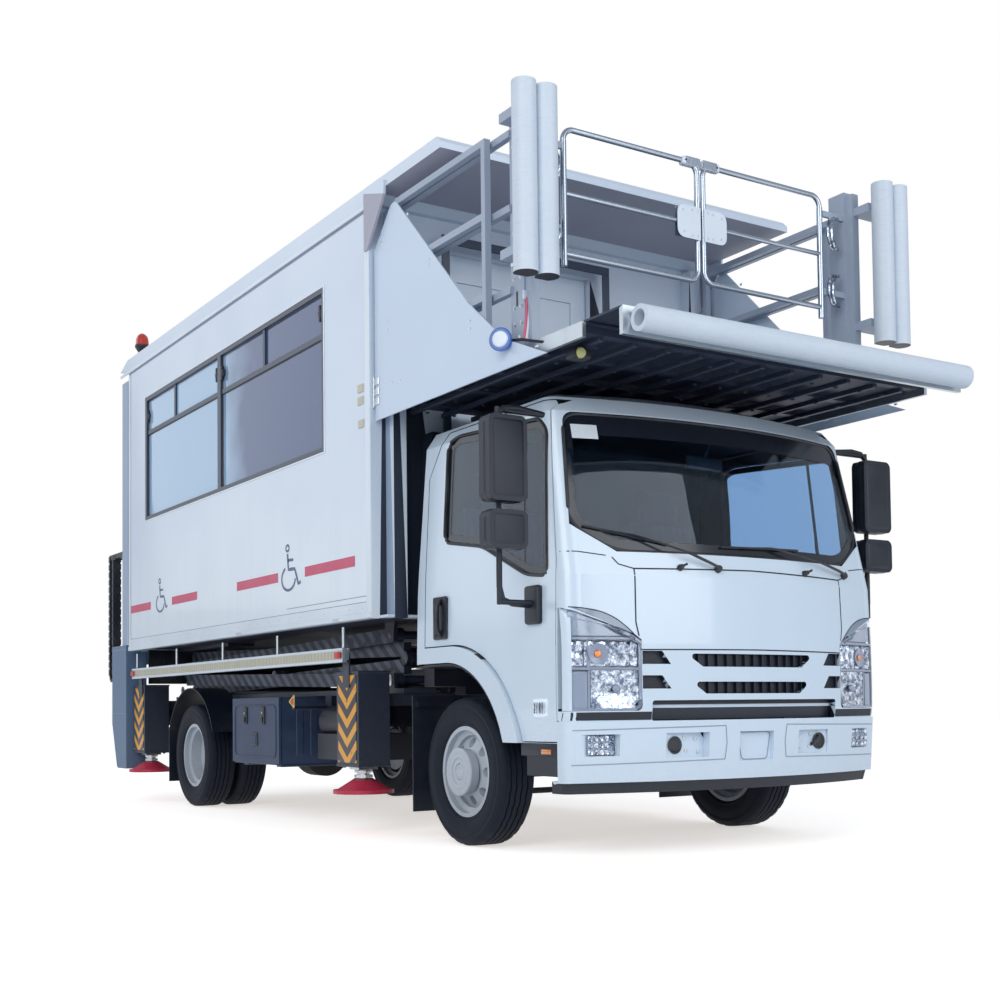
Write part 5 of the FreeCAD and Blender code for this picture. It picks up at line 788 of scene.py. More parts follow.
def door_face(centre, normal):
    near_handle = axle_x - 0.24 < centre.x < axle_x - 0.09 and 1.07 < centre.z < 1.30
    if abs(centre.y) > MIRROR_REACH or (near_handle and abs(centre.y) > HANDLE_REACH):
        return 1
    if within(door_window, centre.x, centre.z) and abs(normal.y) > 0.5 and abs(centre.y) < cab_side - 0.002:
        return 2
    return 3 if inward(centre, normal) else 0


def shell_face(centre, normal):
    if (centre.z < STEP_TOP and centre.x > axle_x + 0.6) or (centre.x > axle_x + 0.9 and centre.z < 0.76):
        return 1
    return 2 if inward(centre, normal) else 0


door_finishes = (cab_enamel, black_moulding, tinted_glass, vinyl_dark)
refinished("cab_door_left", "left_cab_door", door_finishes, door_face)
refinished("cab_door_right", "right_cab_door", door_finishes, door_face)
refinished("cab_shell", "chassis", (cab_enamel, black_moulding, vinyl_dark), shell_face)

# Outlines across and up, also mirrored: two long slots, two corner slots, the gap over the bumper.
GRILLE_VOIDS = [
    [(-0.322, 0.893), (0.322, 0.893), (0.417, 0.955), (-0.417, 0.955)],
    [(-0.306, 0.765), (0.306, 0.765), (0.388, 0.822), (-0.388, 0.822)],
    [(0.500, 0.905), (0.648, 0.905), (0.648, 0.967), (0.546, 0.967)],
    [(0.500, 0.790), (0.648, 0.790), (0.648, 0.852), (0.546, 0.852)],
    [(-0.600, 0.630), (0.600, 0.630), (0.600, 0.735), (-0.600, 0.735)]]


flap_skin = Skin("front_panel")
FLAP_THICK = 0.02


def front_face(centre, normal):
    surface, _ = flap_skin.meet(centre, REARWARD)
    hollow = any(within(void, across, centre.z)
                 for void in GRILLE_VOIDS for across in (centre.y, -centre.y))
    return 1 if hollow or (surface - centre).length > FLAP_THICK else 0


refinished("front_panel", "chassis", (cab_enamel, black_moulding), front_face)

LIP_TOP = 0.358
refinished("front_bumper", "chassis", (cab_moulding, seam_black),
           lambda centre, normal: int(centre.z < LIP_TOP))
for side in (-1, 1):
    strip = Form()
    field = [(4, side * across, up)
             for across, up in ((0.602, 0.645), (1.012, 0.645), (1.012, 0.683), (0.602, 0.683))]
    lay_sheet(strip, nose_skin, spread(field, 1, 16), REARWARD)
    strip.made(f"lamp_strip_{'left' if side > 0 else 'right'}", "chassis", seam_black, closed=False)

# Door window rubber and its black edge band on the glass; a black line marks each door's shut gap.
window_loop = rounded([(x, 0.0, z) for x, z in door_window], 0.05)
OUTSIDE = 1.6  # well outside the door, from where a line meets its outer face
for (hand, body), node, out in zip(DOORS, ("cab_door_right", "cab_door_left"), (LEFTWARD, RIGHTWARD)):
    door_skin = Skin(node, reach=MIRROR_REACH)
    loop = [Vector((point.x, hand * OUTSIDE, point.z)) for point in window_loop]
    trim = Form()
    trim.tube([door_skin.meet(point, out)[0] for point in inset_by(spaced(loop, 0.05, True), -0.006)],
              0.0085, 8, closed=True)
    trim.made(f"{body}_window_rubber", body, rubber_black)
    edge = Form()
    lay_line(edge, door_skin, inset_by(loop, 0.022), out, 0.034, step=0.05, closed=True)
    bar = axle_x + 0.60
    lay_line(edge, door_skin, [(bar, hand * OUTSIDE, 1.40), (bar - 0.05, hand * OUTSIDE, 2.08)], out, 0.022)
    edge.made(f"{body}_window_band", body, baked_black, closed=False)

# Outside handles: a black pull over a shallow dark dish, with a lock below.
for hand, body in DOORS:
    pull = Form()
    x, y = axle_x - 0.165, hand * (cab_side + 0.012)
    pull.block((x - 0.068, y, 1.072), (x + 0.068, y - hand * 0.011, 1.298), 0.0055, 2)
    pull.tube([(x + 0.012, y + hand * off, z) for off, z in (
        (0, 1.09), (0.022, 1.12), (0.026, 1.185), (0.022, 1.25), (0, 1.28))], 0.014, 10)
    pull.turned([(0, 0.012), (0.004, 0.012), (0.005, 0.009), (0.005, 0)], (x - 0.04, y, 1.10),
                (0, hand, 0), 16)
    pull.made(f"{body}_handle", body, rubber_black)

# Mirror heads over their plates: a rounded black shell, and silvered glass on the back face.
mirror_low, mirror_high = axle_x + 0.735, axle_x + 0.825
MIRROR_INNER, MIRROR_OUTER, MIRROR_HEIGHTS = 1.118, 1.330, ((1.66, 2.06), (1.44, 1.62))
silvered_glass = mottled("silvered_glass", 3.0, (0.62, 0.70, 0.76), (0.70, 0.77, 0.82), 0.03, Metallic=1.0)
for hand, body in DOORS:
    head = Form()
    for low, high in MIRROR_HEIGHTS:
        for finish, x0, x1, inset, edge, rows in (  # the shell, the rim around its glass, the glass
                (0, 0.004, mirror_high - mirror_low + 0.003, 0.0, 0.036, 5),
                (0, -0.006, 0.03, 0.006, 0.013, 3),
                (1, -0.0085, 0.0, 0.020, 0.0015, 1)):
            head.finish = finish
            head.block((mirror_low + x0, hand * (MIRROR_INNER + inset), low - 0.002 + inset),
                       (mirror_low + x1, hand * (MIRROR_OUTER - inset), high + 0.002 - inset), edge, rows)
    head.finish = 0
    mast = hand * 1.225
    head.tube([(mirror_low, hand * 0.955, 2.1), (mirror_low, hand * 1.12, 2.118),
               (mirror_low + 0.002, hand * 1.19, 2.11),
               (mirror_low + 0.002, mast, 2.08), (mirror_low + 0.002, mast, 2.0)], 0.0145, 12)
    head.tube([(mirror_low, mast, 1.46), (mirror_low, mast, 1.27),
               (mirror_low - 0.004, hand * 1.205, 1.212),
               (mirror_low - 0.01, hand * 1.15, 1.195), (mirror_low - 0.03, hand * 1.02, 1.19)], 0.0145, 12)
    head.block((mirror_low - 0.075, hand * 1.008, 1.10),
               (mirror_low + 0.045, hand * 1.045, 1.285), 0.016, 3)
    head.made(f"{body}_mirrors", body, black_moulding, silvered_glass)


# ---------------------------------------- headlamps, fog lamps and side repeaters
# Clear lenses over bright metal bowls: a blue-grey upper window, a flasher with an amber bulb,
# and a many-sided main bowl below it, in a grey frame that follows the corner of the cab.

LAMP_FOOT, LAMP_HEAD = 0.688, 1.172
LAMP_INNER, BEND_LOW, BEND_HIGH = 0.652, 1.02, 1.05
lamp_skin = Skin("headlamps")
# Painted reflection: the chrome's colour is patched dark blue and bright, standing for reflected
# surroundings.
chrome = Paint("lamp_chrome", Metallic=1.0)
painted_reflection_ripple = ((chrome.noise(38.0, 3.0, 0.7) - 0.40) * 4.0).clamped()
lamp_chrome = chrome.finish(Roughness=0.16,
                            Base_Color=chrome.blend(painted_reflection_ripple, (0.13, 0.17, 0.24), (0.80, 0.86, 0.94)))
lamp_frame = painted("lamp_frame", (0.20, 0.25, 0.34), CAB_SOIL, gloss=0.25, soiling=0.05, coat=0.6)
lamp_window = painted("lamp_window", (0.22, 0.28, 0.37), CAB_SOIL, gloss=0.12, soiling=0.05,
                      drift=0.2, coat=1.0)
clear = Paint("clear_lens", Transmission_Weight=1.0, IOR=1.06, Base_Color=(0.97, 0.98, 1.0))
clear_lens = clear.finish(Roughness=(clear.noise(30.0) * 0.02))
amber_bulb = mottled("amber_bulb", 80.0, (0.62, 0.13, 0.01), (0.85, 0.28, 0.03), 0.15, Coat_Weight=1.0)


def lamp_inner(z):
    """How far in the lamp reaches at a height; its top edge runs up and outward."""
    if z < BEND_LOW:
        return LAMP_INNER
    first = 0.04 * min((z - BEND_LOW) / (BEND_HIGH - BEND_LOW), 1.0)
    return LAMP_INNER + first + 0.31 * max(z - BEND_HIGH, 0.0) / (LAMP_HEAD - BEND_HIGH)


def lamp_field(low, high, margin, outer, rows, columns):
    """Places over one band of the right lamp."""
    found = []
    for row in range(rows + 1):
        z = low + margin + (high - low - 2 * margin) * row / rows
        near = lamp_inner(z) + margin
        far = outer - margin
        found.append([(4, -(near + (far - near) * column / columns), z) for column in range(columns + 1)])
    return found


def lamp_sheet(form, hand, places, rise, skin=lamp_skin, **laid):
    """A sheet of one headlamp; its places are the right lamp's, mirrored where hand is -1."""
    rows = places if hand > 0 else [both(row)[::-1] for row in places]
    lay_sheet(form, skin, rows, REARWARD, rise, **laid)


BOWL_ROWS, BOWL_COLUMNS = 11, 13
FACET_RISE, BOWL_SUNK = 0.0027, 0.009


def main_bowl(row, column):
    """A shallow dish of facets that lie high and low by turns."""
    up, aside = 2 * row / BOWL_ROWS - 1, 2 * column / BOWL_COLUMNS - 1
    facet = FACET_RISE if (row + column) % 2 else -FACET_RISE
    return facet - BOWL_SUNK * (1 - min(up ** 2 + aside ** 2, 1.0))


def flasher_bowl(row, column):
    return 0.005 * math.sin(column * 1.6) - 0.004 * math.cos(row * 1.9)


for hand, label in ((1, "right"), (-1, "left")):
    frame_form, bowl, lens = Form(), Form(), Form()
    lamp_sheet(frame_form, hand, lamp_field(LAMP_FOOT, LAMP_HEAD, 0.001, 1.012, 24, 16), -0.026,
               thick=0.003)
    frame_form.finish = 1
    lamp_sheet(frame_form, hand, lamp_field(1.030, 1.166, 0.006, 1.004, 10, 12), -0.010, thick=0.012)
    frame_form.finish = 0
    for z, deep in ((0.694, 0.012), (0.884, 0.011), (1.024, 0.012)):
        near = lamp_inner(z) + 0.003
        lamp_sheet(frame_form, hand, [[(4, -(near + (1.004 - near) * j / 14), z + d) for j in range(15)]
                                      for d in (-deep / 2, deep / 2)], -0.004, thick=0.022)
    for y, rise in ((0.658, -0.004), (0.905, -0.010), (1.000, -0.004)):
        lamp_sheet(frame_form, hand, [[(4, -(y + d), z) for d in (-0.006, 0.006)]
                                      for z in (1.02, 0.95, 0.88, 0.82, 0.75, 0.69)], rise, thick=0.022)
    lamp_sheet(frame_form, hand, [[(4, -y, z) for y in (0.914, 0.955, 0.994)] for z in (0.70, 0.78, 0.87)],
               -0.008, thick=0.004)
    lamp_sheet(bowl, hand, lamp_field(0.694, 0.882, 0.006, 0.902, BOWL_ROWS, BOWL_COLUMNS), -0.012,
               relief=main_bowl)
    lamp_sheet(bowl, hand, lamp_field(0.888, 1.020, 0.006, 0.998, 6, 24), -0.018, relief=flasher_bowl)
    centre, out = lamp_skin.meet((4, -hand * 0.862, 0.952), REARWARD, -0.016)
    bowl.finish = 1
    bowl.turned([(-0.004, 0.046), (0.010, 0.050), (0.012, 0.046), (0.004, 0.018)], centre, out, 28)
    bowl.finish = 2
    bowl.turned([(0.0, 0.016), (0.008, 0.017), (0.013, 0.011), (0.015, 0.0)], centre, out, 18)
    bowl.finish = 1
    centre, out = lamp_skin.meet((4, -hand * 0.775, 0.790), REARWARD, -0.016)
    bowl.turned([(0.0, 0.020), (0.010, 0.019), (0.015, 0.012), (0.016, 0.0)], centre, out, 18)
    lamp_sheet(lens, hand, lamp_field(LAMP_FOOT, LAMP_HEAD, 0.0012, 1.0145, 24, 18), 0.0, thick=0.0025)
    shell = frame_form.made(f"{label}_lamp_frame", "chassis", lamp_frame, lamp_window)
    if hand > 0:
        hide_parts("headlamps")
    bowl.made(f"{label}_lamp_bowls", "chassis", lamp_chrome, lamp_frame, amber_bulb, sharp=12, closed=False)
    lens.made(f"{label}_lamp_lens", "chassis", clear_lens, slot="lamp_glass")

    # The brow: the lamp's glass runs on above its opening in a low curve, with a dark edge line;
    # the cab's own enamel closes the corner outside the lamp.
    brow, line, corner = Form(), Form(), Form()
    start, end = Vector((4, -0.690, 1.048)), Vector((4, -0.992, 1.1685))
    chord = [start.lerp(end, i / 16) for i in range(17)]
    bulge = Vector((0, 0.022, 0.030))
    curve = [point + bulge * math.sin(math.pi * i / 16) for i, point in enumerate(chord)]
    rows = [[low.lerp(high, j / 3) for low, high in zip(chord, curve)] for j in range(4)]
    lamp_sheet(brow, hand, rows, 0.0012, cab_skin)
    brow.made(f"{label}_lamp_brow", "chassis", lamp_window, closed=False)
    lay_line(line, cab_skin, curve if hand > 0 else both(curve), REARWARD, 0.005, rise=0.0016)
    line.made(f"{label}_lamp_line", "chassis", seam_black, closed=False)
    lamp_sheet(corner, hand, [[(4, -y, z) for y in (0.986, 0.995, 1.004, 1.0135)]
                              for z in (0.690, 0.78, 0.87, 0.96, 1.05, 1.12, 1.166)], 0.0008, thick=0.003)
    corner.made(f"{label}_lamp_corner", "chassis", cab_enamel)

# Fog lamps and towing eyes sit in the bumper's pockets; a dark lip hangs under the bumper.
bumper_skin = Skin("front_bumper")
FOG_INNER, FOG_OUTER = 0.762, 0.918
for hand, label in ((-1, "right"), (1, "left")):
    fog, eye = Form(), Form()
    face = axle_x + 0.976
    fog.block((face - 0.004, hand * FOG_INNER, 0.484), (face + 0.012, hand * FOG_OUTER, 0.576), 0.005, 2)
    fog.finish = 1
    for row in range(3):
        for column in range(5):
            spot = (face + 0.012, hand * (FOG_INNER + 0.018 + column * 0.030), 0.498 + row * 0.032)
            fog.turned([(0.0, 0.0145), (0.004, 0.012), (0.002, 0.0)], spot, (1, 0, 0), 8)
    fog.finish = 2
    fog.block((face + 0.013, hand * (FOG_INNER + 0.004), 0.488),
              (face + 0.020, hand * (FOG_OUTER - 0.004), 0.572), 0.0028, 2)
    fog.made(f"{label}_fog_lamp", "chassis", lamp_frame, lamp_chrome, clear_lens, sharp=20)
    face = axle_x + 1.069
    centre = (face, hand * 0.472, 0.524)
    eye.turned([(0.0, 0.040), (0.006, 0.042), (0.009, 0.036), (0.002, 0.028), (0.002, 0.0)], centre,
               (1, 0, 0), 28)
    if hand > 0:
        eye.tube([(face - 0.01, 0.472, 0.545), (face + 0.016, 0.462, 0.545), (face + 0.026, 0.440, 0.530),
                  (face + 0.016, 0.424, 0.514), (face - 0.004, 0.424, 0.508)], 0.009, 10)
    eye.finish = 1
    for y, z in ((0.415, 0.556), (0.345, 0.548), (0.405, 0.497), (0.330, 0.488)):
        eye.bolt((face, hand * y, z), (1, 0, 0), 0.008, 0.006)
    eye.made(f"{label}_tow_eye", "chassis", rubber_black, bare_steel)

# Painted shadow: thin darker lines along the bumper's pressed ridges and round the number plate's place.
pressing_shadows = Form()
for points in ([(4, -0.985, 0.600), (4, -0.60, 0.606), (4, -0.20, 0.612)],
               [(4, -0.985, 0.440), (4, -0.60, 0.446), (4, -0.20, 0.452)],
               [(4, -0.20, 0.612), (4, -0.19, 0.53), (4, -0.20, 0.452)]):
    for path in (points, both(points)):
        lay_line(pressing_shadows, bumper_skin, path, REARWARD, 0.005, rise=0.0012)
plate_field = [(4, -0.108, 0.578), (4, 0.108, 0.578), (4, 0.082, 0.446), (4, -0.082, 0.446)]
lay_line(pressing_shadows, bumper_skin, rounded(plate_field, 0.02), REARWARD, 0.006, rise=0.0012, closed=True)
shade = painted("pressed_shadow", (0.30, 0.36, 0.44), CAB_SOIL, gloss=0.5, soiling=0.1)
pressing_shadows.made("bumper_pressing_shadows", "chassis", shade, closed=False)

# Side repeaters on the doors, and the amber side markers on the black sill below them.
for hand, body in DOORS:
    repeater = Form()
    x, y, z = axle_x + 0.758, hand * cab_side, 0.706
    repeater.block((x - 0.058, y - hand * 0.002, z - 0.042),
                   (x + 0.058, y + hand * 0.014, z + 0.042), 0.007, 3)
    repeater.finish = 1
    back, front = (-0.002, 0.0155) if hand > 0 else (0.010, 0.014)
    for column in range(4):
        rear_x = x - 0.040 + column * 0.022
        repeater.block((rear_x, y + hand * back, z - 0.026), (rear_x + 0.014, y + hand * front, z + 0.026),
                       0.002, 1)
    repeater.made(f"{body}_repeater", body, clear_lens, lamp_chrome)
sill = Form()
for hand in (-1, 1):
    sill.finish = 0
    sill.block((axle_x + 0.565, hand * 0.955, 0.478), (axle_x + 0.884, hand * 1.006, 0.540), 0.006, 2)
    sill.finish = 1
    sill.block((axle_x + 0.745, hand * 1.004, 0.488), (axle_x + 0.825, hand * 1.012, 0.512), 0.004, 2)
sill.made("side_sills", "chassis", black_moulding, amber_bulb)

# The black liner in each front wheel arch: a thin curved sheet over the front and top of the tyre.
liner = Form()
ARCH_X, ARCH_Z, ARCH_RADIUS = axle_x - 0.09, 0.375, 0.566
for hand in (-1, 1):
    arc = [math.radians(angle) for angle in range(18, 91, 8)]
    run = [(ARCH_X + ARCH_RADIUS * math.cos(turn), ARCH_Z + ARCH_RADIUS * math.sin(turn)) for turn in arc]
    run += [(axle_x - 0.25, 0.940), (axle_x - 0.425, 0.934)]
    rows = [[(x, hand * y, z) for x, z in run] for y in (1.034, 1.0, 0.90, 0.80)]
    inner = [[(x - (x - ARCH_X) * 0.012 / ARCH_RADIUS, hand * y, z - 0.008) for x, z in run]
             for y in (1.030, 1.0, 0.90, 0.80)]
    count = len(run)
    for row in range(3):
        for step in range(count - 1):
            patch = ((row, step), (row, step + 1), (row + 1, step + 1), (row + 1, step))
            liner.add([sheet[i][j] for sheet in (rows, inner) for i, j in patch],
                      [[0, 1, 2, 3], [7, 6, 5, 4], [0, 4, 5, 1], [3, 2, 6, 7]])
liner.made("arch_liners", "chassis", black_moulding, closed=False)


# ---------------------------------------- cab interior and passenger benches
# Three-piece sprung seats in dark ribbed cloth with a vinyl head rest, a moulded dash
# with a round binnacle, and a four-spoke wheel; vinyl benches along the box walls.

cloth = Paint("seat_cloth", Sheen_Weight=0.25)
weave = cloth.node("ShaderNodeTexVoronoi", {}, {"Vector": cloth.place(), "Scale": 420.0}, "Distance")
_, rib_y, _ = cloth.axes()
ribs = abs(((rib_y * 22.0) % 1.0) - 0.5)
cloth.bumped(weave + ribs * 2.0, 0.35, 0.002)
seat_cloth = cloth.finish(Roughness=0.9,
                          Base_Color=cloth.blend(ribs * 1.6, (0.020, 0.028, 0.048), (0.05, 0.065, 0.10)))
bench_vinyl = moulded("bench_vinyl", (0.045, 0.075, 0.16), 0.45, grain=160.0, depth=0.15)
dash_grey = moulded("dash_grey", (0.035, 0.045, 0.07), 0.6, grain=200.0, depth=0.2)


def cushion(name, body, low, high, finish, seams=3, crown=0.14, rows=18):
    """A stuffed cushion: crowned top, sides pulled in, and sewn channels with a piped edge."""
    low, high = ordered(low, high)
    size, middle = high - low, (low + high) / 2
    thin = min(range(3), key=lambda axis: size[axis])
    wide = [axis for axis in range(3) if axis != thin]
    points, faces = [], []
    count = rows + 1
    for face in (1, -1):
        for i in range(count):
            for j in range(count):
                u, v = 2 * i / rows - 1, 2 * j / rows - 1
                u, v = [math.sin(t * math.pi / 2) for t in (u, v)]
                edge = ((1 - abs(u) ** 5) * (1 - abs(v) ** 5)) ** 0.4
                sewn = u if size[wide[0]] > 2 * size[wide[1]] else v
                lane = abs(math.cos(sewn * math.pi * seams / 2)) ** 0.35
                depth = 0.36 + (0.64 - crown) * edge + crown * (1 - u * u) * (1 - v * v)
                depth *= 1 - 0.10 * (1 - lane) * edge
                pull = 1 - 0.035 * (1 - edge)
                spot = Vector((0, 0, 0))
                spot[wide[0]], spot[wide[1]] = u * pull * size[wide[0]] / 2, v * pull * size[wide[1]] / 2
                spot[thin] = face * depth * size[thin] / 2
                points.append(spot)
    for sheet in range(2):
        start = sheet * count * count
        for i in range(rows):
            for j in range(rows):
                a = start + i * count + j
                faces.append([a, a + 1, a + count + 1, a + count])
    rim = list(range(count)) + [i * count + rows for i in range(1, count)]
    rim += [rows * count + j for j in range(rows - 1, -1, -1)] + [i * count for i in range(rows - 1, 0, -1)]
    after = rim[1:] + rim[:1]
    faces += [[a, b, count * count + b, count * count + a] for a, b in zip(rim, after)]
    form = Form()
    form.add([middle + point for point in points], faces)
    piping = [middle + points[corner].lerp(points[count * count + corner], 0.12) for corner in rim]
    form.tube(piping, min(size) * 0.035, 6, closed=True)
    piece = form.made(name, body, finish, sharp=60)
    return piece


def inside_face(centre, normal):
    return 1 if centre.x < axle_x + 0.42 and centre.z > 1.19 else 0


refinished("cab_interior", "chassis", (dash_grey, seat_cloth), inside_face)
for hand, side in ((-1, "passenger"), (1, "driver")):
    y = hand * 0.56
    rear = axle_x - 0.36
    cushion(f"{side}_seat_cushion", "chassis", (rear + 0.05, y - 0.262, 1.215),
            (rear + 0.495, y + 0.262, 1.372), seat_cloth, seams=3, crown=0.2)
    cushion(f"{side}_seat_back", "chassis", (rear - 0.004, y - 0.255, 1.33),
            (rear + 0.135, y + 0.255, 1.80), seat_cloth, seams=3, crown=0.2)
    cushion(f"{side}_head_rest", "chassis", (rear + 0.004, y - 0.135, 1.79),
            (rear + 0.118, y + 0.135, 1.975), vinyl_dark, seams=0, crown=0.2, rows=12)

# Steering wheel rim and spokes, the instrument hood and a screen on the dash, the inner mirror.
cockpit = Form()
wheel_middle = Vector((axle_x + 0.47, 0.56, 1.42))
tilt = Matrix.Rotation(math.radians(-35), 3, "Y")


def on_wheel(angle, reach, lift=0.0):
    """A place on the steering wheel: an angle round it, how far out, and how far above its plane."""
    a = math.radians(angle)
    return wheel_middle + tilt @ Vector((reach * math.cos(a), reach * math.sin(a), lift))


cockpit.tube([on_wheel(7.5 * i, 0.214) for i in range(48)], 0.0165, 10, closed=True)
for angle in (25, 155, 205, 335):
    cockpit.tube([on_wheel(angle, 0.05, -0.02), on_wheel(angle, 0.21)], 0.011, 8)
cockpit.turned([(-0.03, 0.055), (0.0, 0.062), (0.012, 0.05), (0.016, 0)], wheel_middle,
               tilt @ Vector((0, 0, 1)), 28)
cockpit.block((axle_x + 0.70, 0.34, 1.37), (axle_x + 0.86, 0.80, 1.45), 0.03, 3)
cockpit.block((axle_x + 0.69, -0.16, 1.36), (axle_x + 0.76, 0.12, 1.47), 0.012, 2)
cockpit.block((axle_x + 0.74, -0.10, 1.915), (axle_x + 0.76, 0.14, 1.985), 0.009, 2)
cockpit.rod((axle_x + 0.76, 0.02, 1.98), (axle_x + 0.79, 0.02, 2.04), 0.007, 10)
cockpit.made("cockpit", "chassis", vinyl_dark)

# Benches: a long crowned seat and back over each plain block, sewn into places.
bench_low, bench_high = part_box("box_benches")
bench_base = moulded("bench_base", (0.20, 0.23, 0.28), 0.5, grain=180.0, depth=0.1)


def bench_face(centre, normal):
    return 1 if centre.z > bench_low.z + 0.35 else 0


refinished("box_benches", "box", (bench_base, bench_vinyl), bench_face)
BENCH_SEAT, PLACES = bench_low.z + 0.44, 5
for hand, side in ((-1, "right"), (1, "left")):
    for part, inner, outer, foot, top in (
            ("seat", 0.424, 0.075, BENCH_SEAT - 0.07, BENCH_SEAT + 0.03),
            ("back", 0.120, 0.030, BENCH_SEAT + 0.03, bench_high.z + 0.01)):
        cushion(f"{side}_bench_{part}", "box", (bench_low.x + 0.01, hand * (bench_high.y - inner), foot),
                (bench_high.x - 0.01, hand * (bench_high.y - outer), top), bench_vinyl, seams=PLACES,
                crown=0.2, rows=50)


# ---------------------------------------- scissor lift and stabiliser jacks
# Two stages of box-section arms in dark enamel with silver and black hatch tape, on a welded base;
# four square jack housings carry black and orange chevrons, and their red feet have a zinc stud.

lift_enamel = painted("lift_enamel", (0.020, 0.028, 0.050), (0.12, 0.13, 0.15), gloss=0.42, soiling=0.3,
                      soil_top=1.2)
foot_red = painted("foot_red", (0.60, 0.025, 0.075), (0.26, 0.16, 0.15), gloss=0.38, soiling=0.3,
                   soil_top=0.5)
grey_enamel = painted("grey_enamel", (0.33, 0.42, 0.56), (0.22, 0.24, 0.28), gloss=0.42, soiling=0.25,
                      drift=0.04)
dress(lift_enamel, "lift_base")
drawn_aluminium = metal("drawn_aluminium", (0.62, 0.67, 0.71), 0.36)
trim_white = painted("trim_white", (0.72, 0.79, 0.87), CAB_SOIL, gloss=0.3, soiling=0.1, coat=0.3)

# Arms: hatch tape on the outer face is silver on black, slanted, and worn in patches.
arm = Paint("arm_hatch")
arm_x, _, arm_z = arm.axes()
slant = ((arm_x + arm_z * 1.3) * 7.5) % 1.0
worn = arm.noise(7.0, 4.0)
bars = (slant > 0.5) * (worn < 0.62)
arm_paint = arm.blend(worn, (0.018, 0.024, 0.042), (0.035, 0.045, 0.07))
tape_tone = arm.blend((worn * 1.6).clamped(), (0.20, 0.23, 0.30), (0.09, 0.11, 0.16))
arm_hatch = arm.finish(Roughness=(worn * 0.3 + 0.35).clamped(),
                       Base_Color=arm.blend(bars, arm_paint, tape_tone))
for node, body in (("scissor_outer_lower", "outer_lower_arms"), ("scissor_outer_upper", "outer_upper_arms"),
                   ("scissor_inner_lower", "inner_lower_arms"),
                   ("scissor_inner_upper", "inner_upper_arms")):
    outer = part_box(node)[1].y
    refinished(node, body, (lift_enamel, arm_hatch), lambda centre, normal, outer=outer: int(
        abs(normal.y) > 0.7 and centre.y * normal.y > 0 and abs(centre.y) > outer - 0.06))
pins = Form()
for hand in (-1, 1):
    for x in (axle_x - 1.1, -2.703):
        pins.turned([(0, 0.034), (0.006, 0.034), (0.008, 0.030), (0.008, 0)],
                    (x, hand * 0.8285, 0.88), (0, hand, 0), 24)
pins.made("lift_pin_caps", "chassis", bare_steel)

# Hydraulic hoses and cross tubes lie dark between the arms, over the frame.
hoses = Form()
for x in (-2.2, -1.7, -1.2, 0.45, 0.8):
    hoses.block((x - 0.05, -0.40, 0.803), (x + 0.05, 0.40, 0.845), 0.006, 1)
for lane in range(4):
    y = -0.565 + lane * 0.026
    hoses.tube([(-2.5, y, 0.822), (-1.6, y, 0.818 + lane * 0.004), (-0.9, y - 0.02, 0.822), (0.0, y, 0.818),
                (0.9, y, 0.822)], 0.010, 8)
hoses.made("base_hoses", "chassis", rubber_black)

# Jacks: a welded cap and foot flange, chevron boards on the outer and front faces, zinc studs.
chevron = Paint("chevron_board", Coat_Weight=0.3)
cx, _, cz = chevron.axes()
scuffed = chevron.noise(18.0, 5.0, 0.7)
front_mid, rear_mid = [sum(corner.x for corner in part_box(node)) / 2
                       for node in ("jack_legs_front", "jack_legs_rear")]
aside_front, aside_rear = abs(cx - front_mid), abs(cx - rear_mid)
wave = ((cz - aside_front.least(aside_rear) * 0.85) * 9.2) % 1.0
orange = (wave > 0.52) * (scuffed < 0.66)
chevron_board = chevron.finish(Roughness=(scuffed * 0.25 + 0.3).clamped(), Base_Color=chevron.blend(
    orange, chevron.blend(scuffed, (0.008, 0.010, 0.018), (0.02, 0.022, 0.03)), (0.84, 0.36, 0.012)))
red_tape = painted("red_tape", (0.55, 0.05, 0.05), CAB_SOIL, gloss=0.35, soiling=0.2)
jacks, boards = Form(), Form()
for middle in (front_mid, rear_mid):
    for hand in (-1, 1):
        boards.block((middle - 0.115, hand * 1.149, 0.405), (middle + 0.115, hand * 1.154, 0.905),
                     0.0015, 1)
        for z0, z1 in ((0.381, 0.397), (0.915, 0.929)):
            jacks.block((middle - 0.144, hand * 0.946, z0), (middle + 0.144, hand * 1.154, z1), 0.003, 1)
        for x in (middle - 0.105, middle + 0.105):
            for y in (0.98, 1.12):
                jacks.bolt((x, hand * y, 0.381), (0, 0, -1), 0.011, 0.008)
jacks.made("jack_flanges", "chassis", lift_enamel)
boards.made("jack_chevrons", "chassis", chevron_board)


def foot_face(centre, normal):
    return 1 if centre.z > 0.305 else 0


for node, body, middle in (("jack_legs_front", "front_jacks", front_mid),
                           ("jack_legs_rear", "rear_jacks", rear_mid)):
    refinished(node, body, (foot_red, bare_steel), foot_face)
    collar = Form()
    for hand in (-1, 1):
        centre = (middle, hand * 1.05, 0.0)
        collar.turned([(0.251, 0.112), (0.256, 0.110), (0.260, 0.094), (0.256, 0.09)], centre,
                      (0, 0, 1), 40)
        collar.finish = 1
        collar.turned([(0.318, 0.0385), (0.318, 0.056), (0.334, 0.056), (0.334, 0.0385)], centre,
                      (0, 0, 1), 6)
        collar.turned([(0.345, 0.0385), (0.345, 0.050), (0.350, 0.052), (0.358, 0.052), (0.363, 0.050),
                       (0.363, 0.0385)], centre, (0, 0, 1), 32)
        collar.finish = 0
    collar.made(f"{node}_collars", body, foot_red, bare_steel)

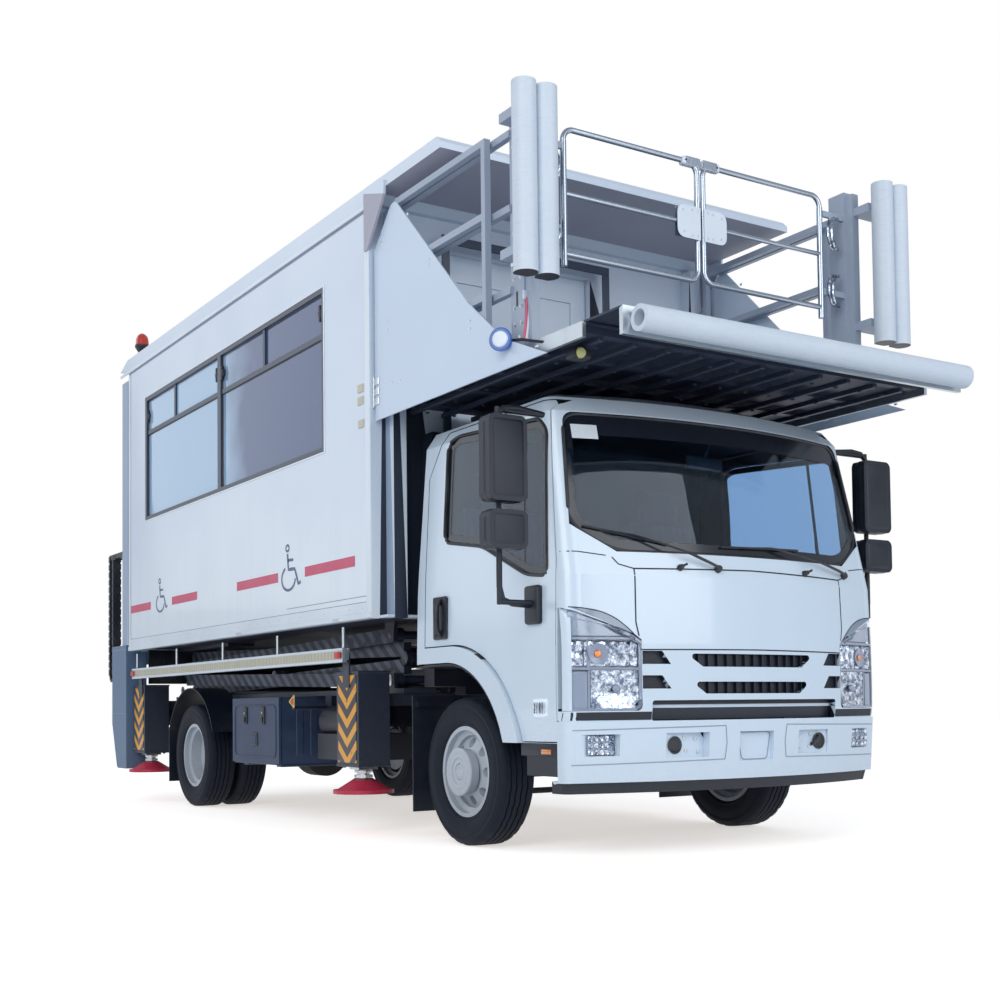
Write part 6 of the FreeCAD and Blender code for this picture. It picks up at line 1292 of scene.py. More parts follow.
# Side guards: two white lips with yellowed reflective tape between them, and a red end lamp.
guard_low, guard_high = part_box("side_guards")
old = Paint("guard_tape", Coat_Weight=0.3)
tx, _, _ = old.axes()
dashes = (tx * 22.0) % 1.0
wear = old.noise(5.0, 4.0)
yellowed = old.blend(wear, (0.42, 0.38, 0.24), (0.62, 0.60, 0.50))
guard_tape = old.finish(Roughness=0.4, Base_Color=old.blend((dashes > 0.9) * (wear * 2.0).clamped(),
                                                            yellowed, (0.22, 0.20, 0.16)))
GUARD_FOOT = 0.975
refinished("side_guards", "chassis", (drawn_aluminium, lift_enamel),
           lambda centre, normal: int(centre.z < GUARD_FOOT))
lips, bands, ends = Form(), Form(), Form()
for hand in (-1, 1):
    y = hand * guard_high.y
    for z0, z1 in ((0.979, 0.994), (1.045, 1.059)):
        lips.block((guard_low.x + 0.002, y - hand * 0.002, z0),
                   (guard_high.x - 0.002, y + hand * 0.006, z1), 0.003, 1)
    bands.block((guard_low.x + 0.05, y - hand * 0.001, 0.997),
                (guard_high.x - 0.10, y + hand * 0.0015, 1.042), 0, 1)
    for x in (guard_high.x - 0.055, guard_low.x + 0.03):
        ends.block((x - 0.030, y, 1.000), (x + 0.030, y + hand * 0.016, 1.040), 0.006, 2)
lips.made("guard_lips", "chassis", trim_white)
bands.made("guard_tape_bands", "chassis", guard_tape)
ends.made("guard_end_lamps", "chassis", red_tape)


# ---------------------------------------- passenger box: walls, roof and windows
# White sandwich panels with a faint cast texture, bonded to aluminium corners; the roof cap
# runs out over the boarding platform. Windows in dark frames with a bright outer edge.

panel = Paint("panel_white", Coat_Weight=0.35, Coat_Roughness=0.08)
cast = panel.noise(300.0, 2.0)
wash = panel.noise(0.9, 3.0)
streak = panel.noise(4.0, 4.0, 0.6, panel.stretched((2.5, 2.5, 0.25)))
_, _, high_up = panel.axes()
panel.bumped(cast + wash * 4.0, 0.05, 0.001)
# Painted light: the walls' colour is made paler towards the bottom, standing for light bounced up from the
# floor.
painted_ground_bounce = ((2.35 - high_up) * 0.9).clamped()
panel_white = panel.finish(
    Base_Color=panel.blend(((streak - 0.45) * 1.6).clamped() * 0.5,
                           panel.blend(((wash - 0.3) * 1.2 + painted_ground_bounce).clamped(), (0.60, 0.69, 0.82),
                                       (0.77, 0.84, 0.91)), (0.62, 0.71, 0.82)),
    Roughness=(cast * 0.1 + 0.27).clamped())
dress(panel_white, "box_side_walls", "box_rear_wall", "box_front_door")
dress(drawn_aluminium, "tail_ramp")
frame_dark = painted("frame_dark", (0.035, 0.05, 0.085), CAB_SOIL, gloss=0.35, soiling=0.1)
dress(frame_dark, "box_window_frames")
dress(lift_enamel, "box_floor")
RECESS_HEAD, RAIL_SIDE = 2.33, 1.08
# Painted shade: below the recess head the front wall's face is painted dark navy, standing for the shade in
# the gap behind the cab; the rails' sides are grey.
refinished("box_front_wall", "box", (panel_white, lift_enamel, grey_enamel), lambda centre, normal: (
    (2 if abs(centre.y) > RAIL_SIDE and abs(normal.y) > 0.5 else 1) if centre.z < RECESS_HEAD else 0))
sill = Form()
sill.block((1.372, -1.155, 1.209), (1.486, 1.155, 1.226), 0.004, 1)
sill.made("box_front_sill", "box", trim_white)

# Tinted panes: a painted reflection of a pale clouded sky in their colour towards the rear, going navy
# towards the front.
window = Paint("window_glass", Transmission_Weight=0.15, IOR=1.38, Coat_Weight=0.2, Coat_Roughness=0.0)
along, _, _ = window.axes()
clouds = window.noise(1.1, 3.0)
painted_sky_reflection = ((clouds * 1.2 - along - 0.95) * 2.4).clamped()
window_glass = window.finish(Roughness=0.03, Base_Color=window.blend(painted_sky_reflection, (0.060, 0.105, 0.25),
                                                                     (0.40, 0.60, 0.82)))
dress(window_glass, "box_glazing")

wall_low, wall_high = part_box("box_side_walls")
roof_low, roof_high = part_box("box_roof")
glass_low, glass_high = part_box("box_window_frames")
wall_y, wall_rear, wall_front = wall_high.y, wall_low.x, wall_high.x
wall_foot, wall_head = wall_low.z, wall_high.z
line_grey = painted("line_grey", (0.24, 0.29, 0.38), CAB_SOIL, gloss=0.5, soiling=0.1)


def wall_strip(form, x0, x1, z0, z1, thick=0.004, edge=0.0012, hands=(-1, 1)):
    """A flat bar on each side wall, or on one of them."""
    for hand in hands:
        form.block((x0, hand * (wall_y - 0.001), z0), (x1, hand * (wall_y + thick), z1), edge, 1)


# Roof edge: a drip rail of white section along each side with a line of painted shade under it, and the
# same painted shade line where the panels meet the corner posts; a bottom rail with a line of rivets.
edging, shade_gaps, rivets = Form(), Form(), Form()
post_head = wall_head - 0.03
wall_strip(edging, roof_low.x + 0.035, roof_high.x - 0.8,
           wall_head - 0.012, wall_head + 0.012, 0.0125, 0.004)
wall_strip(shade_gaps, wall_rear + 0.01, wall_front - 0.01, wall_head - 0.026, wall_head - 0.012, 0.002, 0)
wall_strip(edging, wall_rear + 0.004, wall_rear + 0.052, wall_foot + 0.004, post_head)
wall_strip(shade_gaps, wall_rear + 0.052, wall_rear + 0.057, wall_foot + 0.09, post_head, 0.001, 0)
wall_strip(edging, wall_front - 0.058, wall_front - 0.004, wall_foot + 0.004, post_head)
wall_strip(shade_gaps, wall_front - 0.063, wall_front - 0.058, wall_foot + 0.09, post_head, 0.001, 0)
wall_strip(edging, wall_rear + 0.004, wall_front - 0.004,
           wall_foot + 0.002, wall_foot + 0.034, 0.010, 0.004)
wall_strip(edging, wall_rear + 0.055, wall_front - 0.06, wall_foot + 0.034, wall_foot + 0.092)
wall_strip(shade_gaps, wall_rear + 0.055, wall_front - 0.06, wall_foot + 0.092, wall_foot + 0.096, 0.001, 0)
wall_strip(shade_gaps, wall_front - 1.15, wall_front - 0.06, wall_foot + 0.125, wall_foot + 0.129, 0.001, 0)
RIVETS = 26
for hand in (-1, 1):
    for i in range(RIVETS):
        x = wall_rear + 0.10 + (wall_front - wall_rear - 0.2) * i / (RIVETS - 1)
        rivets.turned([(0, 0.006), (0.0015, 0.005), (0.0022, 0)],
                      (x, hand * (wall_y + 0.004), wall_foot + 0.063), (0, hand, 0), 10)
    for x in (-0.52, 0.97):
        rivets.block((x - 0.045, hand * wall_y, wall_foot + 0.006),
                     (x + 0.045, hand * (wall_y + 0.014), wall_foot + 0.022), 0.003, 1)
edging.made("box_edging", "box", trim_white)
shade_gaps.made("box_shade_gaps", "box", line_grey)
rivets.made("box_rivets", "box", bare_steel)

# Each window: a thin bright edge outside the dark frame, a rubber seal round every pane, and
# black half-round latches on the sliding vents.
bright, seal, catches = Form(), Form(), Form()
mullion_x, transom_z = axle_x - 2.895, 2.92
EDGE_OUT, EDGE_IN = 0.010, 0.001
rear_x, front_x = glass_low.x - EDGE_OUT, glass_high.x + EDGE_OUT
wall_strip(bright, rear_x, front_x, glass_low.z - EDGE_OUT, glass_low.z + EDGE_IN)
wall_strip(bright, rear_x, front_x, glass_high.z - EDGE_IN, glass_high.z + EDGE_OUT)
wall_strip(bright, rear_x, glass_low.x + EDGE_IN, glass_low.z, glass_high.z)
wall_strip(bright, glass_high.x - EDGE_IN, front_x, glass_low.z, glass_high.z)
for hand in (-1, 1):
    for x0, x1 in ((glass_low.x + 0.030, mullion_x - 0.030), (mullion_x + 0.030, glass_high.x - 0.030)):
        for z0, z1 in ((glass_low.z + 0.030, transom_z - 0.016), (transom_z + 0.016, glass_high.z - 0.030)):
            y = hand * (wall_y - 0.019)
            loop = rounded([(x0, y, z0), (x1, y, z0), (x1, y, z1), (x0, y, z1)], 0.012, 3)
            seal.tube(loop, 0.0055, 6, closed=True)
    for x, z in ((mullion_x - 0.05, 3.055), (mullion_x + 0.05, 3.05), (glass_high.x - 0.055, 3.06),
                 (glass_low.x + 0.045, 3.05)):
        y = hand * (wall_y - 0.016)
        catches.turned([(0, 0.030), (0.012, 0.028), (0.019, 0.018), (0.021, 0)], (x, y, z),
                       (0, hand, 0), 20)
        catches.block((x - 0.010, y, z - 0.05), (x + 0.010, hand * (wall_y + 0.004), z + 0.05), 0.004, 1)
bright.made("window_bright_edges", "box", drawn_aluminium)
seal.made("window_seals", "box", rubber_black)
catches.made("window_catches", "box", rubber_black)

# Inside, behind the front pane: a white louvred wall fan on a stem.
fan = Form()
fan_x, fan_z = 0.42, 2.80
for wing in range(5):
    fan.block((fan_x - 0.15, -1.02 + wing * 0.018, fan_z - 0.12 + wing * 0.052),
              (fan_x + 0.15, -0.94 + wing * 0.018, fan_z - 0.10 + wing * 0.052), 0.006, 1,
              Matrix.Rotation(math.radians(-28), 3, "X"))
for x in (fan_x - 0.16, fan_x + 0.16):
    fan.block((x - 0.012, -1.05, fan_z - 0.16), (x + 0.012, -0.87, fan_z + 0.16), 0.008, 2)
fan.rod((fan_x, -0.93, fan_z + 0.15), (fan_x, -0.93, fan_z + 0.55), 0.012, 12)
fan.made("wall_fan", "box", trim_white)

# The red line on the wall is broken by two wheelchair signs and a bare space between them.
stripe, sign = Form(), Form()
sign_grey = painted("sign_grey", (0.10, 0.15, 0.26), CAB_SOIL, gloss=0.45, soiling=0.1)
stripe_red = mottled("line_red", 7.0, (0.58, 0.045, 0.12), (0.64, 0.10, 0.19), 0.4, detail=4.0)
STRIPE_MIDDLE, STRIPE_WIDTH = 1.542, 0.060
STRIPES = ((wall_rear + 0.06, -2.38), (-1.88, -1.34), (-0.575, 0.115), (0.52, 1.195))
SIGNS = ((-2.12, 1.475, 0.26), (0.31, 1.445, 0.29))  # middle, foot, height


def stroke(form, hand, points, width):
    """A line of even width on the side wall, mitred at its bends."""
    path = [Vector((x, hand * (wall_y + 0.0012), z)) for x, z in points]
    edges = []
    for i, point in enumerate(path):
        ahead = (path[min(i + 1, len(path) - 1)] - path[max(i - 1, 0)]).normalized()
        aside = Vector((-ahead.z, 0, ahead.x)) * (width / 2)
        edges += [point - aside, point + aside]
    form.add(edges, [[2 * i, 2 * i + 1, 2 * i + 3, 2 * i + 2] for i in range(len(path) - 1)])


def wheelchair(form, hand, middle, foot, height):
    """The common sign of a seated figure in a wheelchair, facing the front."""
    def at(across, up):
        return middle + (across - 0.5) * height * 1.15, foot + up * height

    def arc(across, up, wide, tall, first, sweep, steps):
        angles = [math.radians(first + sweep * i / steps) for i in range(steps + 1)]
        return [at(across + wide * math.cos(a), up + tall * math.sin(a)) for a in angles]

    stroke(form, hand, arc(0.36, 0.92, 0.075, 0.065, 0, 360, 18), height * 0.05)
    stroke(form, hand, [at(0.36, 0.80), at(0.38, 0.62), at(0.40, 0.46), at(0.52, 0.455), at(0.68, 0.45),
                        at(0.76, 0.30), at(0.84, 0.12), at(0.95, 0.15)], height * 0.075)
    stroke(form, hand, [at(0.37, 0.66), at(0.50, 0.655), at(0.62, 0.65)], height * 0.06)
    stroke(form, hand, arc(0.40, 0.27, 0.31, 0.25, 118, 236, 30), height * 0.06)


for hand in (-1, 1):
    for x0, x1 in STRIPES:
        stroke(stripe, hand, [(x0, STRIPE_MIDDLE), (x1, STRIPE_MIDDLE)], STRIPE_WIDTH)
    for middle, foot, height in SIGNS:
        wheelchair(sign, hand, middle, foot, height)
stripe.made("wall_stripes", "box", stripe_red, closed=False)
sign.made("wheelchair_signs", "box", sign_grey, closed=False)

# Yellowed tape pads on the front corner post, where a label once was.
pads = Form()
for x, z in ((1.285, 2.50), (1.285, 2.43), (1.29, 2.30)):
    wall_strip(pads, x - 0.035, x + 0.03, z - 0.022, z + 0.022, 0.0055, 0, hands=(-1,))
old_tape = mottled("old_tape", 30.0, (0.55, 0.52, 0.40), (0.64, 0.62, 0.52), 0.6)
pads.made("tape_pads", "box", old_tape)

# Beacons: red ribbed domes on a short stem with a collar and a base plate.
lamp_low, lamp_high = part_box("beacons")
beacon_red = mottled("beacon_red", 25.0, (0.55, 0.015, 0.01), (0.80, 0.06, 0.03), 0.18,
                     Coat_Weight=0.8, Transmission_Weight=0.25, IOR=1.49)
dome = Form()
beacon_x = (lamp_low.x + lamp_high.x) / 2
for hand in (-1, 1):
    base = (beacon_x, hand * (lamp_high.y - 0.06), lamp_low.z)
    top = lamp_high.z - lamp_low.z
    dome.finish = 1
    dome.turned([(0, 0.058), (0.008, 0.058), (0.010, 0.030), (0.10, 0.027), (0.118, 0.040), (0.148, 0.0595),
                 (0.166, 0.0595), (0.166, 0)], base, (0, 0, 1), 32)
    dome.finish = 0
    profile = [(0.164, 0.056)]
    for rib in range(4):
        up = 0.168 + rib * 0.014
        profile += [(up, 0.056 - rib * 0.0015), (up + 0.007, 0.0535 - rib * 0.0015)]
    profile += [(0.226, 0.048), (0.244, 0.040), (0.258, 0.026), (top - 0.001, 0.010), (top - 0.0005, 0)]
    dome.turned(profile, base, (0, 0, 1), 36)
piece = dome.made("beacon_domes", "box", beacon_red, black_moulding, slot="beacon_red")
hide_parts("beacons")

# Roof: raised seams across the cap.
roof = Form()
seam_y = roof_high.y - 0.06
for i in range(9):
    x = roof_low.x + 0.35 + i * 0.58
    if x < roof_high.x - 0.3:
        roof.block((x - 0.012, -seam_y, roof_high.z - 0.004),
                   (x + 0.012, seam_y, roof_high.z + 0.004), 0.003, 1)
roof.made("roof_seams", "box", trim_white)

# Doorway in the front wall: a dark frame around the sliding door.
door_low, door_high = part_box("box_front_door")
doorway = Form()
front_face_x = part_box("box_front_wall")[1].x
jamb_head = door_high.z - 0.02
for y0, y1, z0, z1 in ((door_low.y - 0.05, door_low.y, door_low.z, jamb_head),
                       (door_high.y, door_high.y + 0.05, door_low.z, jamb_head),
                       (door_low.y - 0.05, door_high.y + 0.05, jamb_head, door_high.z + 0.03)):
    doorway.block((front_face_x - 0.004, y0, z0), (front_face_x + 0.010, y1, z1), 0.003, 1)
doorway.made("doorway_frame", "box", frame_dark)


# ---------------------------------------- boarding platform over the cab
# A steel deck with a sliding bridge plate, two posts, padded fenders and a pair of tube gates,
# between plain white wing panels under the roof's canopy.

deck_enamel = painted("deck_enamel", (0.022, 0.032, 0.060), (0.10, 0.11, 0.14), gloss=0.5, soiling=0.2,
                      drift=0.05)
post_grey = painted("post_grey", (0.36, 0.42, 0.52), CAB_SOIL, gloss=0.4, soiling=0.1, drift=0.05)
stainless = metal("stainless", (0.44, 0.49, 0.57), 0.24, along=(30.0, 30.0, 1.0), shade=0.05, stains=0.0)
dress(stainless, "gate_left", "gate_right")
wing_white = painted("wing_white", (0.58, 0.68, 0.82), CAB_SOIL, gloss=0.34, soiling=0.05,
                     drift=0.02, coat=0.2)
dress(wing_white, "wing_panels")


def deck_face(centre, normal):
    if centre.z > 2.42:
        return 1
    return 2 if normal.z > 0.5 or abs(centre.y) > 1.085 else 0


refinished("platform_deck", "front_platform", (deck_enamel, post_grey, drawn_aluminium), deck_face)


def bridge_face(centre, normal):
    return 1 if centre.z > 2.45 else 2 if normal.z > 0.5 or centre.x > 3.46 else 0


refinished("bridge", "sliding_bridge", (deck_enamel, post_grey, drawn_aluminium), bridge_face)


def fender_face(centre, normal):
    return 1 if 2.5 < centre.z < 2.71 and normal.z < -0.5 else 0


fender = Paint("fender_pale", Coat_Weight=0.1)
scuffs = fender.noise(16.0, 5.0, 0.7, fender.stretched((1.0, 1.0, 9.0)))
patches = fender.noise(4.0, 3.0)
fender.bumped(scuffs, 0.2, 0.001)
fender_pale = fender.finish(Roughness=(scuffs * 0.25 + 0.42).clamped(), Base_Color=fender.blend(
    ((scuffs - 0.52) * 4.0).clamped() * 0.35, fender.blend(patches, (0.58, 0.66, 0.76), (0.66, 0.73, 0.80)),
    (0.40, 0.46, 0.56)))
refinished("bridge_fenders", "sliding_bridge", (fender_pale, rubber_black), fender_face)

# Bolts through the wing panels and bridge posts, slots in the posts, and ribs under the deck.
wing_bolts, hinge = Form(), Form()
for hand in (-1, 1):
    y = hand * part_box("wing_panels")[1].y
    for x, z in ((1.555, 2.816), (1.555, 2.767), (2.023, 3.018), (2.023, 2.991), (1.609, 2.465),
                 (1.699, 2.457), (2.42, 2.60), (2.42, 2.56), (2.86, 2.42), (1.50, 3.30), (1.50, 3.26),
                 (1.80, 3.33)):
        wing_bolts.turned([(0, 0.009), (0.003, 0.0075), (0.0045, 0)], (x, y, z), (0, hand, 0), 12)
    for z in (2.40, 2.455, 2.51):
        hinge.block((1.400, y, z - 0.021), (1.462, y + hand * 0.006, z + 0.021), 0.003, 1)
    hinge.rod((1.404, y + hand * 0.004, 2.37), (1.404, y + hand * 0.004, 2.54), 0.007, 12)
    hinge.rod((2.995, y + hand * 0.003, 2.34), (3.01, y + hand * 0.003, 2.34), 0.006, 8)
wing_bolts.made("wing_bolts", "front_platform", bare_steel)
hinge.made("wing_hinges", "front_platform", drawn_aluminium)

underside = Form()
deck_low, deck_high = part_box("platform_deck")
rib_foot = deck_low.z + 0.010
for i in range(11):
    y = -0.98 + i * 0.196
    underside.block((deck_low.x + 0.06, y - 0.014, rib_foot),
                    (deck_high.x - 0.05, y + 0.014, rib_foot + 0.026), 0.003, 1)
for i in range(6):
    for j in range(12):
        underside.bolt((deck_low.x + 0.16 + i * 0.31, -0.94 + j * 0.171, rib_foot), (0, 0, -1),
                       0.010, 0.007)
underside.made("deck_underside", "front_platform", deck_enamel)

post_bolts = Form()
post_x0, post_x1, post_y = axle_x + 0.68, axle_x + 0.795, 1.105
for hand in (-1, 1):
    y = hand * post_y
    for x, heights in ((post_x0 + 0.028, (2.52, 2.60, 2.74, 2.96, 3.08, 3.38)),
                       (post_x1 - 0.028, (2.52, 2.60, 2.74, 2.83, 2.96, 3.08, 3.15, 3.27, 3.38, 3.47))):
        for z in heights:
            post_bolts.bolt((x, y, z), (0, hand, 0), 0.0095, 0.007)
    post_bolts.block((post_x0 + 0.015, y, 2.80), (post_x1 - 0.015, hand * (post_y + 0.010), 2.82), 0.002, 1)
    post_bolts.finish = 1
    # Painted shade: the slots are thin black strips, their black standing for the shade inside them.
    for z in (2.64, 2.90, 3.19, 3.42):
        post_bolts.block((post_x0 + 0.045, y, z - 0.035),
                         (post_x0 + 0.060, hand * (post_y + 0.0012), z + 0.035), 0, 1)
    post_bolts.turned([(0, 0.017), (0.010, 0.017), (0.012, 0.012), (0.012, 0)], (post_x1 - 0.05, y, 3.235),
                      (0, hand, 0), 20)
    post_bolts.finish = 0
post_bolts.made("post_bolts", "sliding_bridge", bare_steel, rubber_black)

# The near post's white tag with its red and white strap, tied below the fender.
strap = Form()
strap.block((post_x1 + 0.002, -1.118, 2.62), (post_x1 + 0.008, -1.062, 2.665), 0.002, 1)
run = [(post_x1 + 0.006, -1.085, 2.63), (post_x1 + 0.012, -1.092, 2.56), (post_x1 + 0.014, -1.10, 2.49),
       (post_x1 + 0.012, -1.108, 2.43)]
strap.tube(run, 0.013, 8)
strap.finish = 1
strap.tube([(x + 0.004, y - 0.012, z) for x, y, z in run], 0.007, 6)
strap.made("post_strap", "sliding_bridge", trim_white, stripe_red)

# Gates: white rounded plates with small bolts, a white latch cover over the top bars, and
# curved hinge brackets on the posts.
for hand, node, body in ((-1, "gate_right", "right_gate"), (1, "gate_left", "left_gate")):
    low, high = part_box(node)
    plate = Form()
    y0, y1 = hand * 0.012, hand * 0.165
    face_x = (low.x + high.x) / 2 + 0.0145
    corners = [(face_x, y0, 3.095), (face_x, y1, 3.095), (face_x, y1, 3.265), (face_x, y0, 3.265)]
    outer_arcs = rounded(corners, 0.05)[6:18]  # the two corners away from the middle
    plate.plate([corners[0], *outer_arcs, corners[3]], (1, 0, 0), 0.003)
    plate.finish = 1
    for across, up in ((0.035, 3.115), (0.035, 3.245), (0.125, 3.125), (0.13, 3.235), (0.07, 3.245),
                       (0.07, 3.115)):
        plate.turned([(0, 0.006), (0.003, 0.005), (0.004, 0)], (face_x + 0.003, hand * across, up),
                     (1, 0, 0), 10)
    plate.made(f"{node}_plate", body, trim_white, bare_steel)
    cover = Form()
    cover.block((low.x + 0.001, hand * 0.008, high.z - 0.044),
                (high.x - 0.0005, hand * 0.125, high.z - 0.0005), 0.009, 3)
    cover.finish = 1
    cover.turned([(0, 0.007), (0.002, 0.006), (0.002, 0)], (high.x - 0.001, hand * 0.105, high.z - 0.021),
                 (1, 0, 0), 12)
    cover.made(f"{node}_latch_cover", body, trim_white, rubber_black)
brackets = Form()
BRACKET = ((-0.004, 0.99, 0.085), (0.004, 0.955, 0.075), (0.006, 0.935, 0.03),
           (0.006, 0.935, -0.03), (0.004, 0.955, -0.075), (-0.004, 0.99, -0.085))
for hand in (-1, 1):
    for z in (2.99, 3.31):
        for shift in (0, 0.03):
            brackets.tube([(post_x1 + ahead, hand * (across - shift), z + up)
                           for ahead, across, up in BRACKET], 0.0095, 8)
brackets.made("post_brackets", "sliding_bridge", lamp_chrome)

# Deck corner: a blue and white round lamp on a curved cable, and a yellow-lensed work lamp.
lamps = Form()
spot, aim = Vector((2.735, -1.19, 2.425)), Vector((0.6, -0.8, 0))
lamps.turned([(0, 0.030), (0.012, 0.052), (0.040, 0.056), (0.044, 0.050), (0.044, 0)], spot, aim, 28)
lamps.finish = 1
lamps.turned([(0.043, 0.040), (0.049, 0.034), (0.050, 0)], spot, aim, 24)
lamps.finish = 2
lamps.tube([spot + Vector(run) for run in ((0, 0, 0), (0.10, 0.04, -0.01), (0.22, 0.07, -0.045),
                                           (0.36, 0.13, -0.065), (0.46, 0.17, -0.04))], 0.007, 8)
work = Vector((3.07, -1.00, 2.316))
lamps.block(work - Vector((0.035, 0.05, 0.030)), work + Vector((0.035, 0.05, 0.018)), 0.010, 2)
lamps.finish = 3
lamps.turned([(0, 0.026), (0.012, 0.022), (0.016, 0.0)], work + Vector((0.034, -0.012, -0.006)),
             (0.9, -0.3, -0.2), 20)
marker_blue = painted("marker_blue", (0.03, 0.12, 0.45), CAB_SOIL, gloss=0.3, soiling=0.1, coat=0.5)
lens_yellow = painted("lens_yellow", (0.55, 0.55, 0.20), CAB_SOIL, gloss=0.2, soiling=0.2, coat=0.6)
lamps.made("deck_lamps", "front_platform", marker_blue, trim_white, rubber_black, lens_yellow)

# The canopy's underside and the roof's faces below the wall head are painted a darker mauve-grey than the
# white fascia: painted shade under the overhang.
canopy_painted_shade = mottled("canopy_painted_shade", 1.4, (0.40, 0.40, 0.48), (0.47, 0.47, 0.54), 0.6)


def roof_face(centre, normal):
    under_canopy = normal.z < -0.5 and centre.x > front_face_x and abs(centre.y) < 1.16
    return 1 if under_canopy or centre.z < wall_head - 0.02 else 0


refinished("box_roof", "box", (panel_white, canopy_painted_shade), roof_face)


# ---------------------------------------- tail lift, energy chain and tool box
# Grey-blue columns with a pale rear strip and rows of holes, a folded ramp, the black plastic
# chain of open links, and a grey-blue moulded tool box with two latches.

tail_low, tail_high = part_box("tail_columns")
column_pale = painted("column_pale", (0.50, 0.60, 0.75), CAB_SOIL, gloss=0.4, soiling=0.15)
cover_blue = painted("cover_blue", (0.115, 0.19, 0.31), (0.20, 0.22, 0.26), gloss=0.45, soiling=0.3)
COVER_TOP = 1.262


def column_face(centre, normal):
    if centre.z < COVER_TOP + 0.002:
        return 1
    return 0 if centre.x > tail_high.x - 0.10 else 2


refinished("tail_columns", "box", (column_pale, cover_blue, grey_enamel), column_face)
dress(grey_enamel, "tail_carriage")
# Painted shade: each hole in the columns is a flat black disc, its black standing for the shade inside the
# hole.
holes, cover_trim = Form(), Form()
for hand in (-1, 1):
    y = hand * 1.190
    for i in range(46):
        holes.turned([(0, 0.0055), (0.0008, 0.0055), (0.0008, 0)],
                     (tail_high.x - 0.030, y, 1.32 + i * 0.045), (0, hand, 0), 8)
    holes.block((tail_high.x - 0.062, y, 1.27),
                (tail_high.x - 0.056, y + hand * 0.001, tail_high.z - 0.02), 0, 1)
    face = hand * tail_high.y
    for z0, z1 in ((1.225, 1.232), (0.700, 0.705)):
        cover_trim.block((tail_low.x + 0.02, face - 0.002, z0),
                         (tail_high.x - 0.10, face + 0.002, z1), 0, 1)
    for x, z in ((-3.36, 1.19), (-3.04, 1.19), (-3.36, 0.74), (-3.04, 0.74), (-3.36, 0.66), (-3.04, 0.40)):
        cover_trim.turned([(0, 0.008), (0.003, 0.007), (0.004, 0)], (x, face, z), (0, hand, 0), 10)
holes.made("column_hole_shades", "box", rubber_black)
cover_trim.made("cover_screws", "box", line_grey)

# The black plastic chain has a cross bar at each joint, and a bracket at its top.
chain_black = moulded("chain_black", (0.010, 0.013, 0.02), 0.4, grain=160.0, depth=0.1)
dress(chain_black, "energy_chain")
chain_low, chain_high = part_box("energy_chain")
bars = Form()
for i in range(20):
    z = chain_low.z + 0.10 + i * 0.049
    for x in (chain_low.x + 0.012, chain_low.x + 0.108):
        if z < chain_high.z - 0.06:
            bars.rod((x, chain_low.y + 0.004, z), (x, chain_high.y - 0.004, z), 0.0075, 8)
bars.block((chain_low.x + 0.09, chain_low.y + 0.002, chain_high.z - 0.05),
           (chain_high.x - 0.30, chain_high.y - 0.002, chain_high.z - 0.002), 0.004, 1)
bars.made("chain_bars", "box", chain_black)

# The tool box: a raised bead round its lid, two latches with locks, a grip, and ribs.
tool_blue = moulded("tool_blue", (0.024, 0.046, 0.105), 0.5, grain=170.0, depth=0.2,
                    soil=(0.10, 0.13, 0.19))
dress(tool_blue, "tool_box", "tool_box_lid")
lid_low, lid_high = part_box("tool_box_lid")
shut = Form()
face, width = lid_low.y, lid_high.x - lid_low.x
inner = [(lid_low.x + 0.05, face, lid_low.z + 0.05), (lid_high.x - 0.05, face, lid_low.z + 0.05),
         (lid_high.x - 0.05, face, lid_high.z - 0.05), (lid_low.x + 0.05, face, lid_high.z - 0.05)]
shut.tube(rounded(inner, 0.05), 0.006, 8, closed=True)
for share in (0.30, 0.68):
    x = lid_low.x + width * share
    shut.finish = 1
    shut.block((x - 0.032, face - 0.010, lid_high.z - 0.175),
               (x + 0.032, face + 0.002, lid_high.z - 0.06), 0.007, 2)
    shut.finish = 2
    shut.turned([(0, 0.007), (0.004, 0.007), (0.005, 0.005), (0.005, 0)],
                (x, face - 0.009, lid_high.z - 0.10), (0, -1, 0), 18)
    shut.finish = 1
    shut.block((x - 0.014, face - 0.018, lid_high.z - 0.165),
               (x + 0.014, face - 0.008, lid_high.z - 0.125), 0.003, 1)
middle_x = (lid_low.x + lid_high.x) / 2
shut.finish = 1
shut.block((middle_x - 0.050, face - 0.007, lid_low.z + 0.12),
           (middle_x + 0.050, face + 0.002, lid_low.z + 0.21), 0.006, 2)
shut.finish = 0
shut.block((middle_x - 0.035, face - 0.011, lid_low.z + 0.135),
           (middle_x + 0.035, face - 0.004, lid_low.z + 0.195), 0.004, 1)
shut.made("tool_lid_fittings", "tool_lid", tool_blue, rubber_black, bare_steel)
feet = Form()
box_low, box_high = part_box("tool_box")
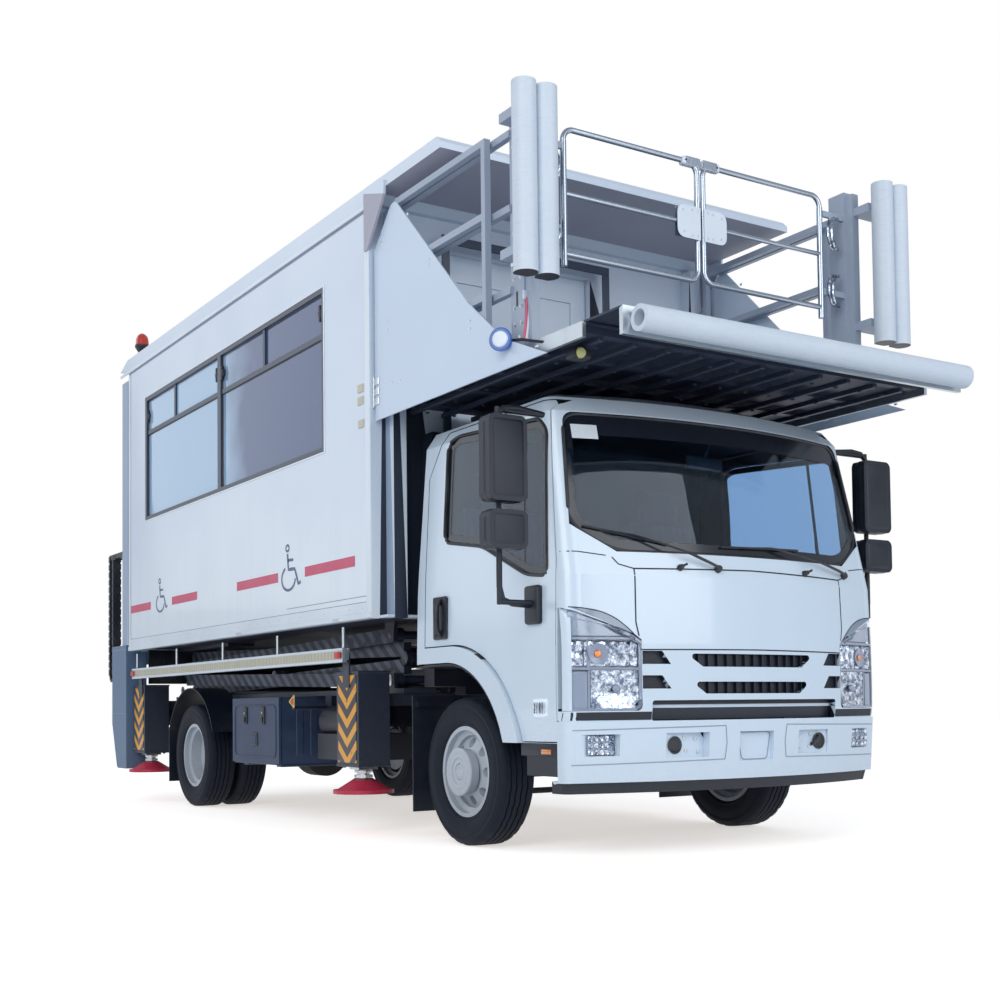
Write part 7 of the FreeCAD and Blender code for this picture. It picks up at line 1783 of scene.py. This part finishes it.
for x in (box_low.x + 0.10, box_high.x - 0.14):
    feet.block((x, box_low.y + 0.02, box_low.z - 0.022),
               (x + 0.09, box_high.y - 0.02, box_low.z + 0.004), 0.006, 2)
for y in (box_low.y + 0.10, box_low.y + 0.20, box_low.y + 0.30):
    feet.block((box_high.x - 0.002, y, box_low.z + 0.05),
               (box_high.x + 0.006, y + 0.05, box_high.z - 0.06), 0.004, 1)
feet.made("tool_box_ribs", "chassis", tool_blue)

# A blank yellow triangular marker with a red field, on a bracket by the tool box.
marker = Form()
at = Vector((box_high.x + 0.20, -1.068, 0.765))
for finish, reach, lift in ((0, 0.060, 0.0), (1, 0.034, 0.003)):
    marker.finish = finish
    turns = [math.radians(angle) for angle in (180, 300, 420)]
    outline = [at + Vector((reach * math.cos(a), -lift, reach * math.sin(a) * 0.9)) for a in turns]
    marker.plate(rounded(outline, 0.014), (0, 1, 0), 0.003)
marker.finish = 2
marker.block(at + Vector((-0.012, 0.002, -0.05)), at + Vector((0.012, 0.42, -0.03)), 0.003, 1)
marker_yellow = painted("marker_yellow", (0.70, 0.52, 0.10), CAB_SOIL, gloss=0.35, soiling=0.2)
marker.made("side_marker", "chassis", marker_yellow, red_tape, chassis_black)

# Rear lamps under the tail, and the strip curtain that keeps spray off the lift.
rear = Form()
for hand in (-1, 1):
    rear.finish = 0
    rear.block((-2.985, hand * 0.62, 0.600), (-2.950, hand * 0.96, 0.775), 0.008, 2)
    for finish, y in ((1, 0.635), (2, 0.741), (1, 0.847)):
        rear.finish = finish
        rear.block((-2.997, hand * y, 0.625), (-2.984, hand * (y + 0.096), 0.750), 0.005, 2)
rear.made("rear_lamps", "chassis", black_moulding, red_tape, amber_bulb)
curtain = Form()
for i in range(17):
    y = -1.06 + i * 0.125
    lift = 0.004 * (i % 2)
    foot = 0.835 if abs(y + 0.067) < 0.60 else 0.940
    curtain.block((-2.878 + lift, y, foot), (-2.873 + lift, y + 0.135, 1.215), 0.001, 1)
curtain.block((-2.882, -1.06, 1.170), (-2.866, 1.075, 1.205), 0.003, 1)
curtain.made("spray_curtain", "box", rubber_black)
